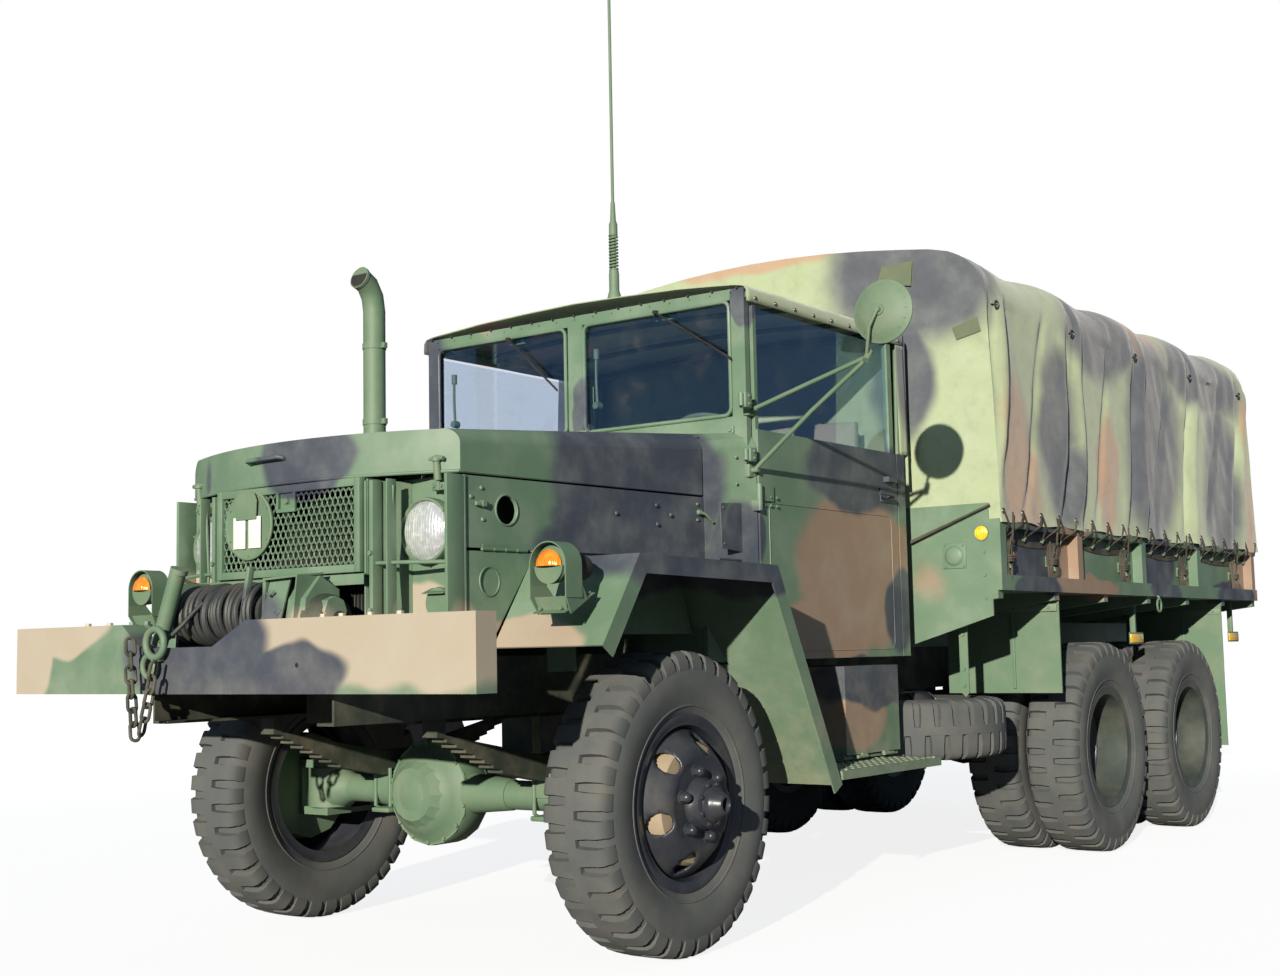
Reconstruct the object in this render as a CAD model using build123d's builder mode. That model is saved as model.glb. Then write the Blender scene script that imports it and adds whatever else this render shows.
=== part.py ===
from build123d import *
from math import cos, pi
import os

os.makedirs("parts", exist_ok=True)

# Military cargo truck, 2.5-ton class, six wheels driven, millimetres.
# +X is the truck's left side, +Y is rearwards, +Z is up.
# The origin is on the ground under the middle of the front axle.

# Running gaps
SEAT_GAP = 0.3
PANEL_GAP = 10.0
SHEET = 6.0

# Tyres: outer radius at the lugs' corners, widths from the middle plane
TYRE_R = 506.0
TYRE_HALF = 129.5
TREAD_HALF = 104.0
BULGE_R = 400.0
TREAD_ROOT_R = 482.0
LUG_COUNT = 16
LUG_WIDTH = 108.0
LUG_ROOT = 40.0
SHOULDER_DROP = 14.0
WALL_EDGE = 18.0
WHEEL_SIDES = 16

# Rims: flange and barrel, and how far the disc stands outboard of the rim's middle
RIM_R = 292.0
RIM_BARREL_R = 262.0
RIM_WALL = 12.0
RIM_HALF = 96.0
RIM_FLANGE = 9.0
DISC_OFFSET = 150.0
DISC_WALL = 10.0
DISC_FLAT_R = 185.0
DISC_HOLE_R = 27.0
DISC_HOLES = 6
DISC_HOLE_PITCH_R = 145.0
DISC_CONE_X = 55.0
HUB_SEAT_R = 58.0
DRUM_R = 205.0
DRUM_WIDTH = 120.0
HUB_R = 78.0
HUB_SIDES = 12
HUB_LENGTH = 105.0
HUB_FOOT = 30.0
HUB_CAP = 20.0
DRUM_FACE = 14.0
FRONT_DRUM_X = 20.0
REAR_DRUM_X = 95.0
SPINDLE_R = 38.0

# Wheel stations
FRONT_TRACK_HALF = 861.0
TWIN_MIDDLE = 908.0
REAR_AXLES_Y = (3302.0, 4521.0)
BOGIE_Y = sum(REAR_AXLES_Y) / 2
KINGPIN_X = 742.0

# Frame rails
FRAME_HALF = 430.0
FRAME_FLANGE = 75.0
FRAME_WALL = 9.0
FRAME_LOW = 800.0
FRAME_TOP = 1000.0
FRAME_FRONT_Y = -1076.0
FRAME_REAR_Y = 5640.0
CROSS_HALF = 30.0
CROSS_MEMBERS_Y = (-620.0, 1450.0, 2760.0, BOGIE_Y, 5160.0, FRAME_REAR_Y - CROSS_HALF)

# Bumper, with its notch ahead of the winch
BUMPER_HALF = 1078.0
BUMPER_FRONT_Y = -1161.0
BUMPER_DEPTH = 85.0
BUMPER_LOW = 899.0
BUMPER_TOP = 1126.0
NOTCH_FLOOR = 1047.0
NOTCH_FOOT = (-388.0, -30.0)
NOTCH_HEAD = (-486.0, 128.0)

# Nose, hood and cowl
NOSE_Y = -737.0
NOSE_HALF = 641.0
NOSE_LOW = 1030.0
HOOD_FRONT_Y = -890.0
HOOD_REAR_Y = 485.0
HOOD_LOW = 1577.0
HOOD_REAR_HALF = 722.0
HOOD_SHOULDER = (1662.0, 1745.0)
HOOD_CROWN = (1722.0, 1846.0)
HOOD_SHEET = 8.0
PANEL_LOW = 1340.0
PORT_Y = -544.0
PORT_Z = 1465.0
PORT_R = 47.0
PANEL_INNER = 352.0
GRILLE_HALF = 344.0
GRILLE_LOW = 1272.0
GRILLE_TOP = 1572.0
LAMP_X = 512.0
LAMP_Z = 1397.0
LAMP_R = 98.0
LAMP_DEPTH = 44.0
LAMP_DOME = 22.0
COWL_WALL = 20.0
COWL_LOW = 960.0

# Fenders: side outline of the outer edge, (y, z)
FENDER_LINE = ((-623.0, 1027.0), (-427.0, 1310.0), (385.0, 1296.0), (790.0, 508.0))
FENDER_OUTER = 1100.0
FENDER_INNER = 664.0
FENDER_LIP = 62.0
APRON_LOW = 1066.0

# Cab
CAB_HALF = 840.0
CAB_FRONT_Y = 680.0
DOOR_FRONT_Y = CAB_FRONT_Y + PANEL_GAP
DOOR_REAR_Y = 1800.0
CAB_REAR_Y = 1875.0
CAB_LOW = 964.0
CAB_WAIST = 1830.0
SILL_TOP = 1090.0
CAB_WALL = 30.0
FLOOR_WALL = 40.0
DOOR_WALL = 45.0
DOOR_HINGE_X = CAB_HALF + 12.0
DOOR_HINGE_Y = CAB_FRONT_Y - 8.0
WINDSHIELD_TOP = 2372.0
WINDSHIELD_LOW = 1852.0
WINDSHIELD_HALF = 818.0
WINDSHIELD_BAR = 62.0
ROOF_SIDE = 2378.0
ROOF_CROWN = 2425.0
CANVAS = 10.0

# Cargo bed
BED_FRONT_Y = 2005.0
BED_REAR_Y = 5715.0
BED_HALF = 1215.0
BED_FLOOR = 1300.0
BED_RAIL_LOW = 1235.0
BED_SIDE_TOP = 1540.0
BED_SIDE_X = 1165.0
POST_HALF = 30.0
BED_POSTS_Y = (BED_FRONT_Y + POST_HALF, 2900.0, 3760.0, 4640.0, BED_REAR_Y - 2 * POST_HALF)
BED_FRONT_TOP = 1610.0
SILL_HALF = 25.0
BED_SILLS_Y = (
    BED_FRONT_Y + SILL_HALF, 2645.0, 3255.0, 3860.0, 4470.0, 5100.0, BED_REAR_Y - SILL_HALF,
)
SILL_LOW = 1120.0
SILL_END_LOW = 1200.0
GATE_WALL = 38.0
GATE_TOP = 1600.0

# Tarp: outline of the cross section
TARP_LOW = 1563.0
TARP_HALF = BED_HALF + 3
TARP_SHOULDER = (1196.0, 2487.0)
TARP_LEAN = (TARP_HALF - TARP_SHOULDER[0]) / (TARP_SHOULDER[1] - TARP_LOW)
TARP_CROWN = 2835.0
# points of the arch from the shoulder to the crown, each with its outward direction
TARP_ARCH = (
    ((1176.0, 2580.0), (0.93, 0.37)),
    ((1122.0, 2672.0), (0.78, 0.62)),
    ((1035.0, 2733.0), (0.45, 0.89)),
    ((790.0, 2778.0), (0.16, 0.99)),
    ((400.0, 2820.0), (0.08, 1.0)),
)
TARP_WALL = 10.0

# Where the tyre's lowest corner lies below its centre: half a lug's angle off the pitch's middle
LUG_HALF_ANGLE = LUG_WIDTH / 2 / TYRE_R
LUG_TIP_R = TYRE_R * cos(LUG_HALF_ANGLE)
HALF_PITCH = 180 / LUG_COUNT
AXLE_Z = TYRE_R * cos(pi / LUG_COUNT - LUG_HALF_ANGLE)


def save(part, label):
    """Names a finished piece and writes it to its own file."""
    part.label = label
    export_step(part, f"parts/{label}.step")


def block(x, y, z, mode=Mode.ADD):
    """Square-edged block between (low, high) pairs."""
    with Locations(((x[0] + x[1]) / 2, (y[0] + y[1]) / 2, (z[0] + z[1]) / 2)):
        Box(x[1] - x[0], y[1] - y[0], z[1] - z[0], mode=mode)


def side_plate(x, outline, mode=Mode.ADD):
    """Plate between two x values with a side outline of (y, z) points."""
    with BuildSketch(Plane.YZ.offset(x[0])) as drawn:
        Polygon(*outline, align=None)
    extrude(drawn.sketch, amount=x[1] - x[0], dir=(1, 0, 0), mode=mode)


def front_plate(y, outline, mode=Mode.ADD):
    """Plate between two y values with a front outline of (x, z) points."""
    with BuildSketch(Plane.XZ.offset(-y[0])) as drawn:
        Polygon(*outline, align=None)
    extrude(drawn.sketch, amount=y[1] - y[0], dir=(0, 1, 0), mode=mode)


def top_plate(z, outline, mode=Mode.ADD):
    """Plate between two z values with an outline of (x, y) points."""
    with BuildSketch(Plane.XY.offset(z[0])) as drawn:
        Polygon(*outline, align=None)
    extrude(drawn.sketch, amount=z[1] - z[0], dir=(0, 0, 1), mode=mode)


def rod(start, end, radius, mode=Mode.ADD):
    """Round bar from one point to another."""
    start, end = Vector(*start), Vector(*end)
    with BuildSketch(Plane(origin=start, z_dir=end - start)) as drawn:
        Circle(radius)
    extrude(drawn.sketch, amount=(end - start).length, mode=mode)


def bar(start, end, radius, sides=8, mode=Mode.ADD):
    """Bar with flat sides from one point to another, for tubes that nothing turns on."""
    start, end = Vector(*start), Vector(*end)
    with BuildSketch(Plane(origin=start, z_dir=end - start)) as drawn:
        RegularPolygon(radius, sides)
    extrude(drawn.sketch, amount=(end - start).length, mode=mode)


def mirrored(x, side):
    """A (low, high) pair of x values on the side given by +1 or -1."""
    return tuple(sorted((side * x[0], side * x[1])))


# Wheels


def wheel_plane(x, y, z=AXLE_Z):
    """Plane across a wheel's axle, its normal along +X."""
    return Plane(origin=(x, y, z), x_dir=(0, 1, 0), z_dir=(1, 0, 0))


def prism(plane, radius, length, sides=WHEEL_SIDES, mode=Mode.ADD):
    """Many-sided disc that grows from a plane along its normal."""
    with BuildSketch(plane) as drawn:
        RegularPolygon(radius, sides)
    extrude(drawn.sketch, amount=length, mode=mode)


def frustum(plane, low_radius, high_radius, length, sides=WHEEL_SIDES, mode=Mode.ADD):
    """Many-sided cone between two radii."""
    with BuildSketch(plane) as low:
        RegularPolygon(low_radius, sides)
    with BuildSketch(plane.offset(length)) as high:
        RegularPolygon(high_radius, sides)
    loft([low.sketch, high.sketch], ruled=True, mode=mode)


def tyre(lugged):
    """One tyre about the X axis: carcass with bulged walls and lugs across the tread."""
    middle = wheel_plane(0, 0, 0)
    tread_r = TREAD_ROOT_R if lugged else AXLE_Z
    with BuildPart() as made:
        with BuildSketch(middle.offset(-TREAD_HALF)):
            RegularPolygon(tread_r, WHEEL_SIDES, rotation=HALF_PITCH)
            if lugged:
                with PolarLocations(0, LUG_COUNT, start_angle=HALF_PITCH):
                    with Locations(((TREAD_ROOT_R - LUG_ROOT + LUG_TIP_R) / 2, 0)):
                        Rectangle(LUG_TIP_R - TREAD_ROOT_R + LUG_ROOT, LUG_WIDTH)
        extrude(amount=2 * TREAD_HALF)
        for side in (1, -1):
            wall_width = side * (TYRE_HALF - TREAD_HALF)
            frustum(middle.offset(side * TREAD_HALF), tread_r - SHOULDER_DROP, BULGE_R, wall_width)
        for side in (1, -1):
            frustum(
                middle.offset(side * RIM_HALF),
                RIM_R,
                BULGE_R - WALL_EDGE,
                side * (TYRE_HALF - RIM_HALF + 0.01),
                mode=Mode.SUBTRACT,
            )
        prism(middle.offset(-RIM_HALF), RIM_BARREL_R, 2 * RIM_HALF, mode=Mode.SUBTRACT)
    return made.part


def rim(disc_holes):
    """One rim about the X axis: barrel, two flanges and a disc standing off to the +X side."""
    middle = wheel_plane(0, 0, 0)
    barrel_in = RIM_BARREL_R - RIM_WALL
    disc_low = DISC_OFFSET - DISC_WALL
    cone_length = disc_low - DISC_CONE_X
    with BuildPart() as made:
        prism(middle.offset(-RIM_HALF), RIM_BARREL_R, 2 * RIM_HALF)
        for side in (1, -1):
            prism(middle.offset(side * RIM_HALF), RIM_R, side * RIM_FLANGE)
        prism(
            middle.offset(-RIM_HALF - RIM_FLANGE),
            barrel_in,
            2 * (RIM_HALF + RIM_FLANGE),
            mode=Mode.SUBTRACT,
        )
        frustum(middle.offset(DISC_CONE_X), barrel_in + RIM_WALL / 2, DISC_FLAT_R, cone_length)
        prism(middle.offset(disc_low), DISC_FLAT_R, DISC_WALL)
        frustum(
            middle.offset(DISC_CONE_X),
            barrel_in - 1.4 * DISC_WALL,
            DISC_FLAT_R - 1.4 * DISC_WALL,
            cone_length,
            mode=Mode.SUBTRACT,
        )
        with BuildSketch(middle.offset(disc_low - DISC_WALL)):
            RegularPolygon(HUB_SEAT_R, HUB_SIDES)
            if disc_holes:
                with PolarLocations(DISC_HOLE_PITCH_R, disc_holes):
                    RegularPolygon(DISC_HOLE_R, 6)
        extrude(amount=3 * DISC_WALL, mode=Mode.SUBTRACT)
    return made.part


def hub(middle, outboard, drum_start):
    """Hub on its spindle, with the brake drum inboard of the disc."""
    drum_end = drum_start + outboard * (DRUM_WIDTH - DRUM_FACE)
    with BuildPart() as made:
        prism(middle.offset(drum_start), DRUM_R, outboard * DRUM_WIDTH, HUB_SIDES)
        prism(middle.offset(drum_end), HUB_R + HUB_FOOT, outboard * DISC_OFFSET - drum_end, HUB_SIDES)
        prism(middle.offset(outboard * DISC_OFFSET), HUB_R, outboard * HUB_LENGTH, HUB_SIDES)
        with BuildSketch(middle.offset(drum_start)):
            Circle(SPINDLE_R + SEAT_GAP)
        extrude(amount=outboard * (DISC_OFFSET + HUB_LENGTH - HUB_CAP) - drum_start, mode=Mode.SUBTRACT)
    return made.part


LUGGED_TYRE = tyre(True)
PLAIN_TYRE = tyre(False)
DISC_RIM = rim(DISC_HOLES)
CLOSED_RIM = rim(0)


def turned(side):
    """Angle about Z that faces a rim's disc to the side given."""
    return 0 if side > 0 else 180


def front_wheel(side):
    """Tyre and rim of a front wheel."""
    name = "left" if side > 0 else "right"
    at = (side * FRONT_TRACK_HALF, 0, AXLE_Z)
    with BuildPart() as front_tyre:
        with Locations(at):
            add(LUGGED_TYRE)
    save(front_tyre.part, f"front_tyre_{name}")
    with BuildPart() as wheel:
        with Locations(Location(at, (0, 0, turned(side)))):
            add(DISC_RIM)
        add(hub(wheel_plane(side * FRONT_TRACK_HALF, 0), side, side * FRONT_DRUM_X))
    save(wheel.part, f"front_rim_{name}")


def rear_wheel(side, number, y):
    """Twin tyres and twin rims of one end of a rear axle; the inner tyre's lugs are left out."""
    name = f"{number}_{'left' if side > 0 else 'right'}"
    outer = (side * (TWIN_MIDDLE + DISC_OFFSET), y, AXLE_Z)
    inner = (side * (TWIN_MIDDLE - DISC_OFFSET), y, AXLE_Z)
    with BuildPart() as tyres:
        with Locations(outer):
            add(LUGGED_TYRE)
        with Locations(inner):
            add(PLAIN_TYRE)
    save(tyres.part, f"rear_tyres_{name}")
    with BuildPart() as wheels:
        with Locations(Location(outer, (0, 0, turned(-side)))):
            add(DISC_RIM)
        with Locations(Location(inner, (0, 0, turned(side)))):
            add(CLOSED_RIM)
        add(hub(wheel_plane(inner[0], y), side, -side * REAR_DRUM_X))
    save(wheels.part, f"rear_rims_{name}")


for side in (1, -1):
    front_wheel(side)
    for number, axle_y in enumerate(REAR_AXLES_Y, 1):
        rear_wheel(side, number, axle_y)

# Spare, lying flat under the frame on the left, with its carrier
SPARE_AT = (590.0, 2155.0, 646.0)
CARRIER_HALF = 75.0
FLAT = Location(SPARE_AT, (0, -90, 0))
with BuildPart() as spare_tyre:
    with Locations(FLAT):
        add(LUGGED_TYRE)
save(spare_tyre.part, "spare_tyre")

with BuildPart() as spare_rim:
    with Locations(FLAT):
        add(DISC_RIM)
    block(
        (FRAME_HALF - FRAME_FLANGE, SPARE_AT[0] + CARRIER_HALF),
        (SPARE_AT[1] - CARRIER_HALF, SPARE_AT[1] + CARRIER_HALF),
        (SPARE_AT[2] + DISC_OFFSET - DISC_WALL, FRAME_LOW - SEAT_GAP),
    )
save(spare_rim.part, "spare_rim")

# Front axle: tube, round housing right of the middle, ball ends and spring seats
BOWL_X = -158.0
BOWL_R = 192.0
BOWL_HALF = 60.0
BOWL_NOSE = 150.0
SPRING_X = 390.0
SPRING_WIDTH = 66.0
BALL_R = 84.0
BALL_HEIGHT = 150.0
AXLE_TUBE_R = 52.0
SPRING_SEAT = 62.0
KNUCKLE_GAP = 8.0
with BuildPart() as front_axle:
    bar((-KINGPIN_X, 0, AXLE_Z), (KINGPIN_X, 0, AXLE_Z), AXLE_TUBE_R)
    for end in (1, -1):
        face = Plane(origin=(BOWL_X, 0, AXLE_Z), x_dir=(1, 0, 0), z_dir=(0, end, 0))
        prism(face, BOWL_R, BOWL_HALF)
        frustum(face.offset(BOWL_HALF), BOWL_R - 14, BOWL_R / 2, BOWL_NOSE - BOWL_HALF)
    for side in (1, -1):
        with Locations((side * KINGPIN_X, 0, AXLE_Z)):
            Cylinder(BALL_R, BALL_HEIGHT)
        block(
            mirrored((SPRING_X - 42, SPRING_X + 42), side),
            (-60, 60),
            (AXLE_Z, AXLE_Z + SPRING_SEAT),
        )
save(front_axle.part, "front_axle")

# Knuckles: yoke over the ball, king pins, spindle and backing plate
YOKE_HALF = 62.0
YOKE_WALL = 20.0
YOKE_TOP = 105.0
YOKE_INNER = BALL_HEIGHT / 2 + SEAT_GAP
BACKING_WALL = 8.0
ARM_REACH = 190.0
SPINDLE_TIP = 60.0
for side in (1, -1):
    yoke_out = KINGPIN_X + BALL_R + KNUCKLE_GAP
    with BuildPart() as knuckle:
        for low, high in ((YOKE_INNER, YOKE_TOP), (-YOKE_TOP, -YOKE_INNER)):
            block(
                mirrored((KINGPIN_X - 50, yoke_out + YOKE_WALL), side),
                (-YOKE_HALF, YOKE_HALF),
                (AXLE_Z + low, AXLE_Z + high),
            )
        block(
            mirrored((yoke_out, yoke_out + YOKE_WALL), side),
            (-YOKE_HALF, YOKE_HALF),
            (AXLE_Z - 80, AXLE_Z + 80),
        )
        backing = wheel_plane(side * (yoke_out + YOKE_WALL), 0)
        prism(backing, DRUM_R, side * BACKING_WALL, HUB_SIDES)
        rod(
            (side * (yoke_out + YOKE_WALL + BACKING_WALL), 0, AXLE_Z),
            (side * (FRONT_TRACK_HALF + DISC_OFFSET + SPINDLE_TIP), 0, AXLE_Z),
            SPINDLE_R,
        )
        # steering arm to the rear of the yoke, under the ball
        block(
            mirrored((KINGPIN_X - 40, KINGPIN_X + 20), side),
            (YOKE_HALF, ARM_REACH),
            (AXLE_Z - YOKE_TOP, AXLE_Z - YOKE_TOP + YOKE_WALL),
        )
    save(knuckle.part, "knuckle_left" if side > 0 else "knuckle_right")

# Leaf springs: leaves by number, shortest next to the axle seat
LEAF = 11.0


def leaf_pack(x, y_mid, z_low, leaves, rise):
    """Stack of leaves, each flat in the middle and bent up towards its ends."""
    flat_half = 90
    for half, level in leaves:
        z = z_low + level * LEAF
        tip = rise * (half - flat_half) / 500
        side_plate(
            x,
            (
                (y_mid - half, z + tip),
                (y_mid - flat_half, z),
                (y_mid + flat_half, z),
                (y_mid + half, z + tip),
                (y_mid + half, z + tip + LEAF),
                (y_mid + flat_half, z + LEAF),
                (y_mid - flat_half, z + LEAF),
                (y_mid - half, z + tip + LEAF),
            ),
        )


REAR_SPRING_X = 505.0
FRONT_SPRING_Z = AXLE_Z + SPRING_SEAT
REAR_SPRING_Z = AXLE_Z + 92
with BuildPart() as leaf_springs:
    for side in (1, -1):
        front_x = mirrored((SPRING_X - SPRING_WIDTH / 2, SPRING_X + SPRING_WIDTH / 2), side)
        front_leaves = [(310 + 45 * level, level) for level in range(8)]
        leaf_pack(front_x, 0, FRONT_SPRING_Z, front_leaves, 95)
        for end in (-1, 1):
            tip_z = FRONT_SPRING_Z + 7 * LEAF + 95 * (625 - 90) / 500
            block(front_x, (end * 605 - 20, end * 605 + 20), (tip_z - 2, FRAME_LOW))
        rear_x = mirrored((REAR_SPRING_X - 38, REAR_SPRING_X + 38), side)
        rear_leaves = [(625 - 50 * level, level) for level in range(8)]
        leaf_pack(rear_x, BOGIE_Y, REAR_SPRING_Z, rear_leaves, -20)
save(leaf_springs.part, "leaf_springs")

# Rear axles: tubes, housings, spring seats, backing plates and spindles
CASE_HALF = 150.0
DRUM_REAR_X = TWIN_MIDDLE - DISC_OFFSET - REAR_DRUM_X
with BuildPart() as rear_axles:
    for axle_y in REAR_AXLES_Y:
        bar((-DRUM_REAR_X + 20, axle_y, AXLE_Z), (DRUM_REAR_X - 20, axle_y, AXLE_Z), 55)
        face = Plane(origin=(BOWL_X, axle_y - 75, AXLE_Z), x_dir=(1, 0, 0), z_dir=(0, 1, 0))
        prism(face, BOWL_R, 150)
        block(
            (BOWL_X - 80, BOWL_X + 80),
            (axle_y - CASE_HALF, axle_y + CASE_HALF),
            (AXLE_Z + 130, AXLE_Z + 290),
        )
        for side in (1, -1):
            block(
                mirrored((REAR_SPRING_X - 45, REAR_SPRING_X + 45), side),
                (axle_y - 70, axle_y + 70),
                (AXLE_Z, AXLE_Z + 68),
            )
            backing = wheel_plane(side * (DRUM_REAR_X - 22), axle_y)
            prism(backing, DRUM_R, side * BACKING_WALL, HUB_SIDES)
            rod(
                (side * (DRUM_REAR_X - 16), axle_y, AXLE_Z),
                (side * (TWIN_MIDDLE + SPINDLE_TIP), axle_y, AXLE_Z),
                SPINDLE_R,
            )
save(rear_axles.part, "rear_axles")

# Frame: two channels, cross members and bogie brackets
with BuildPart() as frame_rails:
    for side in (1, -1):
        block(
            mirrored((FRAME_HALF - FRAME_WALL, FRAME_HALF), side),
            (FRAME_FRONT_Y, FRAME_REAR_Y),
            (FRAME_LOW, FRAME_TOP),
        )
        for z_low in (FRAME_LOW, FRAME_TOP - FRAME_WALL):
            block(
                mirrored((FRAME_HALF - FRAME_FLANGE, FRAME_HALF), side),
                (FRAME_FRONT_Y, FRAME_REAR_Y),
                (z_low, z_low + FRAME_WALL),
            )
        # trunnion bracket of the bogie
        side_plate(
            mirrored((FRAME_HALF, FRAME_HALF + 28), side),
            (
                (BOGIE_Y - 170, FRAME_TOP - 20),
                (BOGIE_Y + 170, FRAME_TOP - 20),
                (BOGIE_Y + 70, AXLE_Z + 20),
                (BOGIE_Y - 70, AXLE_Z + 20),
            ),
        )
        block(
            mirrored((FRAME_HALF + 28, REAR_SPRING_X + 45), side),
            (BOGIE_Y - 80, BOGIE_Y + 80),
            (AXLE_Z + 30, REAR_SPRING_Z),
        )
    bar((-FRAME_HALF, BOGIE_Y, AXLE_Z + 70), (FRAME_HALF, BOGIE_Y, AXLE_Z + 70), 42)
    for cross_y in CROSS_MEMBERS_Y:
        block(
            (-FRAME_HALF + FRAME_WALL, FRAME_HALF - FRAME_WALL),
            (cross_y - CROSS_HALF, cross_y + CROSS_HALF),
            (FRAME_TOP - 90, FRAME_TOP - FRAME_WALL),
        )
save(frame_rails.part, "frame_rails")

# Front bumper: channel with its notch, open to the rear
BUMPER_OUTLINE = (
    (-BUMPER_HALF, BUMPER_LOW),
    (BUMPER_HALF, BUMPER_LOW),
    (BUMPER_HALF, BUMPER_TOP),
    (NOTCH_HEAD[1], BUMPER_TOP),
    (NOTCH_FOOT[1], NOTCH_FLOOR),
    (NOTCH_FOOT[0], NOTCH_FLOOR),
    (NOTCH_HEAD[0], BUMPER_TOP),
    (-BUMPER_HALF, BUMPER_TOP),
)
with BuildPart() as front_bumper:
    bumper_back = BUMPER_FRONT_Y + BUMPER_DEPTH
    front_plate((BUMPER_FRONT_Y, bumper_back), BUMPER_OUTLINE)
    with BuildSketch(Plane.XZ.offset(-BUMPER_FRONT_Y - SHEET * 1.5)):
        Polygon(*BUMPER_OUTLINE, align=None)
        offset(amount=-SHEET * 1.5, mode=Mode.REPLACE)
        with Locations((0, (BUMPER_LOW + BUMPER_TOP) / 2)):
            Rectangle(2 * FRAME_HALF, BUMPER_TOP - BUMPER_LOW, mode=Mode.SUBTRACT)
    extrude(amount=BUMPER_DEPTH, dir=(0, 1, 0), mode=Mode.SUBTRACT)
save(front_bumper.part, "front_bumper")

# Winch: side plates, gear case, base and drum, with the wound rope as ribs
WINCH_Y = -985.0
WINCH_Z = 1150.0
DRUM_SPAN = (-345.0, 62.0)
ROPE_R = 96.0
ROPE_TURNS = 5
DRUM_CORE_R = 34.0
with BuildPart() as winch:
    for plate_x in (DRUM_SPAN[0] - 14, DRUM_SPAN[1]):
        side_plate(
            (plate_x, plate_x + 14),
            (
                (WINCH_Y - 60, FRAME_TOP),
                (WINCH_Y + 100, FRAME_TOP),
                (WINCH_Y + 70, WINCH_Z + 110),
                (WINCH_Y - 50, WINCH_Z + 110),
            ),
        )
    block((DRUM_SPAN[0] - 40, 330), (WINCH_Y - 70, WINCH_Y + 100), (FRAME_TOP, FRAME_TOP + 14))
    bar((DRUM_SPAN[0], WINCH_Y, WINCH_Z), (DRUM_SPAN[1], WINCH_Y, WINCH_Z), DRUM_CORE_R)
    # gear case with its sloped front and cap
    side_plate(
        (DRUM_SPAN[1] + 14, 250),
        (
            (WINCH_Y - 60, FRAME_TOP + 14),
            (WINCH_Y + 100, FRAME_TOP + 14),
            (WINCH_Y + 100, WINCH_Z + 70),
            (WINCH_Y + 20, WINCH_Z + 112),
            (WINCH_Y - 40, WINCH_Z + 40),
        ),
    )
    bar((250, WINCH_Y + 20, WINCH_Z), (320, WINCH_Y + 20, WINCH_Z), 46)
save(winch.part, "winch")

with BuildPart() as winch_rope:
    rope_x = (DRUM_SPAN[0] + 12, DRUM_SPAN[1] - 12)
    coil = Plane(origin=(rope_x[0], WINCH_Y, WINCH_Z), x_dir=(0, 1, 0), z_dir=(1, 0, 0))
    prism(coil, ROPE_R - 10, rope_x[1] - rope_x[0], HUB_SIDES)
    turn = (rope_x[1] - rope_x[0]) / ROPE_TURNS
    for number in range(ROPE_TURNS):
        prism(coil.offset((number + 0.2) * turn), ROPE_R, 0.6 * turn, HUB_SIDES)
    prism(coil, DRUM_CORE_R + SEAT_GAP, rope_x[1] - rope_x[0], 8, mode=Mode.SUBTRACT)
save(winch_rope.part, "winch_rope")

# Tow hook on the bumper with the inclined tube beside it, and the doubled chain
HOOK_X = -280.0
HOOK_Y = BUMPER_FRONT_Y - 24
with BuildPart() as tow_hook:
    with BuildSketch(Plane.XZ.offset(-HOOK_Y + 14)):
        with Locations((HOOK_X, 1062)):
            RegularPolygon(58, HUB_SIDES)
            RegularPolygon(34, 8, mode=Mode.SUBTRACT)
        with Locations((HOOK_X - 30, 989)):
            RegularPolygon(42, 8)
            RegularPolygon(22, 6, mode=Mode.SUBTRACT)
    extrude(amount=28, dir=(0, 1, 0))
    block((HOOK_X - 20, HOOK_X + 20), (HOOK_Y, BUMPER_FRONT_Y), (1006, 1024))
    bar((-346, BUMPER_FRONT_Y + 43, NOTCH_FLOOR + 10.6), (-250, BUMPER_FRONT_Y + 43, 1300), 28)
save(tow_hook.part, "tow_hook")

# Chain: six-sided links along two legs of a hanging loop
LINK_HOLE = 20.0
LINK_WIRE = 11.0
LINK_HALF = 21.0
CHAIN_Y = HOOK_Y - 14 - LINK_HALF - SEAT_GAP
CHAIN_FOOT = (-300.0, CHAIN_Y, 735.0)
CHAIN_HEADS = ((-355.0, CHAIN_Y, 1078.0), (-240.0, CHAIN_Y, 1000.0))


def link(plane):
    """One link flat on a plane, its length along the plane's x."""
    half, wide = LINK_HOLE + 1.6 * LINK_WIRE, LINK_HALF
    with BuildSketch(plane.offset(-LINK_WIRE / 2)) as drawn:
        Polygon(
            (-half, 0),
            (-half + LINK_WIRE, -wide),
            (half - LINK_WIRE, -wide),
            (half, 0),
            (half - LINK_WIRE, wide),
            (-half + LINK_WIRE, wide),
            align=None,
        )
        Rectangle(2 * LINK_HOLE, 2 * (wide - LINK_WIRE), mode=Mode.SUBTRACT)
    extrude(drawn.sketch, amount=LINK_WIRE)


with BuildPart() as tow_chain:
    pitch = 2 * LINK_HOLE - SEAT_GAP
    for head in CHAIN_HEADS:
        run = Vector(*CHAIN_FOOT) - Vector(*head)
        along = run.normalized()
        for number in range(int(run.length // pitch)):
            at = Vector(*head) + along * pitch * (number + 0.5)
            across = Vector(0, 1, 0) if number % 2 else along.cross(Vector(0, 1, 0))
            link(Plane(origin=at, x_dir=along, z_dir=across))
save(tow_chain.part, "tow_chain")

# Engine, as one plain block, and the radiator ahead of it
ENGINE_HALF = 260.0
ENGINE_Y = (-560.0, 470.0)
ENGINE_Z = (780.0, 1480.0)
with BuildPart() as engine_block:
    block((-ENGINE_HALF, ENGINE_HALF), ENGINE_Y, ENGINE_Z)
save(engine_block.part, "engine_block")

with BuildPart() as radiator:
    block((-330, 330), (-790, -700), (FRAME_TOP + 14, 1560))
    block((-300, 300), (-700, -640), (FRAME_TOP - FRAME_WALL, FRAME_TOP + 60))
save(radiator.part, "radiator")

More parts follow.
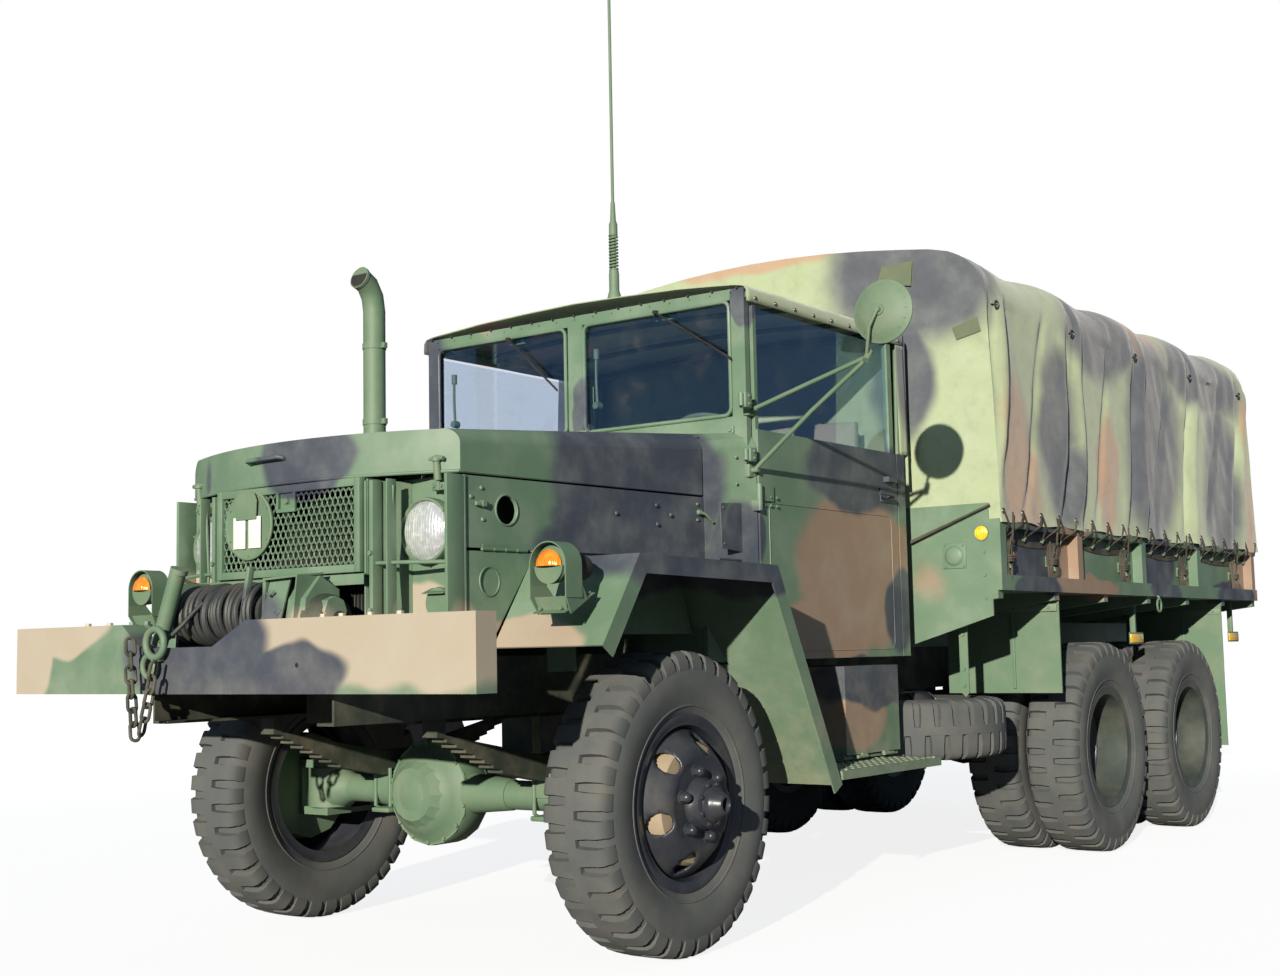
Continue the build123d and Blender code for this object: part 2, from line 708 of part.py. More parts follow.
# Drive line: gearbox, transfer case and shafts
SHAFT_R = 38.0
SHAFT_Z = AXLE_Z + 210
with BuildPart() as drive_line:
    block((-170, 170), (470, 1080), (760, 960))
    bar((0, 1080, 850), (0, 1560, 790), SHAFT_R)
    block((-330, 50), (1560, 1890), (570, 905))
    bar((BOWL_X, 156, AXLE_Z + 30), (BOWL_X - 40, 1560, 640), SHAFT_R)
    shaft_end = REAR_AXLES_Y[0] - CASE_HALF - SEAT_GAP
    bar((-120, 1880, 745), (BOWL_X, shaft_end - 40, SHAFT_Z), SHAFT_R)
    bar((BOWL_X, shaft_end - 60, SHAFT_Z), (BOWL_X, shaft_end, SHAFT_Z), 1.5 * SHAFT_R)
    bar(
        (BOWL_X, REAR_AXLES_Y[0] + CASE_HALF, SHAFT_Z),
        (BOWL_X, REAR_AXLES_Y[1] - CASE_HALF, SHAFT_Z),
        SHAFT_R,
    )
save(drive_line.part, "drive_line")

# Sections of the hood and the cowl
def cowl_section(y, half, low, shoulder, crown, inset):
    """Cross section of the cowl at one y: the hood's line in straight runs."""
    w = half - inset
    near_crown = shoulder + 0.42 * (crown - shoulder) + 22
    right = [
        (w, low),
        (w, shoulder - inset),
        (w - 16, shoulder + 34 - inset),
        (w - 60, near_crown - inset),
        (0.5 * w, crown - 0.25 * (crown - near_crown) - inset),
    ]
    left = [(-x, z) for x, z in reversed(right)]
    with BuildSketch(Plane.XZ.offset(-y)) as drawn:
        Polygon(*right, (0, crown - inset), *left, align=None)
    return drawn.sketch


def hood_section(y, half, low, shoulder, crown, inset):
    """Cross section of the hood at one y: straight sides, rounded shoulders, flat crown arc."""
    w = half - inset
    with BuildSketch(Plane.XZ.offset(-y)) as drawn:
        with BuildLine():
            Polyline((w, shoulder - inset), (w, low), (-w, low), (-w, shoulder - inset))
            side_tip = w - 60
            near_crown = shoulder + 0.42 * (crown - shoulder) + 22
            ThreePointArc(
                (-w, shoulder - inset), (-w + 16, shoulder + 34 - inset), (-side_tip, near_crown - inset)
            )
            ThreePointArc(
                (-side_tip, near_crown - inset), (0, crown - inset), (side_tip, near_crown - inset)
            )
            ThreePointArc(
                (side_tip, near_crown - inset), (w - 16, shoulder + 34 - inset), (w, shoulder - inset)
            )
        make_face()
    return drawn.sketch


def hood_form(inset):
    """Solid form under the hood's skin, drawn in by the inset."""
    bow = HOOD_FRONT_Y + inset
    with BuildPart() as form:
        front = hood_section(
            bow - 1, NOSE_HALF - 8, HOOD_LOW, HOOD_SHOULDER[0] - 4, HOOD_CROWN[0] - 6, inset
        )
        rear = hood_section(
            HOOD_REAR_Y, HOOD_REAR_HALF, HOOD_LOW, HOOD_SHOULDER[1], HOOD_CROWN[1], inset
        )
        loft([front, rear], ruled=True)
        with BuildSketch(Plane.XY.offset(HOOD_LOW - 1)):
            with BuildLine():
                wide = HOOD_REAR_HALF + 20
                corner_y = NOSE_Y - 6 + inset
                Polyline(
                    (NOSE_HALF, corner_y),
                    (wide, corner_y),
                    (wide, HOOD_REAR_Y + 1),
                    (-wide, HOOD_REAR_Y + 1),
                    (-wide, corner_y),
                    (-NOSE_HALF, corner_y),
                )
                ThreePointArc((-NOSE_HALF, corner_y), (0, bow), (NOSE_HALF, corner_y))
            make_face()
        extrude(amount=HOOD_CROWN[1] - HOOD_LOW + 40, mode=Mode.INTERSECT)
    return form.part


# Hood: crowned shell whose front edge is bowed, hinged at its rear edge
HINGE_R = 11.0
HOOD_HINGE_Z = HOOD_CROWN[1] + 14
HOOD_HINGE_Y = HOOD_REAR_Y + 4
with BuildPart() as hood:
    add(hood_form(0))
    add(hood_form(HOOD_SHEET), mode=Mode.SUBTRACT)
    for side in (1, -1):
        hinge_x = mirrored((80, 140), side)
        rod((hinge_x[0], HOOD_HINGE_Y, HOOD_HINGE_Z), (hinge_x[1], HOOD_HINGE_Y, HOOD_HINGE_Z), HINGE_R)
        block(hinge_x, (HOOD_HINGE_Y - 60, HOOD_HINGE_Y), (HOOD_HINGE_Z - HINGE_R - 5, HOOD_HINGE_Z - 4))
save(hood.part, "hood")

# Cowl: hollow form between the hood and the windshield, with the firewall
def cowl_form(inset):
    """Solid form of the cowl, drawn in by the inset."""
    front_y = HOOD_REAR_Y + PANEL_GAP
    with BuildPart() as form:
        front = cowl_section(front_y, HOOD_REAR_HALF, COWL_LOW, HOOD_SHOULDER[1], HOOD_CROWN[1], inset)
        rear = cowl_section(
            CAB_FRONT_Y, COWL_REAR_HALF, COWL_LOW, HOOD_SHOULDER[1] + 20, HOOD_CROWN[1] + 4, inset
        )
        loft([front, rear], ruled=True)
    return form.part


COWL_REAR_HALF = CAB_HALF - 5
COWL_SOLID = cowl_form(0)
DOOR_HINGES_Z = (1080.0, 1560.0)
DOOR_BARREL = 60.0
DASH_Y = 660.0
DASH_WALL = 20.0
DASH_LOW = 1500.0
FIXED_BARREL = 40.0
with BuildPart() as cowl:
    add(COWL_SOLID)
    add(cowl_form(COWL_WALL), mode=Mode.SUBTRACT)
    front_plate(
        (HOOD_REAR_Y + PANEL_GAP, HOOD_REAR_Y + PANEL_GAP + COWL_WALL),
        ((-700, COWL_LOW), (700, COWL_LOW), (700, 1740), (0, 1830), (-700, 1740)),
    )
    # instrument panel across the cab
    front_plate(
        (DASH_Y - DASH_WALL, DASH_Y),
        ((-795, DASH_LOW), (795, DASH_LOW), (795, 1740), (0, 1800), (-795, 1740)),
    )
    block(
        (-FRAME_HALF - SEAT_GAP, FRAME_HALF + SEAT_GAP),
        (HOOD_REAR_Y, CAB_FRONT_Y + 1),
        (COWL_LOW - 1, FRAME_TOP + SEAT_GAP),
        mode=Mode.SUBTRACT,
    )
    for side in (1, -1):
        hinge_x = mirrored((140 + SEAT_GAP, 185), side)
        rod((hinge_x[0], HOOD_HINGE_Y, HOOD_HINGE_Z), (hinge_x[1], HOOD_HINGE_Y, HOOD_HINGE_Z), HINGE_R)
        block(hinge_x, (HOOD_HINGE_Y, HOOD_HINGE_Y + 40), (HOOD_HINGE_Z - HINGE_R - 8, HOOD_HINGE_Z))
        for hinge_z in DOOR_HINGES_Z:
            barrel = (side * DOOR_HINGE_X, DOOR_HINGE_Y)
            barrel_z = (hinge_z - FIXED_BARREL, hinge_z - SEAT_GAP)
            rod((*barrel, barrel_z[0]), (*barrel, barrel_z[1]), HINGE_R)
            block(
                mirrored((COWL_REAR_HALF - COWL_WALL, DOOR_HINGE_X), side),
                (DOOR_HINGE_Y - HINGE_R, CAB_FRONT_Y),
                barrel_z,
            )
save(cowl.part, "cowl")

# Nose: front panels beside the grille, side panels of the engine bay with the round port
with BuildPart() as nose_panels:
    for side in (1, -1):
        front_plate(
            (NOSE_Y, NOSE_Y + SHEET),
            (
                (side * PANEL_INNER, NOSE_LOW),
                (side * (NOSE_HALF + 12), NOSE_LOW),
                (side * (NOSE_HALF + 12), HOOD_LOW - PANEL_GAP),
                (side * PANEL_INNER, HOOD_LOW - PANEL_GAP),
            ),
        )
        top_plate(
            (PANEL_LOW, HOOD_LOW - PANEL_GAP),
            (
                (side * (NOSE_HALF - 4), NOSE_Y + SHEET),
                (side * (NOSE_HALF + 4), NOSE_Y + SHEET),
                (side * (HOOD_REAR_HALF - 2), HOOD_REAR_Y + PANEL_GAP - SEAT_GAP),
                (side * (HOOD_REAR_HALF - 10), HOOD_REAR_Y + PANEL_GAP - SEAT_GAP),
            ),
        )
        with BuildSketch(Plane.YZ.offset(side * 600)):
            with Locations((PORT_Y, PORT_Z)):
                Circle(PORT_R)
        extrude(amount=side * 120, mode=Mode.SUBTRACT)
        # return beside the grille, forward to the guard
        block(
            mirrored((PANEL_INNER, PANEL_INNER + 8), side),
            (HOOD_FRONT_Y + 24, NOSE_Y),
            (NOSE_LOW, HOOD_LOW - PANEL_GAP),
        )
        # shelf down to the rail
        block(mirrored((PANEL_INNER, 420), side), (NOSE_Y, NOSE_Y + SHEET), (FRAME_TOP, NOSE_LOW))
save(nose_panels.part, "nose_panels")

# Grille: frame, diamond mesh, round disc, and the guard with its posts and bars
GRILLE_FRAME = 26.0
MESH_WALL = 5.0
MESH_PITCH = (108.0, 92.0)
MESH_HOLE_R = 47.0
DISC_AT = (-182.0, 1451.0)
DISC_R = 118.0
GUARD_LOW = 1000.0
GUARD_POSTS_X = (372.0, 446.0)
GUARD_POST = 16.0
GUARD_ROD_Z = (1288.0, 1304.0)
GUARD_ROD_END = 660.0
with BuildPart() as grille:
    face_y = HOOD_FRONT_Y + 14
    frame_y = (face_y - 12, face_y + 16)
    with BuildSketch(Plane.XZ.offset(-face_y)):
        with Locations((0, (GRILLE_LOW + GRILLE_TOP) / 2)):
            Rectangle(2 * GRILLE_HALF, GRILLE_TOP - GRILLE_LOW)
            for columns, rows in ((6, 3), (5, 2)):
                with GridLocations(*MESH_PITCH, columns, rows):
                    RegularPolygon(MESH_HOLE_R, 4, rotation=0, mode=Mode.SUBTRACT)
    extrude(amount=MESH_WALL, dir=(0, 1, 0))
    for x in (-GRILLE_HALF, GRILLE_HALF - GRILLE_FRAME):
        block((x, x + GRILLE_FRAME), frame_y, (GRILLE_LOW, GRILLE_TOP))
    for z in (GRILLE_LOW, GRILLE_TOP - GRILLE_FRAME):
        block((-GRILLE_HALF, GRILLE_HALF), frame_y, (z, z + GRILLE_FRAME))
    # round disc on its stay
    bar(
        (DISC_AT[0], face_y - 18, DISC_AT[1]),
        (DISC_AT[0], face_y - 10, DISC_AT[1]),
        DISC_R,
        WHEEL_SIDES,
    )
    block((DISC_AT[0] - 10, DISC_AT[0] + 10), (face_y - 10, face_y), (1400, 1500))
    guard_inner = PANEL_INNER - SEAT_GAP
    for side in (1, -1):
        block(
            mirrored((GRILLE_HALF, guard_inner), side), (face_y, face_y + 14), (GUARD_LOW, GRILLE_TOP)
        )
        for x in GUARD_POSTS_X:
            block(mirrored((x, x + GUARD_POST), side), (face_y, face_y + 30), (GUARD_LOW, 1556))
        block(
            mirrored((PANEL_INNER + 8 + SEAT_GAP, GUARD_ROD_END), side),
            (face_y + 30, face_y + 40),
            GUARD_ROD_Z,
        )
        block(
            mirrored((GUARD_ROD_END - 26, GUARD_ROD_END), side),
            (face_y + 40, NOSE_Y - SEAT_GAP),
            (GUARD_ROD_Z[0] - 4, GUARD_ROD_Z[1] + 4),
        )
        block(
            mirrored((guard_inner - 4, 470), side),
            (face_y + 14, face_y + 30),
            (GUARD_LOW, GUARD_LOW + GUARD_POST),
        )
    block((-GRILLE_HALF, GRILLE_HALF), (face_y, face_y + 30), (GUARD_LOW, GUARD_LOW + GUARD_POST))
save(grille.part, "grille")

# Headlamps: bucket and domed lens, standing in their panel
with BuildPart() as headlamps:
    for side in (1, -1):
        seat = Plane(origin=(side * LAMP_X, NOSE_Y - SEAT_GAP, LAMP_Z), x_dir=(1, 0, 0), z_dir=(0, -1, 0))
        prism(seat, LAMP_R, LAMP_DEPTH)
        frustum(seat.offset(LAMP_DEPTH), LAMP_R - 14, 0.6 * LAMP_R, LAMP_DOME)
save(headlamps.part, "headlamps")

# Fenders: sloped and flat-topped band with a rolled lip, and the inner apron over the wheel
# low x, high x and depth of each band
FENDER_BANDS = (
    (FENDER_INNER, FENDER_OUTER, SHEET),
    (FENDER_OUTER - SHEET, FENDER_OUTER, FENDER_LIP),
)
FENDER_TOP_FRONT, FENDER_TOP_REAR = FENDER_LINE[1:3]
APRON_FRONT_Y = -520.0
APRON_REAR_Y = 380.0
STAY_HALF = 80.0
with BuildPart() as fenders:
    for side in (1, -1):
        apron_x = mirrored((FENDER_INNER, FENDER_INNER + SHEET), side)
        for x_low, x_high, depth in FENDER_BANDS:
            with BuildSketch(Plane.YZ.offset(side * x_low)) as band:
                with BuildLine():
                    Polyline(*FENDER_LINE)
                    offset(amount=depth, side=Side.RIGHT)
                make_face()
            extrude(amount=side * (x_high - x_low))
        side_plate(
            apron_x,
            (
                (APRON_FRONT_Y, APRON_LOW),
                (470, APRON_LOW),
                (415, 1230),
                FENDER_TOP_REAR,
                FENDER_TOP_FRONT,
                (APRON_FRONT_Y, 1176),
            ),
        )
        # apron up to the engine bay's side panel
        top_plate(
            (PANEL_LOW - SHEET, PANEL_LOW - SEAT_GAP),
            (
                (side * (NOSE_HALF - 10), -430),
                (side * (FENDER_INNER + SHEET), -430),
                (side * (FENDER_INNER + SHEET), APRON_REAR_Y),
                (side * (NOSE_HALF - 10), APRON_REAR_Y),
            ),
        )
        block(apron_x, (FENDER_TOP_FRONT[0], APRON_REAR_Y), (1290, PANEL_LOW - SHEET))
        # stay down to the rail
        stay_y = (-STAY_HALF, STAY_HALF)
        block(mirrored((FRAME_HALF, FENDER_INNER), side), stay_y, (APRON_LOW, APRON_LOW + SHEET))
        block(mirrored((FRAME_HALF, FRAME_HALF + SHEET), side), stay_y, (FRAME_TOP - 60, APRON_LOW))
        top_plate(
            (COWL_LOW - PANEL_GAP, APRON_LOW + 200),
            (
                (0, HOOD_REAR_Y),
                (side * (HOOD_REAR_HALF + PANEL_GAP), HOOD_REAR_Y),
                (side * (CAB_HALF + PANEL_GAP), CAB_FRONT_Y + PANEL_GAP),
                (0, CAB_FRONT_Y + PANEL_GAP),
            ),
            mode=Mode.SUBTRACT,
        )
save(fenders.part, "fenders")

# Signal lamps: front lamps on their brackets, rear lamps on the rear mud flaps' brackets
SIGNAL_X = 974.0
SIGNAL_Y = -684.0
SIGNAL_Z = 1270.0
SIGNAL_HALF = 30.0
SIGNAL_R = 46.0
HOOP_R = 70.0
HOOP_WALL = 10.0
HOOP_LENGTH = 80.0
FOOT_Z = (1118.0, 1130.0)
FOOT_FRONT_Y = -724.0
# where the foot meets the fender's slope
FOOT_REAR_Y = (-560.1, -552.1)
REAR_LAMP_X = 880.0
REAR_LAMP_Z = 1096.0
REAR_LAMP_R = 52.0
REAR_LAMP_LENGTH = 36.0
LAMP_STALK_TOP = 1158.0
with BuildPart() as signal_lamps:
    for side in (1, -1):
        bar(
            (side * SIGNAL_X, SIGNAL_Y - SIGNAL_HALF, SIGNAL_Z),
            (side * SIGNAL_X, SIGNAL_Y + SIGNAL_HALF, SIGNAL_Z),
            SIGNAL_R,
            HUB_SIDES,
        )
        with BuildSketch(Plane.XZ.offset(-SIGNAL_Y + HOOP_LENGTH / 2)):
            with Locations((side * SIGNAL_X, SIGNAL_Z)):
                RegularPolygon(HOOP_R, HUB_SIDES)
                with Locations((0, -HOOP_R)):
                    Rectangle(2 * HOOP_R, 2 * HOOP_R)
                RegularPolygon(HOOP_R - HOOP_WALL, HUB_SIDES, mode=Mode.SUBTRACT)
                with Locations((0, -58)):
                    Rectangle(2 * (HOOP_R - HOOP_WALL), 116, mode=Mode.SUBTRACT)
        extrude(amount=HOOP_LENGTH, dir=(0, 1, 0))
        block(
            mirrored((SIGNAL_X - 40, SIGNAL_X + 40), side),
            (SIGNAL_Y - 28, SIGNAL_Y + 28),
            (SIGNAL_Z - 134, SIGNAL_Z - 40),
        )
        side_plate(
            mirrored((SIGNAL_X - 50, SIGNAL_X + 50), side),
            (
                (FOOT_FRONT_Y, FOOT_Z[1]),
                (FOOT_FRONT_Y, FOOT_Z[0]),
                (FOOT_REAR_Y[0], FOOT_Z[0]),
                (FOOT_REAR_Y[1], FOOT_Z[1]),
            ),
        )
        lamp_front = BED_REAR_Y - REAR_LAMP_LENGTH
        bar(
            (side * REAR_LAMP_X, lamp_front, REAR_LAMP_Z),
            (side * REAR_LAMP_X, BED_REAR_Y, REAR_LAMP_Z),
            REAR_LAMP_R,
            HUB_SIDES,
        )
        block(
            mirrored((REAR_LAMP_X - 15, REAR_LAMP_X + 15), side),
            (lamp_front - 8, lamp_front),
            (REAR_LAMP_Z - 6, LAMP_STALK_TOP),
        )
save(signal_lamps.part, "signal_lamps")

# Cab body: floor, rear wall, door posts and sills
SILL_X = CAB_HALF - DOOR_WALL - PANEL_GAP
FLOOR_TOP = FRAME_TOP + FLOOR_WALL
with BuildPart() as cab_body:
    # toe board ahead of the floor
    block(
        (-680, 680),
        (HOOD_REAR_Y + PANEL_GAP + COWL_WALL + SEAT_GAP, CAB_FRONT_Y),
        (FRAME_TOP + SEAT_GAP, FLOOR_TOP),
    )
    block((-SILL_X, SILL_X), (CAB_FRONT_Y, CAB_REAR_Y), (FRAME_TOP, FLOOR_TOP))
    block((-CAB_HALF, CAB_HALF), (CAB_REAR_Y - CAB_WALL, CAB_REAR_Y), (FRAME_TOP, CAB_WAIST))
    for side in (1, -1):
        block(
            mirrored((SILL_X, CAB_HALF), side),
            (DOOR_REAR_Y + PANEL_GAP, CAB_REAR_Y),
            (CAB_LOW, CAB_WAIST),
        )
        block(
            mirrored((SILL_X - CAB_WALL, SILL_X), side), (CAB_FRONT_Y, CAB_REAR_Y), (CAB_LOW, SILL_TOP)
        )
save(cab_body.part, "cab_body")

# Windshield: one frame round two panes
FRAME_DEPTH = 30.0
PANE_HALF = (WINDSHIELD_HALF - 1.6 * WINDSHIELD_BAR) / 2
PANE_X = PANE_HALF + 0.6 * WINDSHIELD_BAR
PANE_LOW = WINDSHIELD_LOW + 30
PANE_TOP = WINDSHIELD_TOP - 42
with BuildPart() as windshield:
    ws_y = CAB_FRONT_Y - FRAME_DEPTH
    with BuildSketch(Plane.XZ.offset(-ws_y)):
        with Locations((0, (HOOD_SHOULDER[1] + WINDSHIELD_TOP) / 2)):
            Rectangle(2 * WINDSHIELD_HALF, WINDSHIELD_TOP - HOOD_SHOULDER[1])
        for side in (1, -1):
            with Locations((side * PANE_X, (PANE_LOW + PANE_TOP) / 2)):
                Rectangle(2 * PANE_HALF, PANE_TOP - PANE_LOW, mode=Mode.SUBTRACT)
    extrude(amount=FRAME_DEPTH, dir=(0, 1, 0))
    add(COWL_SOLID, mode=Mode.SUBTRACT)
save(windshield.part, "windshield")

with BuildPart() as windshield_glass:
    for side in (1, -1):
        block(
            mirrored((PANE_X - PANE_HALF + SEAT_GAP, PANE_X + PANE_HALF - SEAT_GAP), side),
            (CAB_FRONT_Y - 18, CAB_FRONT_Y - 12),
            (PANE_LOW + SEAT_GAP, PANE_TOP - SEAT_GAP),
        )
save(windshield_glass.part, "windshield_glass")

# Canvas cab roof: low crown, valances, rear curtain and rear quarters
ROOF_VALANCE = 70.0
ROOF_BREAK_X = 520.0
ROOF_BREAK = ROOF_CROWN - 18
CURTAIN_LOW = 1700.0
QUARTER_START_Y = DOOR_REAR_Y + 40
with BuildPart() as cab_roof:
    roof_front = CAB_FRONT_Y - 40
    roof_rear = CAB_REAR_Y + 45
    valance_low = ROOF_SIDE - ROOF_VALANCE
    inner_half = CAB_HALF - CANVAS
    inner_side = ROOF_SIDE - CANVAS + 4
    front_plate(
        (roof_front, roof_rear),
        (
            (-CAB_HALF, valance_low),
            (-CAB_HALF, ROOF_SIDE),
            (-ROOF_BREAK_X, ROOF_BREAK),
            (0, ROOF_CROWN),
            (ROOF_BREAK_X, ROOF_BREAK),
            (CAB_HALF, ROOF_SIDE),
            (CAB_HALF, valance_low),
            (inner_half, valance_low),
            (inner_half, inner_side),
            (ROOF_BREAK_X, ROOF_BREAK - CANVAS),
            (0, ROOF_CROWN - CANVAS),
            (-ROOF_BREAK_X, ROOF_BREAK - CANVAS),
            (-inner_half, inner_side),
            (-inner_half, valance_low),
        ),
    )
    block((-CAB_HALF + 1, CAB_HALF - 1), (roof_rear - CANVAS, roof_rear), (CURTAIN_LOW, ROOF_SIDE))
    for side in (1, -1):
        block(
            mirrored((inner_half, CAB_HALF), side),
            (QUARTER_START_Y, roof_rear),
            (CAB_WAIST + SEAT_GAP, ROOF_SIDE - 60),
        )
save(cab_roof.part, "cab_roof")

# Doors: panel with a pocket for its glass, window channels, hinges and latch handle
CHANNEL = (22.0, 34.0)
CHANNEL_TOP = WINDSHIELD_TOP - 64
POCKET_WALL = 8.0
POCKET_LOW = CAB_WAIST - 300
GLASS_Y = (DOOR_FRONT_Y + CHANNEL[0] + SEAT_GAP, DOOR_REAR_Y - CHANNEL[1] - SEAT_GAP)
HANDLE_Z = (1700.0, 1722.0)


def door(side):
    """Door of one side, hinged at its front edge."""
    outer = (CAB_HALF - DOOR_WALL, CAB_HALF)
    channel_x = mirrored((CAB_HALF - 34, CAB_HALF - 10), side)
    with BuildPart() as made:
        block(mirrored(outer, side), (DOOR_FRONT_Y, DOOR_REAR_Y), (CAB_LOW, CAB_WAIST))
        block(
            mirrored((outer[0] + POCKET_WALL, outer[1] - POCKET_WALL), side),
            (DOOR_FRONT_Y + CHANNEL[0], DOOR_REAR_Y - CHANNEL[1]),
            (POCKET_LOW, CAB_WAIST + 1),
            mode=Mode.SUBTRACT,
        )
        for y in ((DOOR_FRONT_Y, DOOR_FRONT_Y + CHANNEL[0]), (DOOR_REAR_Y - CHANNEL[1], DOOR_REAR_Y)):
            block(channel_x, y, (CAB_WAIST, CHANNEL_TOP))
        for low in DOOR_HINGES_Z:
            z = (low, low + DOOR_BARREL)
            barrel = (side * DOOR_HINGE_X, DOOR_HINGE_Y)
            rod((*barrel, z[0]), (*barrel, z[1]), HINGE_R)
            block(mirrored((CAB_HALF, CAB_HALF + 8), side), (DOOR_HINGE_Y, DOOR_FRONT_Y + 90), z)
        # latch handle
        block(
            mirrored((CAB_HALF, CAB_HALF + 26), side), (DOOR_REAR_Y - 120, DOOR_REAR_Y - 40), HANDLE_Z
        )
    return made.part


for side, name in ((1, "left"), (-1, "right")):
    save(door(side), f"door_{name}")
    with BuildPart() as door_glass:
        block(
            mirrored((CAB_HALF - 25, CAB_HALF - 19), side), GLASS_Y, (POCKET_LOW + 10, CHANNEL_TOP - 8)
        )
        # holder along the glass's lower edge, on the pocket's floor
        block(
            mirrored((CAB_HALF - 26, CAB_HALF - 18), side),
            (DOOR_FRONT_Y + 62, DOOR_REAR_Y - 62),
            (POCKET_LOW + SEAT_GAP, POCKET_LOW + 20),
        )
    save(door_glass.part, f"door_glass_{name}")

# Fixed halves of the door hinges, with the mirror on the left pair: arms up to a round head
MIRROR_AT = (1401.0, 646.0, 2197.0)
MIRROR_R = 115.0
MIRROR_JOINT = (1339.0, 646.0, 2063.0)
ARM_R = 9.0
with BuildPart() as mirror:
    for foot_x, foot_z in ((WINDSHIELD_HALF + SEAT_GAP, 1905), (COWL_REAR_HALF - 8, 1672)):
        block((foot_x, foot_x + 8), (MIRROR_AT[1] - 14, MIRROR_AT[1] + 14), (foot_z - 28, foot_z + 28))
        bar((foot_x + 4, MIRROR_AT[1], foot_z), MIRROR_JOINT, ARM_R)
    bar(MIRROR_JOINT, (MIRROR_AT[0] - 6, MIRROR_AT[1] + 12, MIRROR_AT[2]), ARM_R)
    with BuildSketch(Plane(origin=MIRROR_AT, x_dir=(1, 0.45, 0), z_dir=(0.45, -1, 0))):
        RegularPolygon(MIRROR_R, WHEEL_SIDES)
    extrude(amount=-14)
save(mirror.part, "mirror")

# Seats: driver's bucket and a double passenger seat, with frames down to the floor
with BuildPart() as seats:
    for x in ((170, 690), (-720, 30)):
        block(x, (1180, 1690), (1330, 1450))
        side_plate(x, ((1640, 1450), (1740, 1450), (1810, 1960), (1730, 1960)))
        block((x[0] + 20, x[1] - 20), (1220, 1640), (FRAME_TOP + FLOOR_WALL, 1330))
save(seats.part, "seats")

# Steering wheel, tilted about X, on its column down to the toe board
STEER_AT = Vector(420, 1075, 1740)
STEER_TILT = Vector(0, 355, 440).normalized()
COLUMN_R = 22.0
STEER_R = 222.0
STEER_RIM = 20.0
with BuildPart() as steering_wheel:
    with BuildSketch(Plane(origin=STEER_AT, x_dir=(1, 0, 0), z_dir=STEER_TILT)):
        RegularPolygon(STEER_R, WHEEL_SIDES)
        RegularPolygon(STEER_R - STEER_RIM, WHEEL_SIDES, mode=Mode.SUBTRACT)
        Rectangle(2 * STEER_R - STEER_RIM, 26)
        with Locations((0, -STEER_R / 2)):
            Rectangle(26, STEER_R - STEER_RIM)
        RegularPolygon(44, 8)
    extrude(amount=STEER_RIM)
    bar(STEER_AT - STEER_TILT * 860, STEER_AT + STEER_TILT * STEER_RIM / 2, COLUMN_R)
    side_plate(
        (STEER_AT.X - 8, STEER_AT.X + 8),
        ((DASH_Y, DASH_LOW), (DASH_Y, DASH_LOW + 60), (932, DASH_LOW + 60), (884, DASH_LOW)),
    )
save(steering_wheel.part, "steering_wheel")

# Toolbox under the left door, with its drop-down door; battery box on the other side
BOX_X = (FRAME_HALF, 888.0)
BOX_Y = (1185.0, 1632.0)
BOX_Z = (566.0, 930.0)
LID_WALL = 12.0
LID_GAP = 0.5
LID_HINGE_X = BOX_X[1] + 18
LID_HINGE_Z = BOX_Z[0] + 8
LID_HINGE_R = 7.0
LID_BARREL = 40.0
BOX_BARRELS_Y = (1260.0, 1520.0)
with BuildPart() as toolbox:
    block(BOX_X, BOX_Y, BOX_Z)
    block(
        (FRAME_HALF + 120, BOX_X[1] + 1),
        (BOX_Y[0] + LID_WALL, BOX_Y[1] - LID_WALL),
        (BOX_Z[0] + LID_WALL, BOX_Z[1] - LID_WALL),
        mode=Mode.SUBTRACT,
    )
    for y in BOX_BARRELS_Y:
        span = (y, y + LID_BARREL)
        rod((LID_HINGE_X, span[0], LID_HINGE_Z), (LID_HINGE_X, span[1], LID_HINGE_Z), LID_HINGE_R)
        block((BOX_X[1], LID_HINGE_X), span, (LID_HINGE_Z - LID_HINGE_R, LID_HINGE_Z))
save(toolbox.part, "toolbox")

# each barrel of the door stands against the inner end of one on the box
LID_BARRELS_Y = (BOX_BARRELS_Y[0] + LID_BARREL + SEAT_GAP, BOX_BARRELS_Y[1] - LID_BARREL - SEAT_GAP)
with BuildPart() as toolbox_door:
    lid_x = (BOX_X[1] + LID_GAP, BOX_X[1] + LID_GAP + LID_WALL)
    block(lid_x, BOX_Y, (LID_HINGE_Z + 9, BOX_Z[1]))
    for y in LID_BARRELS_Y:
        span = (y, y + LID_BARREL)
        rod((LID_HINGE_X, span[0], LID_HINGE_Z), (LID_HINGE_X, span[1], LID_HINGE_Z), LID_HINGE_R)
        block((lid_x[0] + 4, LID_HINGE_X + 2), span, (LID_HINGE_Z + 3, LID_HINGE_Z + 12))
save(toolbox_door.part, "toolbox_door")

with BuildPart() as battery_box:
    block(mirrored(BOX_X, -1), BOX_Y, BOX_Z)
    block(
        mirrored((FRAME_HALF + 20, BOX_X[1] + LID_WALL), -1),
        (BOX_Y[0] - LID_WALL, BOX_Y[1] + LID_WALL),
        (BOX_Z[1], BOX_Z[1] + LID_WALL),
    )
save(battery_box.part, "battery_box")

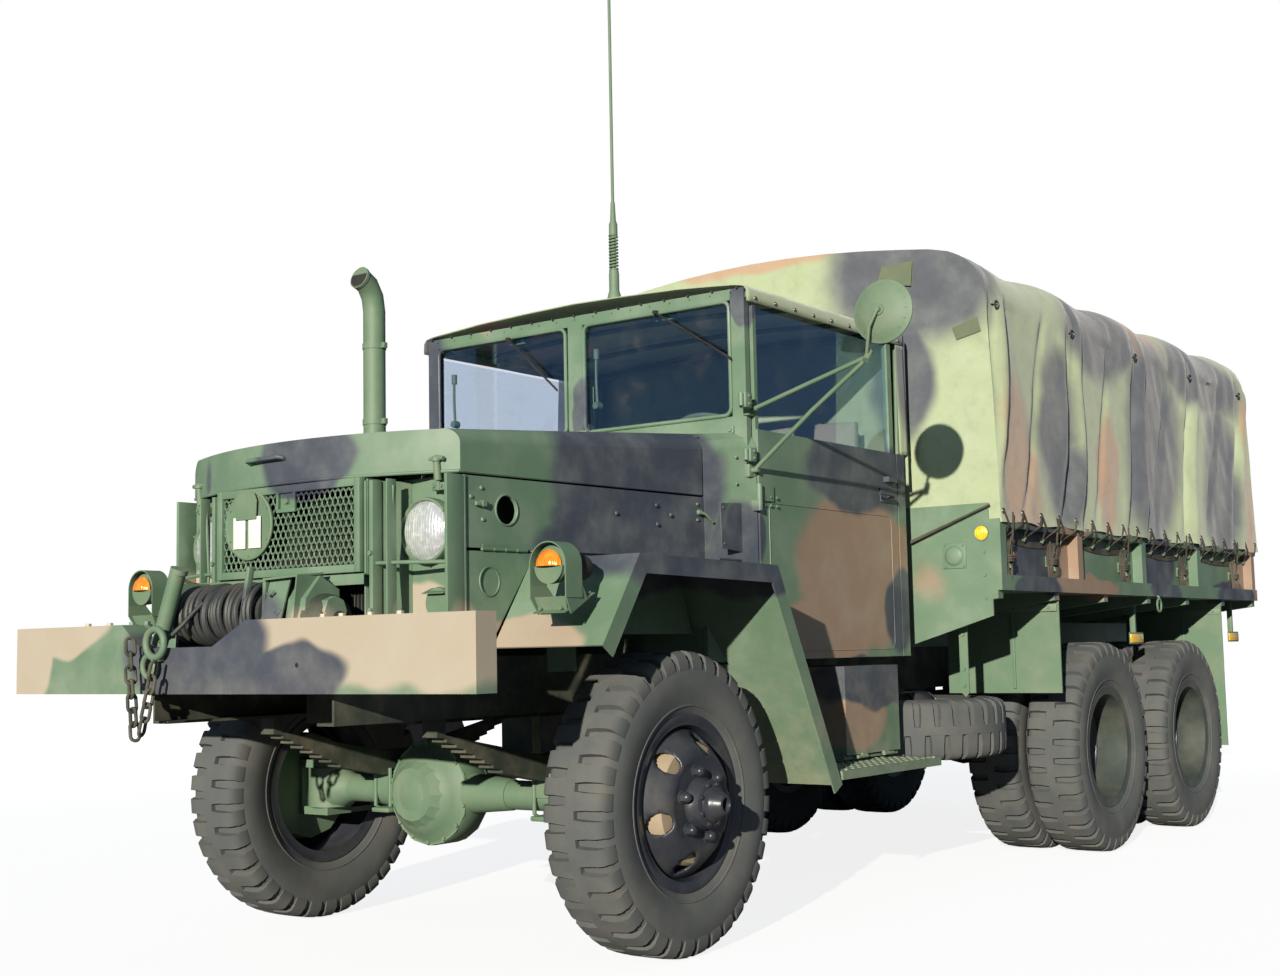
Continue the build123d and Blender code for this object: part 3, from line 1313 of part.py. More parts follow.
# Fuel tank on the right, hung from the rail by two straps
TANK_AT = (-720.0, 745.0)
TANK_SIZE = (470.0, 400.0)
TANK_Y = 1950.0
TANK_LENGTH = 620.0
TANK_TOP = TANK_AT[1] + TANK_SIZE[1] / 2
STRAPS_Y = (2060.0, 2420.0)
STRAP = 50.0
with BuildPart() as fuel_tank:
    with BuildSketch(Plane.XZ.offset(-TANK_Y)):
        with Locations(TANK_AT):
            tank = Rectangle(*TANK_SIZE)
        chamfer(tank.vertices(), 70)
    extrude(amount=TANK_LENGTH, dir=(0, 1, 0))
    for y in STRAPS_Y:
        block((-730, -FRAME_HALF), (y, y + STRAP), (TANK_TOP, TANK_TOP + 15))
        block((-FRAME_HALF - 12, -FRAME_HALF), (y, y + STRAP), (FRAME_TOP - 100, TANK_TOP))
    # filler neck
    bar((-800, 2150, TANK_TOP), (-800, 2150, TANK_TOP + 40), 45)
save(fuel_tank.part, "fuel_tank")

# Side steps on brackets from the rails
STEP_X = (846.0, 1100.0)
STEP_Y = (795.0, 1600.0)
STEP_Z = (524.0, 556.0)
BRACKETS_Y = (870.0, 1120.0)
BRACKET = 40.0
with BuildPart() as side_steps:
    for side in (1, -1):
        block(mirrored(STEP_X, side), STEP_Y, STEP_Z)
        for y in BRACKETS_Y:
            span = (y, y + BRACKET)
            block(mirrored((FRAME_HALF, STEP_X[0]), side), span, (STEP_Z[0] + 6, STEP_Z[1]))
            block(mirrored((FRAME_HALF, FRAME_HALF + 10), side), span, (STEP_Z[1], FRAME_LOW + 60))
save(side_steps.part, "side_steps")

# Exhaust stack beside the cowl on the right, its mouth bent forwards
STACK_X = -806.0
STACK_Y = 310.0
STACK_R = 47.0
STACK_LOW = 1299.0
STACK_BEND_Z = 2450.0
with BuildPart() as exhaust_stack:
    with BuildLine():
        Line((STACK_X, STACK_Y, STACK_LOW), (STACK_X, STACK_Y, STACK_BEND_Z))
        ThreePointArc(
            (STACK_X, STACK_Y, STACK_BEND_Z),
            (STACK_X, STACK_Y - 30, STACK_BEND_Z + 95),
            (STACK_X, STACK_Y - 105, STACK_BEND_Z + 150),
        )
    with BuildSketch(Plane(origin=(STACK_X, STACK_Y, STACK_LOW), z_dir=(0, 0, 1))):
        RegularPolygon(STACK_R, 10)
    sweep()
    # stay to the engine bay's side panel
    block((STACK_X, -711), (STACK_Y - 20, STACK_Y + 20), (1500, 1530))
save(exhaust_stack.part, "exhaust_stack")

# Antenna: bracket on the bed's front wall, base, spring and whip
ANTENNA_AT = (-780.0, 1955.0)
ANTENNA_LOW = 1480.0
# top and radius of each length: mast, collar, base, spring, lower and upper whip
ANTENNA_LENGTHS = (
    (2700.0, 17.0),
    (2712.0, 42.0),
    (2940.0, 38.0),
    (3060.0, 22.0),
    (4300.0, 9.0),
    (5650.0, 5.0),
)
with BuildPart() as antenna:
    block(
        (ANTENNA_AT[0] - 30, ANTENNA_AT[0] + 30),
        (ANTENNA_AT[1] - 20, BED_FRONT_Y - SEAT_GAP),
        (ANTENNA_LOW, ANTENNA_LOW + 76),
    )
    low = ANTENNA_LOW
    for high, radius in ANTENNA_LENGTHS:
        bar((*ANTENNA_AT, low), (*ANTENNA_AT, high), radius)
        low = high
save(antenna.part, "antenna")

# Cargo bed: floor, sills, side walls with stake posts, front wall, hinge halves of the tailgate
GATE_HINGE_Y = BED_REAR_Y + 16
GATE_HINGE_Z = BED_FLOOR - 4
GATE_HINGES_X = (-700.0, 0.0, 700.0)
GATE_BARREL_HALF = 40.0
GATE_HINGE_R = 10.0
SIDE_WALL = 8.0
TOP_RAIL = 36.0
BEARER_INNER = 350.0
APRON_HALF = 1170.0
with BuildPart() as cargo_bed:
    bed_y = (BED_FRONT_Y, BED_REAR_Y)
    block((-BED_HALF, BED_HALF), bed_y, (BED_RAIL_LOW, BED_FLOOR))
    for side in (1, -1):
        side_inner = BED_SIDE_X - SIDE_WALL
        block(mirrored((side_inner, BED_SIDE_X), side), bed_y, (BED_FLOOR, BED_SIDE_TOP))
        block(mirrored((side_inner, BED_HALF), side), bed_y, (BED_SIDE_TOP - TOP_RAIL, BED_SIDE_TOP))
        block(mirrored((BEARER_INNER, FRAME_HALF), side), bed_y, (FRAME_TOP, SILL_LOW))
        for post_y in BED_POSTS_Y:
            block(
                mirrored((BED_SIDE_X, BED_HALF), side),
                (post_y - POST_HALF, post_y + POST_HALF),
                (BED_FLOOR, BED_SIDE_TOP - TOP_RAIL),
            )
    sill_end = BED_HALF - 20
    for sill_y in BED_SILLS_Y:
        front_plate(
            (sill_y - SILL_HALF, sill_y + SILL_HALF),
            (
                (-sill_end, BED_RAIL_LOW),
                (-sill_end, SILL_END_LOW),
                (-560, SILL_LOW),
                (560, SILL_LOW),
                (sill_end, SILL_END_LOW),
                (sill_end, BED_RAIL_LOW),
            ),
        )
    block((-BED_SIDE_X, BED_SIDE_X), (BED_FRONT_Y, BED_FRONT_Y + 12), (BED_FLOOR, BED_FRONT_TOP))
    front_plate(
        (BED_FRONT_Y, BED_FRONT_Y + 8),
        (
            (-APRON_HALF, BED_RAIL_LOW),
            (-APRON_HALF, 1127),
            (-785, 1010),
            (785, 1010),
            (APRON_HALF, 1127),
            (APRON_HALF, BED_RAIL_LOW),
        ),
    )
    for x in GATE_HINGES_X:
        barrel_x = (x + GATE_BARREL_HALF + SEAT_GAP, x + 2 * GATE_BARREL_HALF)
        rod(
            (barrel_x[0], GATE_HINGE_Y, GATE_HINGE_Z),
            (barrel_x[1], GATE_HINGE_Y, GATE_HINGE_Z),
            GATE_HINGE_R,
        )
        block(barrel_x, (BED_REAR_Y, GATE_HINGE_Y), (GATE_HINGE_Z - GATE_HINGE_R, GATE_HINGE_Z))
save(cargo_bed.part, "cargo_bed")

# Side racks: three slats a side on uprights in the stake posts
SLATS_Z = (1610.0, 1790.0, 1970.0)
SLAT_HEIGHT = 120.0
SLAT_X = (1120.0, 1142.0)
UPRIGHT_Y = (20.0, 70.0)
with BuildPart() as side_racks:
    for side in (1, -1):
        for z in SLATS_Z:
            block(mirrored(SLAT_X, side), (BED_FRONT_Y + 40, BED_REAR_Y - 60), (z, z + SLAT_HEIGHT))
        for post_y in BED_POSTS_Y[:-1]:
            block(
                mirrored((SLAT_X[1], BED_SIDE_X - SIDE_WALL - SEAT_GAP), side),
                (post_y + UPRIGHT_Y[0], post_y + UPRIGHT_Y[1]),
                (BED_FLOOR + PANEL_GAP, SLATS_Z[-1] + SLAT_HEIGHT + 10),
            )
save(side_racks.part, "side_racks")

# Tailgate, hinged at the bed's rear edge
GATE_CLEAR = 2.0
with BuildPart() as tailgate:
    block(
        (-BED_SIDE_X + 18, BED_SIDE_X - 18),
        (BED_REAR_Y - GATE_WALL - GATE_CLEAR, BED_REAR_Y - GATE_CLEAR),
        (BED_FLOOR + PANEL_GAP, GATE_TOP),
    )
    for x in GATE_HINGES_X:
        span = (x - GATE_BARREL_HALF, x + GATE_BARREL_HALF)
        rod(
            (span[0], GATE_HINGE_Y, GATE_HINGE_Z), (span[1], GATE_HINGE_Y, GATE_HINGE_Z), GATE_HINGE_R
        )
        block(span, (BED_REAR_Y - GATE_CLEAR, GATE_HINGE_Y + 4), (GATE_HINGE_Z + 8, GATE_HINGE_Z + 90))
save(tailgate.part, "tailgate")

# Tarp and its bows: outline drawn in by an inset
def tarp_outline(inset, low):
    """Face under the tarp's cross section, drawn in by the inset."""
    half = TARP_HALF - (low - TARP_LOW) * TARP_LEAN - inset
    right = [(half, low), (TARP_SHOULDER[0] - inset, TARP_SHOULDER[1])]
    right += [(x - inset * away[0], z - inset * away[1]) for (x, z), away in TARP_ARCH]
    left = [(-x, z) for x, z in reversed(right)]
    with BuildSketch(Plane.XZ.offset(-BED_FRONT_Y)) as drawn:
        Polygon(*right, (0, TARP_CROWN - inset), *left, align=None)
    return drawn.sketch


BOW_WALL = 34.0
BOW_HALF = 20.0
BOW_FOOT = BED_SIDE_TOP + 200
BOWS_Y = (BED_FRONT_Y + 75, 2960.0, 3820.0, 4700.0, BED_REAR_Y - 115)
bow_outer = tarp_outline(TARP_WALL + SEAT_GAP, BOW_FOOT)
bow_inner = tarp_outline(TARP_WALL + BOW_WALL, BOW_FOOT - 1)
with BuildPart() as tarp_bows:
    for bow_y in BOWS_Y:
        start = Pos(0, bow_y - BED_FRONT_Y - BOW_HALF, 0)
        extrude(start * bow_outer, amount=2 * BOW_HALF, dir=(0, 1, 0))
        extrude(start * bow_inner, amount=2 * BOW_HALF, dir=(0, 1, 0), mode=Mode.SUBTRACT)
        for side in (1, -1):
            block(
                mirrored((1160 + SEAT_GAP, 1200), side),
                (bow_y - BOW_HALF, bow_y + BOW_HALF),
                (BED_SIDE_TOP + SEAT_GAP, BOW_FOOT + 30),
            )
save(tarp_bows.part, "tarp_bows")

# Tarp over the bows: open below and behind, its front wall against the bed's front
TARP_LAP = 5.0
BED_LENGTH = BED_REAR_Y - BED_FRONT_Y
tarp_outer = Pos(0, -TARP_LAP, 0) * tarp_outline(0, TARP_LOW)
tarp_inner = Pos(0, TARP_LAP, 0) * tarp_outline(TARP_WALL, TARP_LOW - 1)
with BuildPart() as tarp:
    extrude(tarp_outer, amount=BED_LENGTH + 45, dir=(0, 1, 0))
    extrude(tarp_inner, amount=BED_LENGTH + 60, dir=(0, 1, 0), mode=Mode.SUBTRACT)
    block(
        (-BED_SIDE_X - 3, BED_SIDE_X + 3),
        (BED_FRONT_Y - 6, BED_FRONT_Y + 6),
        (TARP_LOW - 2, BED_FRONT_TOP + 2),
        mode=Mode.SUBTRACT,
    )
save(tarp.part, "tarp")

# Mud flaps on hangers under the bed
# sill, face of the sill (+1 rear, -1 front) and lower edge of each flap
FLAPS = ((BED_SILLS_Y[1], 1, 779.0), (BED_SILLS_Y[5], -1, 407.0))
FLAP_X = (630.0, 1190.0)
FLAP_WALL = 8.0
with BuildPart() as mud_flaps:
    for side in (1, -1):
        for sill_y, face, z_low in FLAPS:
            flap_y = sorted((sill_y + face * SILL_HALF, sill_y + face * (SILL_HALF + FLAP_WALL)))
            block(mirrored(FLAP_X, side), flap_y, (z_low, BED_RAIL_LOW - 20))
save(mud_flaps.part, "mud_flaps")

# Pintle hook on the rear cross member
with BuildPart() as pintle_hook:
    pintle_z = FRAME_LOW + 100
    block((-75, 75), (FRAME_REAR_Y, FRAME_REAR_Y + 22), (pintle_z - 80, pintle_z + 80))
    block((-30, 30), (FRAME_REAR_Y + 22, FRAME_REAR_Y + 90), (pintle_z - 35, pintle_z + 35))
    with BuildSketch(Plane.YZ.offset(-26)):
        with Locations((FRAME_REAR_Y + 145, pintle_z)):
            RegularPolygon(64, HUB_SIDES)
            Circle(26, mode=Mode.SUBTRACT)
    extrude(amount=52)
save(pintle_hook.part, "pintle_hook")
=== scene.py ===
"""Finishes, soft pieces, trim, light and camera of a military cargo truck with six driven wheels.

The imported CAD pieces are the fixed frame. Every piece modelled here rides on one of their bodies.
+X is the truck's left side, +Y is rearwards, +Z is up, all in metres.
"""

import logging
from dataclasses import dataclass, field
from enum import Enum
from math import copysign, cos, dist, exp, hypot, pi, radians, sin, sqrt
from typing import Callable, Iterable, Iterator, Sequence

import bmesh
import bpy
from mathutils import Matrix, Vector, noise


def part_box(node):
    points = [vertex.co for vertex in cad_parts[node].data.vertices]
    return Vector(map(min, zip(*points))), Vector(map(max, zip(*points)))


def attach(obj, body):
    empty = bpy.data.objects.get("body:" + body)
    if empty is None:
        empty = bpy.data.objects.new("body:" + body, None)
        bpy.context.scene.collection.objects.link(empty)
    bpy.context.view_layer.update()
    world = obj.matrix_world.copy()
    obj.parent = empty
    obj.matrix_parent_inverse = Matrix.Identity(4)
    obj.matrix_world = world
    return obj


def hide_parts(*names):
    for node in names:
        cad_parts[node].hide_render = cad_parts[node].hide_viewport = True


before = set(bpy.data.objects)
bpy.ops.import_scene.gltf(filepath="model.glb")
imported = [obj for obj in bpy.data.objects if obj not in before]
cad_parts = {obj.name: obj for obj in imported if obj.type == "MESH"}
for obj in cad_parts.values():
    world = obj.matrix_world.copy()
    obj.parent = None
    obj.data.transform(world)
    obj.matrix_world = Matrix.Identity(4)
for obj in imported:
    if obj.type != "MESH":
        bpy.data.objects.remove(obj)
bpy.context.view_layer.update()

LOG = logging.getLogger("truck")
Point = tuple[float, float, float]
Colour = tuple[float, float, float]
Number = float | int

AXLE_Z = 0.50397
REAR_AXLES_Y = (3.302, 4.521)
MERGE = 0.00005
KEEN_EDGE = radians(38)


def srgb(red: int, green: int, blue: int) -> Colour:
    """Turns a colour of 0 to 255 a channel into linear light.

    Args:
        red: Red channel.
        green: Green channel.
        blue: Blue channel.

    Returns:
        The linear colour.
    """
    return tuple(
        value / 12.92 if value <= 0.04045 else ((value + 0.055) / 1.055) ** 2.4
        for value in (channel / 255 for channel in (red, green, blue)))


def circle(count: int, offset: float = 0.0, phase: float = 0.0) -> Iterator[tuple[float, float]]:
    """Goes round a circle in equal steps.

    Args:
        count: Number of steps.
        offset: Place of the first step, in steps.
        phase: Angle added to every step.

    Yields:
        The cosine and sine of each step.
    """
    for step in range(count):
        angle = 2 * pi * (step + offset) / count + phase
        yield cos(angle), sin(angle)


def rounded(corners: Iterable[tuple[float, float, float]], radius: float) -> list[tuple[float, float]]:
    """Returns the outline through rounded corners, each (u, v, first angle in degrees)."""
    path = []
    for u, v, start in corners:
        for step in range(6):
            angle = radians(start + 18 * step)
            path.append((u + radius * cos(angle), v + radius * sin(angle)))
    return path


class Side(Enum):
    """Side of the truck, as the sign of its X."""

    LEFT = 1
    RIGHT = -1

    @property
    def word(self) -> str:
        """The side's name in a piece's name."""
        return self.name.lower()


class Body(str, Enum):
    """Moving bodies of the frame that pieces ride on."""

    CHASSIS = "chassis"
    HOOD = "hood"
    DOOR_LEFT = "door_left"
    DOOR_RIGHT = "door_right"
    TAILGATE = "tailgate"
    TOOLBOX_DOOR = "toolbox_door"


class Socket:
    """One output of a shader node, with arithmetic written as Python expressions."""

    def __init__(self, graph: "Graph", output: bpy.types.NodeSocket) -> None:
        """Keeps the graph and the output."""
        self.graph = graph
        self.output = output

    def __add__(self, other: "Socket | Number") -> "Socket":
        """Returns the sum."""
        return self.graph.math("ADD", self, other)

    def __radd__(self, other: Number) -> "Socket":
        """Returns the sum with a number on the left."""
        return self.graph.math("ADD", other, self)

    def __sub__(self, other: "Socket | Number") -> "Socket":
        """Returns the difference."""
        return self.graph.math("SUBTRACT", self, other)

    def __rsub__(self, other: Number) -> "Socket":
        """Returns the difference from a number."""
        return self.graph.math("SUBTRACT", other, self)

    def __mul__(self, other: "Socket | Number") -> "Socket":
        """Returns the product."""
        return self.graph.math("MULTIPLY", self, other)

    def __rmul__(self, other: Number) -> "Socket":
        """Returns the product with a number on the left."""
        return self.graph.math("MULTIPLY", other, self)

    def largest(self, other: "Socket | Number") -> "Socket":
        """Returns the larger of this value and another."""
        return self.graph.math("MAXIMUM", self, other)

    def step(self, low: float, high: float) -> "Socket":
        """Returns a smooth rise from 0 at low to 1 at high."""
        return self.graph.ramp(self, low, high)


class Graph:
    """Node tree of one material, built from expressions.

    Args:
        name: The material's name.
    """

    def __init__(self, name: str) -> None:
        """Starts an empty material."""
        self.material = bpy.data.materials.new(name)
        self.material.use_nodes = True
        self.tree = self.material.node_tree
        self.tree.nodes.clear()

    def node(self, kind: str, inputs: dict | None = None, **settings: object) -> bpy.types.Node:
        """Adds a node.

        Args:
            kind: Node type.
            inputs: Values or sockets by input name or number.
            settings: Attributes of the node.

        Returns:
            The node.
        """
        made = self.tree.nodes.new(kind)
        for name, value in settings.items():
            setattr(made, name, value)
        for name, value in (inputs or {}).items():
            if isinstance(value, Socket):
                self.tree.links.new(value.output, made.inputs[name])
            else:
                made.inputs[name].default_value = value
        return made

    def math(self, operation: str, *values: Socket | Number) -> Socket:
        """Returns one arithmetic step."""
        made = self.node("ShaderNodeMath", dict(enumerate(values)), operation=operation)
        return Socket(self, made.outputs[0])

    def vector(self, operation: str, *values: Socket | Sequence[float]) -> Socket:
        """Returns one vector step; a length or distance comes back as a value."""
        made = self.node("ShaderNodeVectorMath", dict(enumerate(values)), operation=operation)
        return Socket(self, made.outputs[1 if operation in ("LENGTH", "DISTANCE") else 0])

    def ramp(self, value: Socket, low: float, high: float, to: tuple[float, float] = (0.0, 1.0)) -> Socket:
        """Returns a smooth step of the value between low and high."""
        made = self.node(
            "ShaderNodeMapRange",
            {"Value": value, "From Min": low, "From Max": high, "To Min": to[0], "To Max": to[1]},
            interpolation_type="SMOOTHSTEP")
        return Socket(self, made.outputs[0])

    def mix(self, factor: Socket | float, low: Socket | Colour, high: Socket | Colour) -> Socket:
        """Returns a colour between two others."""
        values = {0: factor}
        for place, value in ((6, low), (7, high)):
            values[place] = value if isinstance(value, Socket) else (*value, 1.0)
        made = self.node("ShaderNodeMix", values, data_type="RGBA")
        return Socket(self, made.outputs[2])

    def place(self) -> Socket:
        """Returns the point on the object, in the row frame."""
        return Socket(self, self.node("ShaderNodeTexCoord").outputs["Object"])

    def axis(self, vector: Socket, index: int) -> Socket:
        """Returns one coordinate of a vector."""
        return Socket(self, self.node("ShaderNodeSeparateXYZ", {0: vector}).outputs[index])

    def noise(self, at: Socket, scale: float, detail: float = 2.0, rough: float = 0.5) -> Socket:
        """Returns fractal noise of about 0 to 1 at a point."""
        made = self.node(
            "ShaderNodeTexNoise", {"Vector": at, "Scale": scale, "Detail": detail, "Roughness": rough})
        return Socket(self, made.outputs["Fac"])

    def bump(self, height: Socket, strength: float, distance: float) -> Socket:
        """Returns the normal of a height field."""
        made = self.node("ShaderNodeBump", {"Height": height, "Strength": strength, "Distance": distance})
        return Socket(self, made.outputs[0])

    def blend(self, factor: Socket, low: bpy.types.Node, high: bpy.types.Node) -> bpy.types.Node:
        """Returns a mix of two shaders."""
        shaders = {place: Socket(self, shader.outputs[0]) for place, shader in ((1, low), (2, high))}
        return self.node("ShaderNodeMixShader", {0: factor, **shaders})

    def end(self, shader: bpy.types.Node) -> bpy.types.Material:
        """Ends the tree with a shader and returns the material."""
        self.node("ShaderNodeOutputMaterial", {"Surface": Socket(self, shader.outputs[0])})
        return self.material

    def surface(self, **inputs: Socket | float | tuple) -> bpy.types.Material:
        """Ends the tree with a Principled shader.

        Args:
            inputs: Values by input name, with spaces written as underscores.

        Returns:
            The finished material.
        """
        named = {key.replace("_", " "): value for key, value in inputs.items()}
        return self.end(self.node("ShaderNodeBsdfPrincipled", named))


@dataclass(frozen=True)
class Palette:
    """Colours of the truck's finishes, linear."""

    green: Colour = srgb(90, 116, 92)
    brown: Colour = srgb(142, 118, 98)
    # the brown as it looks in the low sun, used towards the nose: painted sunlight
    tan: Colour = srgb(164, 153, 135)
    black: Colour = srgb(56, 62, 74)
    dust: Colour = srgb(168, 154, 130)
    canvas_green: Colour = srgb(156, 168, 134)
    canvas_brown: Colour = srgb(168, 140, 114)
    canvas_black: Colour = srgb(78, 82, 90)
    rubber: Colour = srgb(78, 82, 82)
    steel: Colour = srgb(92, 92, 90)
    # a darker green for the frame and the parts under the body: painted shade where they sit under the truck
    under: Colour = srgb(48, 56, 46)
    amber: Colour = srgb(255, 128, 16)
    red: Colour = srgb(150, 14, 10)
    yellow: Colour = srgb(250, 190, 40)
    wood: Colour = srgb(128, 112, 84)


COLOURS = Palette()


@dataclass(frozen=True)
class Patch:
    """One sprayed patch: an ellipsoid in the row frame that the surface runs through.

    Attributes:
        centre: Its middle.
        radii: Its half sizes.
        lean: How far Y runs forward for each metre of height.
    """

    centre: Point
    radii: Point
    lean: float = 0.0


BROWN_PATCHES = (
    Patch((0.7, -1.16, 1.06), (0.62, 0.3, 0.17)),
    Patch((-1.02, -1.16, 1.0), (0.15, 0.3, 0.2)),
    Patch((-0.8, -1.16, 1.11), (0.24, 0.3, 0.09)),
    Patch((0.8, -0.62, 1.05), (0.22, 0.16, 0.1)),
    Patch((0.48, -0.74, 1.13), (0.2, 0.12, 0.1)),
    Patch((0.9, 1.46, 1.31), (0.3, 0.54, 0.33)),
    Patch((0.9, 1.15, 1.05), (0.3, 0.4, 0.17)),
    Patch((0.93, 1.3, 0.74), (0.4, 0.22, 0.13)),
    Patch((1.2, 2.84, 1.36), (0.12, 0.24, 0.3)),
    Patch((1.2, 3.02, 1.25), (0.12, 0.34, 0.07)),
    Patch((1.2, 5.62, 1.42), (0.12, 0.14, 0.2)),
    Patch((-0.97, -0.7, 1.18), (0.12, 0.1, 0.09)),
)
BLACK_PATCHES = (
    Patch((-0.1, -1.16, 1.02), (0.36, 0.3, 0.22)),
    Patch((0.26, -1.16, 0.94), (0.3, 0.3, 0.1)),
    Patch((0.08, -0.86, 1.66), (0.22, 0.2, 0.13)),
    Patch((0.62, 0.14, 1.62), (0.34, 0.48, 0.32)),
    Patch((0.72, 0.1, 1.44), (0.2, 0.44, 0.16)),
    Patch((0.85, 0.6, 1.4), (0.2, 0.12, 0.17)),
    Patch((1.0, 0.06, 1.33), (0.5, 0.66, 0.16)),
    Patch((0.9, 1.5, 1.72), (0.3, 0.48, 0.17)),
    Patch((0.9, 1.79, 1.16), (0.3, 0.15, 0.18)),
    Patch((0.9, 1.45, 0.86), (0.3, 0.38, 0.1)),
    Patch((1.2, 2.4, 1.25), (0.12, 0.26, 0.08)),
    Patch((1.16, 2.44, 1.42), (0.08, 0.34, 0.2)),
    Patch((1.16, 4.08, 1.42), (0.08, 0.3, 0.2)),
    Patch((1.2, 4.1, 1.25), (0.12, 0.24, 0.08)),
    Patch((1.2, 5.3, 1.25), (0.12, 0.36, 0.08)),
    Patch((0.04, 0.66, 1.98), (0.06, 0.1, 0.16)),
    Patch((0.8, 0.66, 2.32), (0.06, 0.1, 0.12)),
)
TARP_BROWN = (
    Patch((1.2, 2.26, 1.78), (0.4, 0.2, 0.42), -0.12),
    Patch((1.2, 3.32, 1.78), (0.4, 0.13, 0.36), 0.25),
    Patch((1.1, 3.95, 2.7), (0.5, 0.46, 0.2), 0.2),
    Patch((1.2, 5.64, 1.95), (0.4, 0.09, 0.5), 0.0),
    Patch((0.2, 2.2, 2.86), (0.75, 0.55, 0.08), 0.0),
    Patch((-1.2, 3.3, 2.0), (0.4, 0.4, 0.5), 0.3),
    Patch((-0.4, 4.6, 2.85), (0.6, 0.5, 0.2), 0.0),
)
TARP_BLACK = (
    Patch((0.86, 1.98, 2.66), (0.44, 0.3, 0.34), 0.0),
    Patch((0.8, 1.98, 2.2), (0.14, 0.2, 0.3), 0.0),
    Patch((1.2, 2.72, 2.02), (0.4, 0.22, 0.34), 0.2),
    Patch((1.2, 2.78, 1.74), (0.4, 0.22, 0.22), 0.3),
    Patch((1.12, 3.38, 2.52), (0.5, 0.5, 0.24), 0.2),
    Patch((1.2, 4.0, 2.06), (0.4, 0.42, 0.62), 0.15),
    Patch((1.2, 5.14, 1.86), (0.4, 0.3, 0.52), 0.1),
    Patch((1.12, 4.98, 2.5), (0.5, 0.7, 0.22), 0.0),
    Patch((-1.2, 4.4, 2.2), (0.4, 0.5, 0.5), 0.2),
    Patch((-0.5, 3.2, 2.85), (0.6, 0.4, 0.2), 0.0),
)


@dataclass(frozen=True)
class Camouflage:
    """Three-colour pattern with soft sprayed edges on paint or canvas.

    Attributes:
        name: The material's name.
        green: Ground colour.
        brown: Colour under the black.
        black: Top colour.
        brown_patches: Patches seen in the picture.
        black_patches: Patches seen in the picture.
        edge: Half width of a patch's soft edge, as a share of its size.
        rough: Roughness.
        weave: True for woven canvas.
        coat: Weight of the paint's clear film.
        coat_rough: Roughness of that film.
    """

    name: str
    green: Colour
    brown: Colour
    black: Colour
    brown_patches: tuple[Patch, ...]
    black_patches: tuple[Patch, ...]
    edge: float = 0.09
    rough: float = 0.62
    weave: bool = False
    coat: float = 0.22
    coat_rough: float = 0.38

    def field(self, graph: Graph, at: Socket, patches: Sequence[Patch]) -> Socket:
        """Returns how far a point lies inside the nearest patch; below 0 it is outside."""
        found: Socket | None = None
        for patch in patches:
            centre = tuple(-value for value in patch.centre)
            moved = graph.vector("ADD", at, centre)
            if patch.lean:
                shear = graph.axis(moved, 2) * -patch.lean
                shift = Socket(graph, graph.node("ShaderNodeCombineXYZ", {1: shear}).outputs[0])
                moved = graph.vector("ADD", moved, shift)
            scaled = graph.vector("MULTIPLY", moved, tuple(1 / value for value in patch.radii))
            inside = 1.0 - graph.vector("LENGTH", scaled)
            found = inside if found is None else found.largest(inside)
        return found

    def build(self) -> bpy.types.Material:
        """Returns the finished material."""
        graph = Graph(self.name)
        at = graph.place()
        wander = graph.node("ShaderNodeTexNoise", {"Vector": at, "Scale": 3.2, "Detail": 2.0})
        centred = graph.vector("SUBTRACT", Socket(graph, wander.outputs["Color"]), (0.5, 0.5, 0.5))
        bent = graph.vector("ADD", at, graph.vector("MULTIPLY", centred, (0.16, 0.16, 0.16)))
        # the far side has a free pattern of the same scale
        far = graph.axis(at, 0).step(-0.1, -0.5) * graph.axis(at, 1).step(-0.95, -0.8)
        free_brown = (graph.noise(graph.vector("MULTIPLY", bent, (1.0, 0.9, 1.3)), 1.25, 1.0) - 0.56) * 4.0
        free_black = (graph.noise(graph.vector("ADD", bent, (7.3, 3.1, 5.7)), 1.35, 1.0) - 0.55) * 4.0
        layers = []
        for patches, free in ((self.brown_patches, free_brown), (self.black_patches, free_black)):
            inside = self.field(graph, bent, patches)
            layers.append(inside.largest(free - (1.0 - far) * 4.0).step(-self.edge, self.edge))
        # the brown is painted lighter, as tan, towards the nose, whose faces take the low sun: painted
        # sunlight on the brown
        painted_sunlit_brown = graph.mix(graph.axis(at, 1).step(-0.35, -0.8), self.brown, COLOURS.tan)
        colour = graph.mix(layers[0], self.green, painted_sunlit_brown)
        colour = graph.mix(layers[1], colour, self.black)
        # sun-faded film, and dust that climbs from the wheels
        fade = graph.noise(at, 5.0, 4.0, 0.6)
        colour = graph.mix(fade.step(0.35, 0.85) * 0.22, colour, srgb(176, 182, 168))
        low = graph.axis(at, 2).step(1.25, 0.35) * graph.noise(at, 9.0, 5.0, 0.65).step(0.3, 0.75)
        colour = graph.mix(low * 0.42, colour, COLOURS.dust)
        scratch = graph.noise(graph.vector("MULTIPLY", at, (60.0, 60.0, 14.0)), 1.0, 3.0, 0.7).step(0.7, 0.8)
        if self.weave:
            thread = graph.noise(graph.vector("MULTIPLY", at, (700.0, 700.0, 700.0)), 1.0, 1.0)
            crumple = graph.noise(at, 14.0, 4.0, 0.6)
            normal = graph.bump(thread * 0.12 + crumple, 0.35, 0.012)
            return graph.surface(
                Base_Color=graph.mix(crumple.step(0.45, 0.8) * 0.14, colour, srgb(40, 40, 36)),
                Roughness=0.88, Sheen_Weight=0.25, Normal=normal)
        colour = graph.mix(scratch * 0.2, colour, srgb(150, 150, 140))
        grain = graph.noise(at, 260.0, 2.0)
        return graph.surface(
            Base_Color=colour, Roughness=self.rough + (grain - 0.5) * 0.1, Specular_IOR_Level=0.5,
            Coat_Weight=self.coat, Coat_Roughness=self.coat_rough,
            Normal=graph.bump(grain + fade * 6.0, 0.12, 0.002))


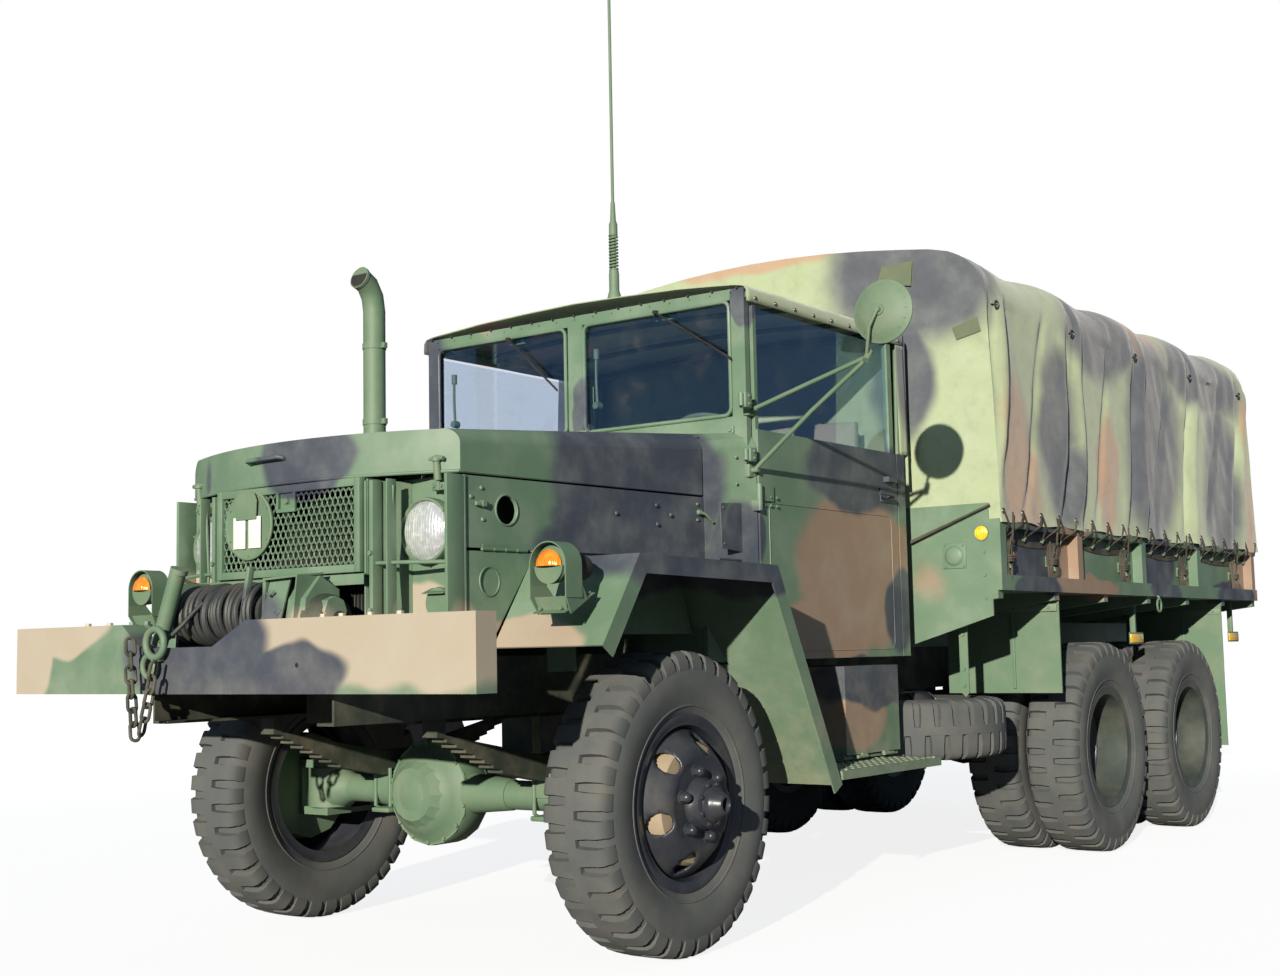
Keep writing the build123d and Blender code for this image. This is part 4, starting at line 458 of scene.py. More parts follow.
@dataclass(frozen=True)
class Plain:
    """One colour, dulled by dust and wear.

    Attributes:
        name: The material's name.
        colour: Ground colour.
        rough: Roughness.
        metal: Metallic share.
        dust: Share of dust over it.
        grain: Scale of the fine bump, in cells a metre.
        depth: Depth of the fine bump, in metres.
    """

    name: str
    colour: Colour
    rough: float = 0.6
    metal: float = 0.0
    dust: float = 0.2
    grain: float = 240.0
    depth: float = 0.0015

    def build(self) -> bpy.types.Material:
        """Returns the finished material."""
        graph = Graph(self.name)
        at = graph.place()
        broad = graph.noise(at, 7.0, 5.0, 0.6)
        fine = graph.noise(at, self.grain, 2.0)
        colour = graph.mix(broad.step(0.35, 0.75) * self.dust, self.colour, COLOURS.dust)
        colour = graph.mix(fine.step(0.55, 0.8) * 0.12, colour, tuple(0.5 * c for c in self.colour))
        return graph.surface(
            Base_Color=colour, Roughness=self.rough + (broad - 0.5) * 0.16, Metallic=self.metal,
            Normal=graph.bump(fine, 0.2, self.depth))


@dataclass(frozen=True)
class Pane:
    """Window glass: tinted, see-through, with a faint film of dust and a gloss tinted sky blue: painted sky
    reflection.
    """

    name: str = "window_glass"
    tint: Colour = srgb(243, 247, 252)
    sheen: float = 0.15

    def build(self) -> bpy.types.Material:
        """Returns the finished material."""
        graph = Graph(self.name)
        at = graph.place()
        film = graph.noise(at, 6.0, 5.0, 0.6).step(0.5, 0.85) * 0.06
        clear = graph.node("ShaderNodeBsdfTransparent", {"Color": (*self.tint, 1.0)})
        # the gloss is tinted sky blue: painted reflection of the sky on top of the world's own light
        painted_sky_gloss = graph.node("ShaderNodeBsdfGlossy", {"Color": (0.42, 0.68, 1.0, 1.0), "Roughness": 0.03})
        dust = graph.node("ShaderNodeBsdfDiffuse", {"Color": (*COLOURS.dust, 1.0)})
        fresnel = Socket(graph, graph.node("ShaderNodeFresnel", {"IOR": 1.5}).outputs[0])
        # a pane mirrors on the face that is met from outside only
        behind = Socket(graph, graph.node("ShaderNodeNewGeometry").outputs["Backfacing"])
        mirrored = (fresnel + self.sheen) * (1.0 - behind)
        return graph.end(graph.blend(film, graph.blend(mirrored, clear, painted_sky_gloss), dust))


@dataclass(frozen=True)
class Lens:
    """Pressed glass or plastic of a lamp, with flutes across it.

    Attributes:
        name: The material's name.
        colour: Colour of the glass.
        flutes: Flutes a metre.
        bright: Share of mirror behind the glass.
    """

    name: str
    colour: Colour
    flutes: float = 90.0
    bright: float = 0.6

    def build(self) -> bpy.types.Material:
        """Returns the finished material."""
        graph = Graph(self.name)
        at = graph.place()
        across = graph.axis(at, 0) * (self.flutes * 2 * pi)
        wave = graph.math("SINE", across)
        cells = graph.noise(at, 46.0, 2.0)
        return graph.surface(
            Base_Color=graph.mix(
                cells.step(0.4, 0.7), self.colour, tuple(min(1.0, 1.3 * c + 0.02) for c in self.colour)),
            Metallic=self.bright, Roughness=0.16, Coat_Weight=1.0, Coat_Roughness=0.04,
            Normal=graph.bump(wave + cells * 3.0, 0.35, 0.002))


@dataclass(frozen=True)
class Finishes:
    """Every material of the truck, by what it is."""

    paint: bpy.types.Material
    canvas: bpy.types.Material
    under: bpy.types.Material
    drab: bpy.types.Material
    rubber: bpy.types.Material
    rim: bpy.types.Material
    rim_rear: bpy.types.Material
    drum: bpy.types.Material
    steel: bpy.types.Material
    rope: bpy.types.Material
    hemp: bpy.types.Material
    wood: bpy.types.Material
    glass: bpy.types.Material
    seat: bpy.types.Material
    chrome: bpy.types.Material
    clear_lens: bpy.types.Material
    amber_lens: bpy.types.Material
    red_lens: bpy.types.Material
    yellow_lens: bpy.types.Material
    plate: bpy.types.Material
    dark: bpy.types.Material
    olive: bpy.types.Material

    @staticmethod
    def make() -> "Finishes":
        """Builds the materials."""
        return Finishes(
            paint=Camouflage(
                "camouflage_paint", COLOURS.green, COLOURS.brown, COLOURS.black, BROWN_PATCHES,
                BLACK_PATCHES).build(),
            canvas=Camouflage(
                "canvas", COLOURS.canvas_green, COLOURS.canvas_brown, COLOURS.canvas_black, TARP_BROWN,
                TARP_BLACK, edge=0.24, weave=True).build(),
            # the underbody finish: painted shade on the parts under the truck, also used for the chain and
            # the winch's gear case
            under=Plain("chassis_black", COLOURS.under, rough=0.75, dust=0.25).build(),
            drab=Plain("drab_green", COLOURS.green, rough=0.6, dust=0.16).build(),
            rubber=Plain("tyre_rubber", COLOURS.rubber, rough=0.88, dust=0.1, grain=320.0).build(),
            rim=Plain("rim_paint", srgb(44, 48, 56), rough=0.34, dust=0.08).build(),
            rim_rear=Plain("rim_paint_rear", srgb(60, 68, 64), rough=0.45, dust=0.12).build(),
            drum=Plain("drum_iron", srgb(150, 134, 110), rough=0.7, dust=0.4).build(),
            steel=Plain("bare_steel", COLOURS.steel, rough=0.42, metal=0.8, dust=0.12).build(),
            rope=Plain(
                "wire_rope", srgb(62, 66, 66), rough=0.55, metal=0.4, grain=700.0, depth=0.004).build(),
            hemp=Plain("lashing_rope", srgb(52, 50, 44), rough=0.9, grain=600.0, depth=0.003).build(),
            wood=Plain("rack_wood", COLOURS.wood, rough=0.8, grain=60.0).build(), glass=Pane().build(),
            seat=Plain("seat_cloth", srgb(150, 144, 128), rough=0.9, dust=0.5, grain=90.0).build(),
            chrome=Plain("lamp_ring", srgb(190, 192, 190), rough=0.2, metal=1.0, dust=0.05).build(),
            clear_lens=Lens("clear_lens", srgb(222, 226, 228)).build(),
            amber_lens=Lens("amber_lens", COLOURS.amber, bright=0.1).build(),
            red_lens=Lens("red_lens", COLOURS.red, bright=0.1).build(),
            yellow_lens=Lens("yellow_lens", COLOURS.yellow, bright=0.1).build(),
            plate=Plain("blank_plate", srgb(214, 216, 206), rough=0.5, dust=0.08).build(),
            # near black for black parts, and for the discs painted as shade in the bumper's holes, the
            # stack's mouth and the nose's ports
            dark=Plain("dark_inside", srgb(24, 26, 28), rough=0.9, dust=0.05).build(),
            olive=Plain("patch_canvas", srgb(92, 102, 80), rough=0.9, dust=0.1, grain=500.0).build())


@dataclass
class Shape:
    """A mesh under construction.

    Attributes:
        name: The finished piece's name.
        material: Its finish.
        body: The body it rides on.
        smooth: True for rounded shading.
        side: Points given are mirrored in X while this is -1.
        mesh: The mesh so far.
    """

    name: str
    material: bpy.types.Material
    body: str = Body.CHASSIS.value
    smooth: bool = True
    side: int = 1
    mesh: bmesh.types.BMesh = field(default_factory=bmesh.new)

    def at(self, point: Point) -> Vector:
        """Returns a point or direction on the side that is being built."""
        return Vector((self.side * point[0], point[1], point[2]))

    def box(self, low: Point, high: Point, round_by: float = 0.0, turn: Matrix | None = None) -> "Shape":
        """Adds a block between two corners, with rounded edges, turned about its middle."""
        low, high = self.at(low), self.at(high)
        size = high - low
        spin = turn.to_4x4() if turn is not None else Matrix.Identity(4)
        matrix = Matrix.Translation((low + high) / 2) @ spin @ Matrix.Diagonal((*size, 1.0))
        made = bmesh.ops.create_cube(self.mesh, size=1.0, matrix=matrix)
        if round_by:
            edges = {edge for vert in made["verts"] for edge in vert.link_edges}
            bmesh.ops.bevel(
                self.mesh, geom=list(edges), offset=round_by, affect="EDGES", segments=2, profile=0.5,
                material=-1)
        return self

    def cone(
        self, start: Point, end: Point, radius: float, tip: float | None = None, sides: int = 24
    ) -> "Shape":
        """Adds a round bar or cone between two points."""
        start, end = self.at(start), self.at(end)
        run = end - start
        matrix = Matrix.Translation((start + end) / 2) @ run.to_track_quat("Z", "Y").to_matrix().to_4x4()
        bmesh.ops.create_cone(
            self.mesh, cap_ends=True, segments=sides, radius1=radius,
            radius2=radius if tip is None else tip, depth=run.length, matrix=matrix)
        return self

    def tube(self, path: Sequence[Point], radius: float, sides: int = 8, closed: bool = False) -> "Shape":
        """Adds a round tube along points."""
        points = [self.at(point) for point in path]
        count = len(points)
        rings = []
        across = Vector((0, 0, 1))
        for index, point in enumerate(points):
            ahead = points[(index + 1) % count] if closed or index + 1 < count else point
            behind = points[index - 1] if closed or index else point
            along = (ahead - behind).normalized()
            if abs(along.dot(across)) > 0.95 or index == 0:
                across = along.orthogonal().normalized()
            across = (across - along * along.dot(across)).normalized()
            other = along.cross(across)
            spots = [point + radius * (cosine * across + sine * other) for cosine, sine in circle(sides)]
            rings.append([self.mesh.verts.new(spot) for spot in spots])
        pairs = list(zip(rings, rings[1:])) + ([(rings[-1], rings[0])] if closed else [])
        for first, second in pairs:
            for number in range(sides):
                after = (number + 1) % sides
                self.mesh.faces.new((first[number], first[after], second[after], second[number]))
        if not closed:
            self.mesh.faces.new(reversed(rings[0]))
            self.mesh.faces.new(rings[-1])
        return self

    def lathe(
        self, profile: Sequence[tuple[float, float]], origin: Point, axis: Point, sides: int = 64
    ) -> "Shape":
        """Adds a turned form from (radius, place along the axis) points."""
        origin, axis = self.at(origin), self.at(axis).normalized()
        across = axis.orthogonal().normalized()
        verts = [self.mesh.verts.new(origin + across * radius + axis * along) for radius, along in profile]
        edges = [self.mesh.edges.new(pair) for pair in zip(verts, verts[1:])]
        bmesh.ops.spin(
            self.mesh, geom=verts + edges, cent=origin, axis=axis, angle=2 * pi, steps=sides, use_merge=True
        )
        return self

    def grid(self, rows: int, columns: int, place: Callable[[float, float], Vector]) -> "Shape":
        """Adds a surface from a function of two shares of 0 to 1."""
        made = [
            [self.mesh.verts.new(place(row / rows, column / columns)) for column in range(columns + 1)]
            for row in range(rows + 1)]
        for low, high in zip(made, made[1:]):
            for index in range(columns):
                self.mesh.faces.new((low[index], low[index + 1], high[index + 1], high[index]))
        return self

    def area(self) -> float:
        """Returns the surface's area in square metres."""
        return sum(face.calc_area() for face in self.mesh.faces)

    def finish(self, *replaced: str, slot: str | None = None) -> bpy.types.Object:
        """Makes the object and sets it on its body.

        Args:
            replaced: CAD nodes that it stands for.
            slot: The record's material slot; not used.

        Returns:
            The finished object.
        """
        data = self.template()
        for face in data.polygons:
            face.use_smooth = self.smooth
        data.materials.append(self.material)
        made = bpy.data.objects.new(self.name, data)
        bpy.context.scene.collection.objects.link(made)
        if self.smooth:
            keen = made.modifiers.new("edges", "EDGE_SPLIT")
            keen.split_angle = KEEN_EDGE
        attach(made, self.body)
        if replaced:
            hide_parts(*replaced)
        LOG.info("%s: %d faces on %s", self.name, len(data.polygons), self.body)
        return made

    def plate(self, corners: Iterable[Point], thick: Point) -> "Shape":
        """Adds a flat plate from its corners and its thickness as a vector."""
        points = [self.at(corner) for corner in corners]
        low = [self.mesh.verts.new(point) for point in points]
        high = [self.mesh.verts.new(point + self.at(thick)) for point in points]
        self.mesh.faces.new(low)
        self.mesh.faces.new(reversed(high))
        for index in range(len(low)):
            after = (index + 1) % len(low)
            self.mesh.faces.new((low[index], high[index], high[after], low[after]))
        return self

    def add(self, template: bpy.types.Mesh, matrix: Matrix) -> "Shape":
        """Adds a copy of a finished mesh, moved by a matrix."""
        before = len(self.mesh.verts)
        self.mesh.from_mesh(template)
        self.mesh.verts.ensure_lookup_table()
        bmesh.ops.transform(self.mesh, matrix=matrix, verts=self.mesh.verts[before:])
        return self

    def bolt(self, at: Point, axis: Point, radius: float = 0.009, height: float = 0.008) -> "Shape":
        """Adds a six-sided bolt head standing on a face."""
        start = Vector(at)
        return self.cone(
            start - Vector(axis) * 0.002, start + Vector(axis) * height, radius, radius * 0.92, 6)

    def template(self) -> bpy.types.Mesh:
        """Ends the mesh as data that an object or other shapes take up."""
        bmesh.ops.remove_doubles(self.mesh, verts=self.mesh.verts[:], dist=MERGE)
        bmesh.ops.recalc_face_normals(self.mesh, faces=self.mesh.faces[:])
        data = bpy.data.meshes.new(self.name)
        self.mesh.to_mesh(data)
        self.mesh.free()
        return data


def both_sides(*shapes: Shape) -> Iterator[int]:
    """Goes through left and right; what is added to the shapes on the right is mirrored."""
    for side in (1, -1):
        for shape in shapes:
            shape.side = side
        yield side
    for shape in shapes:
        shape.side = 1


def thicken(made: bpy.types.Object, thickness: float, offset: float) -> None:
    """Gives a sheet its thickness."""
    wall = made.modifiers.new("wall", "SOLIDIFY")
    wall.thickness = thickness
    wall.offset = offset


def pierced_disc(
    shape: Shape, profile: Sequence[tuple[float, float]], holes: int, pitch_radius: float,
    hole_radius: float, sectors: int = 120
) -> None:
    """Adds a turned sheet about X with round holes cut through it.

    Args:
        shape: The shape to add to.
        profile: (radius, x) points from the rim inwards.
        holes: Number of holes.
        pitch_radius: Radius of the circle that the holes stand on.
        hole_radius: Radius of each hole.
        sectors: Divisions round the disc.
    """
    lengths = [0.0]
    for (r0, x0), (r1, x1) in zip(profile, profile[1:]):
        lengths.append(lengths[-1] + hypot(r1 - r0, x1 - x0))
    rings = 26
    rows = []
    for ring in range(rings + 1):
        reach = lengths[-1] * ring / rings
        index = max(i for i in range(len(lengths) - 1) if lengths[i] <= reach + 1e-9)
        share = (reach - lengths[index]) / (lengths[index + 1] - lengths[index])
        (r0, x0), (r1, x1) = profile[index], profile[index + 1]
        rows.append((r0 + share * (r1 - r0), x0 + share * (x1 - x0)))
    cell = 0.6 * 2 * pi * pitch_radius / sectors

    def settle(radius: float, angle: float) -> tuple[float, float, float]:
        """Moves a point near a hole's edge onto it; returns radius, angle and depth inside."""
        step = 2 * pi / holes
        off = (angle + step / 2) % step - step / 2
        u, v = pitch_radius * off, radius - pitch_radius
        gap = hypot(u, v) - hole_radius
        if abs(gap) < cell:
            scale = hole_radius / max(1e-6, hypot(u, v))
            return pitch_radius + v * scale, angle - off + u * scale / pitch_radius, 0.0
        return radius, angle, -gap

    made = []
    for radius, x in rows:
        row = []
        for sector in range(sectors):
            r, angle, depth = settle(radius, 2 * pi * sector / sectors)
            vert = shape.mesh.verts.new((x, r * cos(angle), r * sin(angle)))
            row.append((vert, depth))
        made.append(row)
    for low, high in zip(made, made[1:]):
        for sector in range(sectors):
            after = (sector + 1) % sectors
            corners = (low[sector], low[after], high[after], high[sector])
            if all(depth >= 0.0 for _, depth in corners):
                continue
            shape.mesh.faces.new([vert for vert, _ in corners])
    bmesh.ops.delete(
        shape.mesh, geom=[vert for vert in shape.mesh.verts if not vert.link_faces], context="VERTS")


@dataclass(frozen=True)
class TyreForm:
    """Round tyre about the X axis with staggered lugs across its shoulders.

    Attributes:
        outside: (radius, x) points of one half of the carcass, bead to tread.
        lug: (x, radius) points round one lug.
        lugs: Lugs on each half of the tread.
        share: Share of its pitch that a lug takes up.
    """

    outside: tuple[tuple[float, float], ...] = (
        (0.2645, 0.086), (0.285, 0.0965), (0.292, 0.1005), (0.302, 0.107), (0.316, 0.112), (0.3175, 0.1155),
        (0.322, 0.1165), (0.3235, 0.114), (0.345, 0.1205), (0.375, 0.127), (0.4, 0.1292), (0.43, 0.1262),
        (0.455, 0.118), (0.472, 0.108), (0.48, 0.09), (0.483, 0.045))
    lug: tuple[tuple[float, float], ...] = (
        (0.014, 0.5032), (0.06, 0.503), (0.095, 0.5), (0.112, 0.4905), (0.1215, 0.472), (0.1262, 0.448),
        (0.124, 0.436), (0.11, 0.44), (0.09, 0.47), (0.014, 0.472))
    lugs: int = 36
    share: float = 0.68

    def template(self) -> bpy.types.Mesh:
        """Returns the tyre's mesh, centred on the origin."""
        shape = Shape("tyre_form", None)
        band = [(0.4835, 0.019), (0.5015, 0.0185), (0.5032, 0.0165), (0.5035, 0.0)]
        half = [*self.outside, *band]
        mirror = [(radius, -x) for radius, x in reversed(half[:-1])]
        shape.lathe([*half, *mirror, self.outside[0]], (0, 0, 0), (1, 0, 0), 108)
        pitch = 2 * pi / self.lugs
        for side in (1, -1):
            for number in range(self.lugs):
                middle = (number + (0.5 if side > 0 else 0.0)) * pitch
                self.add_lug(shape.mesh, side, middle, pitch * self.share / 2)
        return shape.template()

    def add_lug(self, mesh: bmesh.types.BMesh, side: int, middle: float, half: float) -> None:
        """Adds one lug, wider at its inner end, with sloped walls, at an angle round the tyre."""
        loops = []
        for share in (-1.0, -0.9, 0.9, 1.0):
            ring = []
            for x, radius in self.lug:
                worn = abs(share) == 1.0 and radius > 0.48
                flare = 1.16 if x < 0.02 else 1.0
                angle = middle + share * half * ((0.9 if worn else 1.0) * flare)
                r = radius - (0.004 if worn else 0.0)
                ring.append(mesh.verts.new((side * x, r * cos(angle), r * sin(angle))))
            loops.append(ring)
        count = len(self.lug)
        for first, second in zip(loops, loops[1:]):
            for index in range(count):
                after = (index + 1) % count
                mesh.faces.new((first[index], first[after], second[after], second[index]))
        mesh.faces.new(reversed(loops[0]))
        mesh.faces.new(loops[-1])


@dataclass(frozen=True)
class RimForm:
    """Pressed rim about the X axis, its disc standing off to the +X side.

    Attributes:
        barrel: (radius, x) points round the barrel's section.
        disc: (radius, x) points of the disc, rim to hub.
        holes: Hand holes through the disc.
    """

    barrel: tuple[tuple[float, float], ...] = (
        (0.2495, -0.1), (0.268, -0.1005), (0.28, -0.1035), (0.2875, -0.1055), (0.2925, -0.103),
        (0.2925, -0.0985), (0.286, -0.096), (0.27, -0.094), (0.262, -0.086), (0.256, -0.05), (0.254, 0.0),
        (0.256, 0.05), (0.262, 0.086), (0.27, 0.094), (0.286, 0.096), (0.2925, 0.0985), (0.2925, 0.103),
        (0.2875, 0.1055), (0.274, 0.104), (0.266, 0.099), (0.256, 0.098), (0.248, 0.08), (0.246, 0.0))
    disc: tuple[tuple[float, float], ...] = (
        (0.249, 0.052), (0.244, 0.066), (0.235, 0.08), (0.218, 0.1), (0.196, 0.124), (0.178, 0.142),
        (0.164, 0.149), (0.152, 0.1505), (0.144, 0.148), (0.13, 0.1475), (0.06, 0.1475))
    holes: int = 6

    def barrel_template(self) -> bpy.types.Mesh:
        """Returns the barrel's mesh."""
        shape = Shape("barrel_form", None)
        shape.lathe([*self.barrel, self.barrel[0]], (0, 0, 0), (1, 0, 0), 96)
        return shape.template()

    def disc_template(self) -> bpy.types.Mesh:
        """Returns the disc's mesh, an open sheet with its hand holes."""
        shape = Shape("disc_form", None)
        pierced_disc(shape, self.disc, self.holes, 0.194, 0.035)
        return shape.template()


@dataclass
class Wheels:
    """The six driven wheels and the spare, with round tyres and rims.

    Attributes:
        finishes: Materials.
        phase: Angle that the nuts and hand holes are turned by, as parked.
    """

    finishes: Finishes
    phase: float = radians(15)

    def build(self) -> None:
        """Builds every wheel."""
        self.tyre = TyreForm().template()
        form = RimForm()
        self.barrel = form.barrel_template()
        self.disc = form.disc_template()
        for side in Side:
            self.front(side)
            for number, y in enumerate(REAR_AXLES_Y, 1):
                self.rear(side, number, y)
        self.spare()

    def facing(self, x: float, y: float, outboard: int) -> Matrix:
        """Returns the matrix of a wheel part whose disc faces the side given."""
        turn = Matrix.Rotation(0.0 if outboard > 0 else pi, 4, "Z")
        return Matrix.Translation((x, y, AXLE_Z)) @ turn

    def disc_object(self, name: str, body: str, matrices: Sequence[Matrix]) -> None:
        """Makes the pressed discs as one sheet with thickness."""
        shape = Shape(name, self.finishes.rim, body)
        for matrix in matrices:
            outboard = 1 if matrix[0][0] > 0 else -1
            shape.add(self.disc, matrix @ Matrix.Rotation(outboard * self.phase, 4, "X"))
        thicken(shape.finish(), 0.009, 0.0)

    def hub(self, shape: Shape, x: float, y: float, side: int, drum: float) -> None:
        """Adds a hub, its flange and capped wheel nuts, and makes the brake drum behind the disc.

        Args:
            shape: The shape to add to.
            x: The disc's outer face.
            y: The axle.
            side: Sign of the side that the hub points to.
            drum: Distance from the disc back to the drum's far side.
        """
        centre = (x, y, AXLE_Z)
        axis = (side, 0, 0)
        shape.lathe(
            [(0.0, -0.01), (0.091, -0.01), (0.091, 0.007), (0.086, 0.012), (0.08, 0.03), (0.078, 0.044),
             (0.072, 0.048), (0.0, 0.048)], centre, axis, 56)
        shape.lathe(
            [(0.0, 0.04), (0.058, 0.04), (0.058, 0.056), (0.05, 0.061), (0.0455, 0.066), (0.044, 0.078),
             (0.036, 0.09), (0.0315, 0.1015), (0.028, 0.1035), (0.0225, 0.1035), (0.0205, 0.098),
             (0.02, 0.078), (0.0, 0.077)], centre, axis, 44)
        for cosine, sine in circle(8, 0.5):
            at = Vector(centre) + Vector((side * 0.046, 0.0675 * cosine, 0.0675 * sine))
            shape.bolt(at, axis, 0.0082, 0.01)
        for cosine, sine in circle(6, 0.5, self.phase):
            at = Vector(centre) + Vector((0, 0.111 * cosine, 0.111 * sine))
            shape.lathe(
                [(0.0, -0.002), (0.0235, -0.002), (0.0235, 0.003), (0.02, 0.006), (0.0, 0.006)], at, axis,
                18)
            shape.cone(at, at + Vector(axis) * 0.024, 0.0195, 0.0185, 6)
            shape.lathe(
                [(0.0, 0.0), (0.0165, 0.0), (0.0165, 0.026), (0.013, 0.033), (0.007, 0.0365), (0.0, 0.037)],
                at, axis, 16)
        iron = Shape(f"brake_drum_{shape.name}", self.finishes.drum, shape.body)
        iron.lathe(
            [(0.0, -drum), (0.196, -drum), (0.205, -drum + 0.008), (0.208, -drum + 0.022),
             (0.203, -drum + 0.03), (0.203, -drum + 0.096), (0.193, -drum + 0.11), (0.15, -drum + 0.114),
             (0.11, -0.012), (0.0, -0.012)], centre, axis, 72)
        iron.finish()

    def front(self, side: Side) -> None:
        """Builds one front wheel, its disc outwards."""
        x = side.value * 0.861
        body = f"front_wheel_{side.word}"
        matrix = self.facing(x, 0.0, side.value)
        Shape(
            f"round_tyre_front_{side.word}", self.finishes.rubber, body
        ).add(self.tyre, matrix).finish(f"front_tyre_{side.word}", slot="tyre_rubber")
        shape = Shape(f"round_rim_front_{side.word}", self.finishes.rim, body).add(self.barrel, matrix)
        self.hub(shape, x + side.value * 0.15, 0.0, side.value, 0.13)
        shape.finish(f"front_rim_{side.word}", slot="camouflage_paint")
        self.disc_object(f"rim_disc_front_{side.word}", body, [matrix])

    def rear(self, side: Side, number: int, y: float) -> None:
        """Builds one pair of twin wheels."""
        name = f"{number}_{side.word}"
        body = f"rear_wheel_{name}"
        outer = self.facing(side.value * 1.058, y, -side.value)
        inner = self.facing(side.value * 0.758, y, side.value)
        tyres = Shape(f"round_tyres_rear_{name}", self.finishes.rubber, body)
        tyres.add(self.tyre, outer).add(self.tyre, inner)
        tyres.finish(f"rear_tyres_{name}", slot="tyre_rubber")
        shape = Shape(f"round_rims_rear_{name}", self.finishes.rim_rear, body)
        shape.add(self.barrel, outer).add(self.barrel, inner)
        self.hub(shape, side.value * 0.913, y, side.value, 0.25)
        shape.finish(f"rear_rims_{name}", slot="camouflage_paint")
        self.disc_object(f"rim_discs_rear_{name}", body, [outer, inner])

    def spare(self) -> None:
        """Builds the spare that lies flat under the frame."""
        at = Matrix.Translation((0.59, 2.155, 0.646)) @ Matrix.Rotation(-pi / 2, 4, "Y")
        Shape(
            "round_spare_tyre", self.finishes.rubber
        ).add(self.tyre, at).finish("spare_tyre", slot="tyre_rubber")
        shape = Shape("round_spare_rim", self.finishes.rim_rear).add(self.barrel, at)
        shape.box((0.36, 2.08, 0.786), (0.665, 2.23, 0.7995), 0.002)
        shape.bolt((0.59, 2.155, 0.786), (0, 0, -1), 0.03, 0.03)
        shape.finish("spare_rim", slot="camouflage_paint")
        self.disc_object("spare_disc", Body.CHASSIS.value, [at])


def along(points: Sequence[tuple[float, float]], share: float) -> tuple[float, float]:
    """Returns the point at a share of a path's length.

    Args:
        points: The path.
        share: 0 at its start, 1 at its end.

    Returns:
        The point.
    """
    lengths = [dist(a, b) for a, b in zip(points, points[1:])]
    reach = share * sum(lengths)
    for (a, b), length in zip(zip(points, points[1:]), lengths):
        if reach <= length:
            part = reach / length
            return (a[0] + part * (b[0] - a[0]), a[1] + part * (b[1] - a[1]))
        reach -= length
    return points[-1]


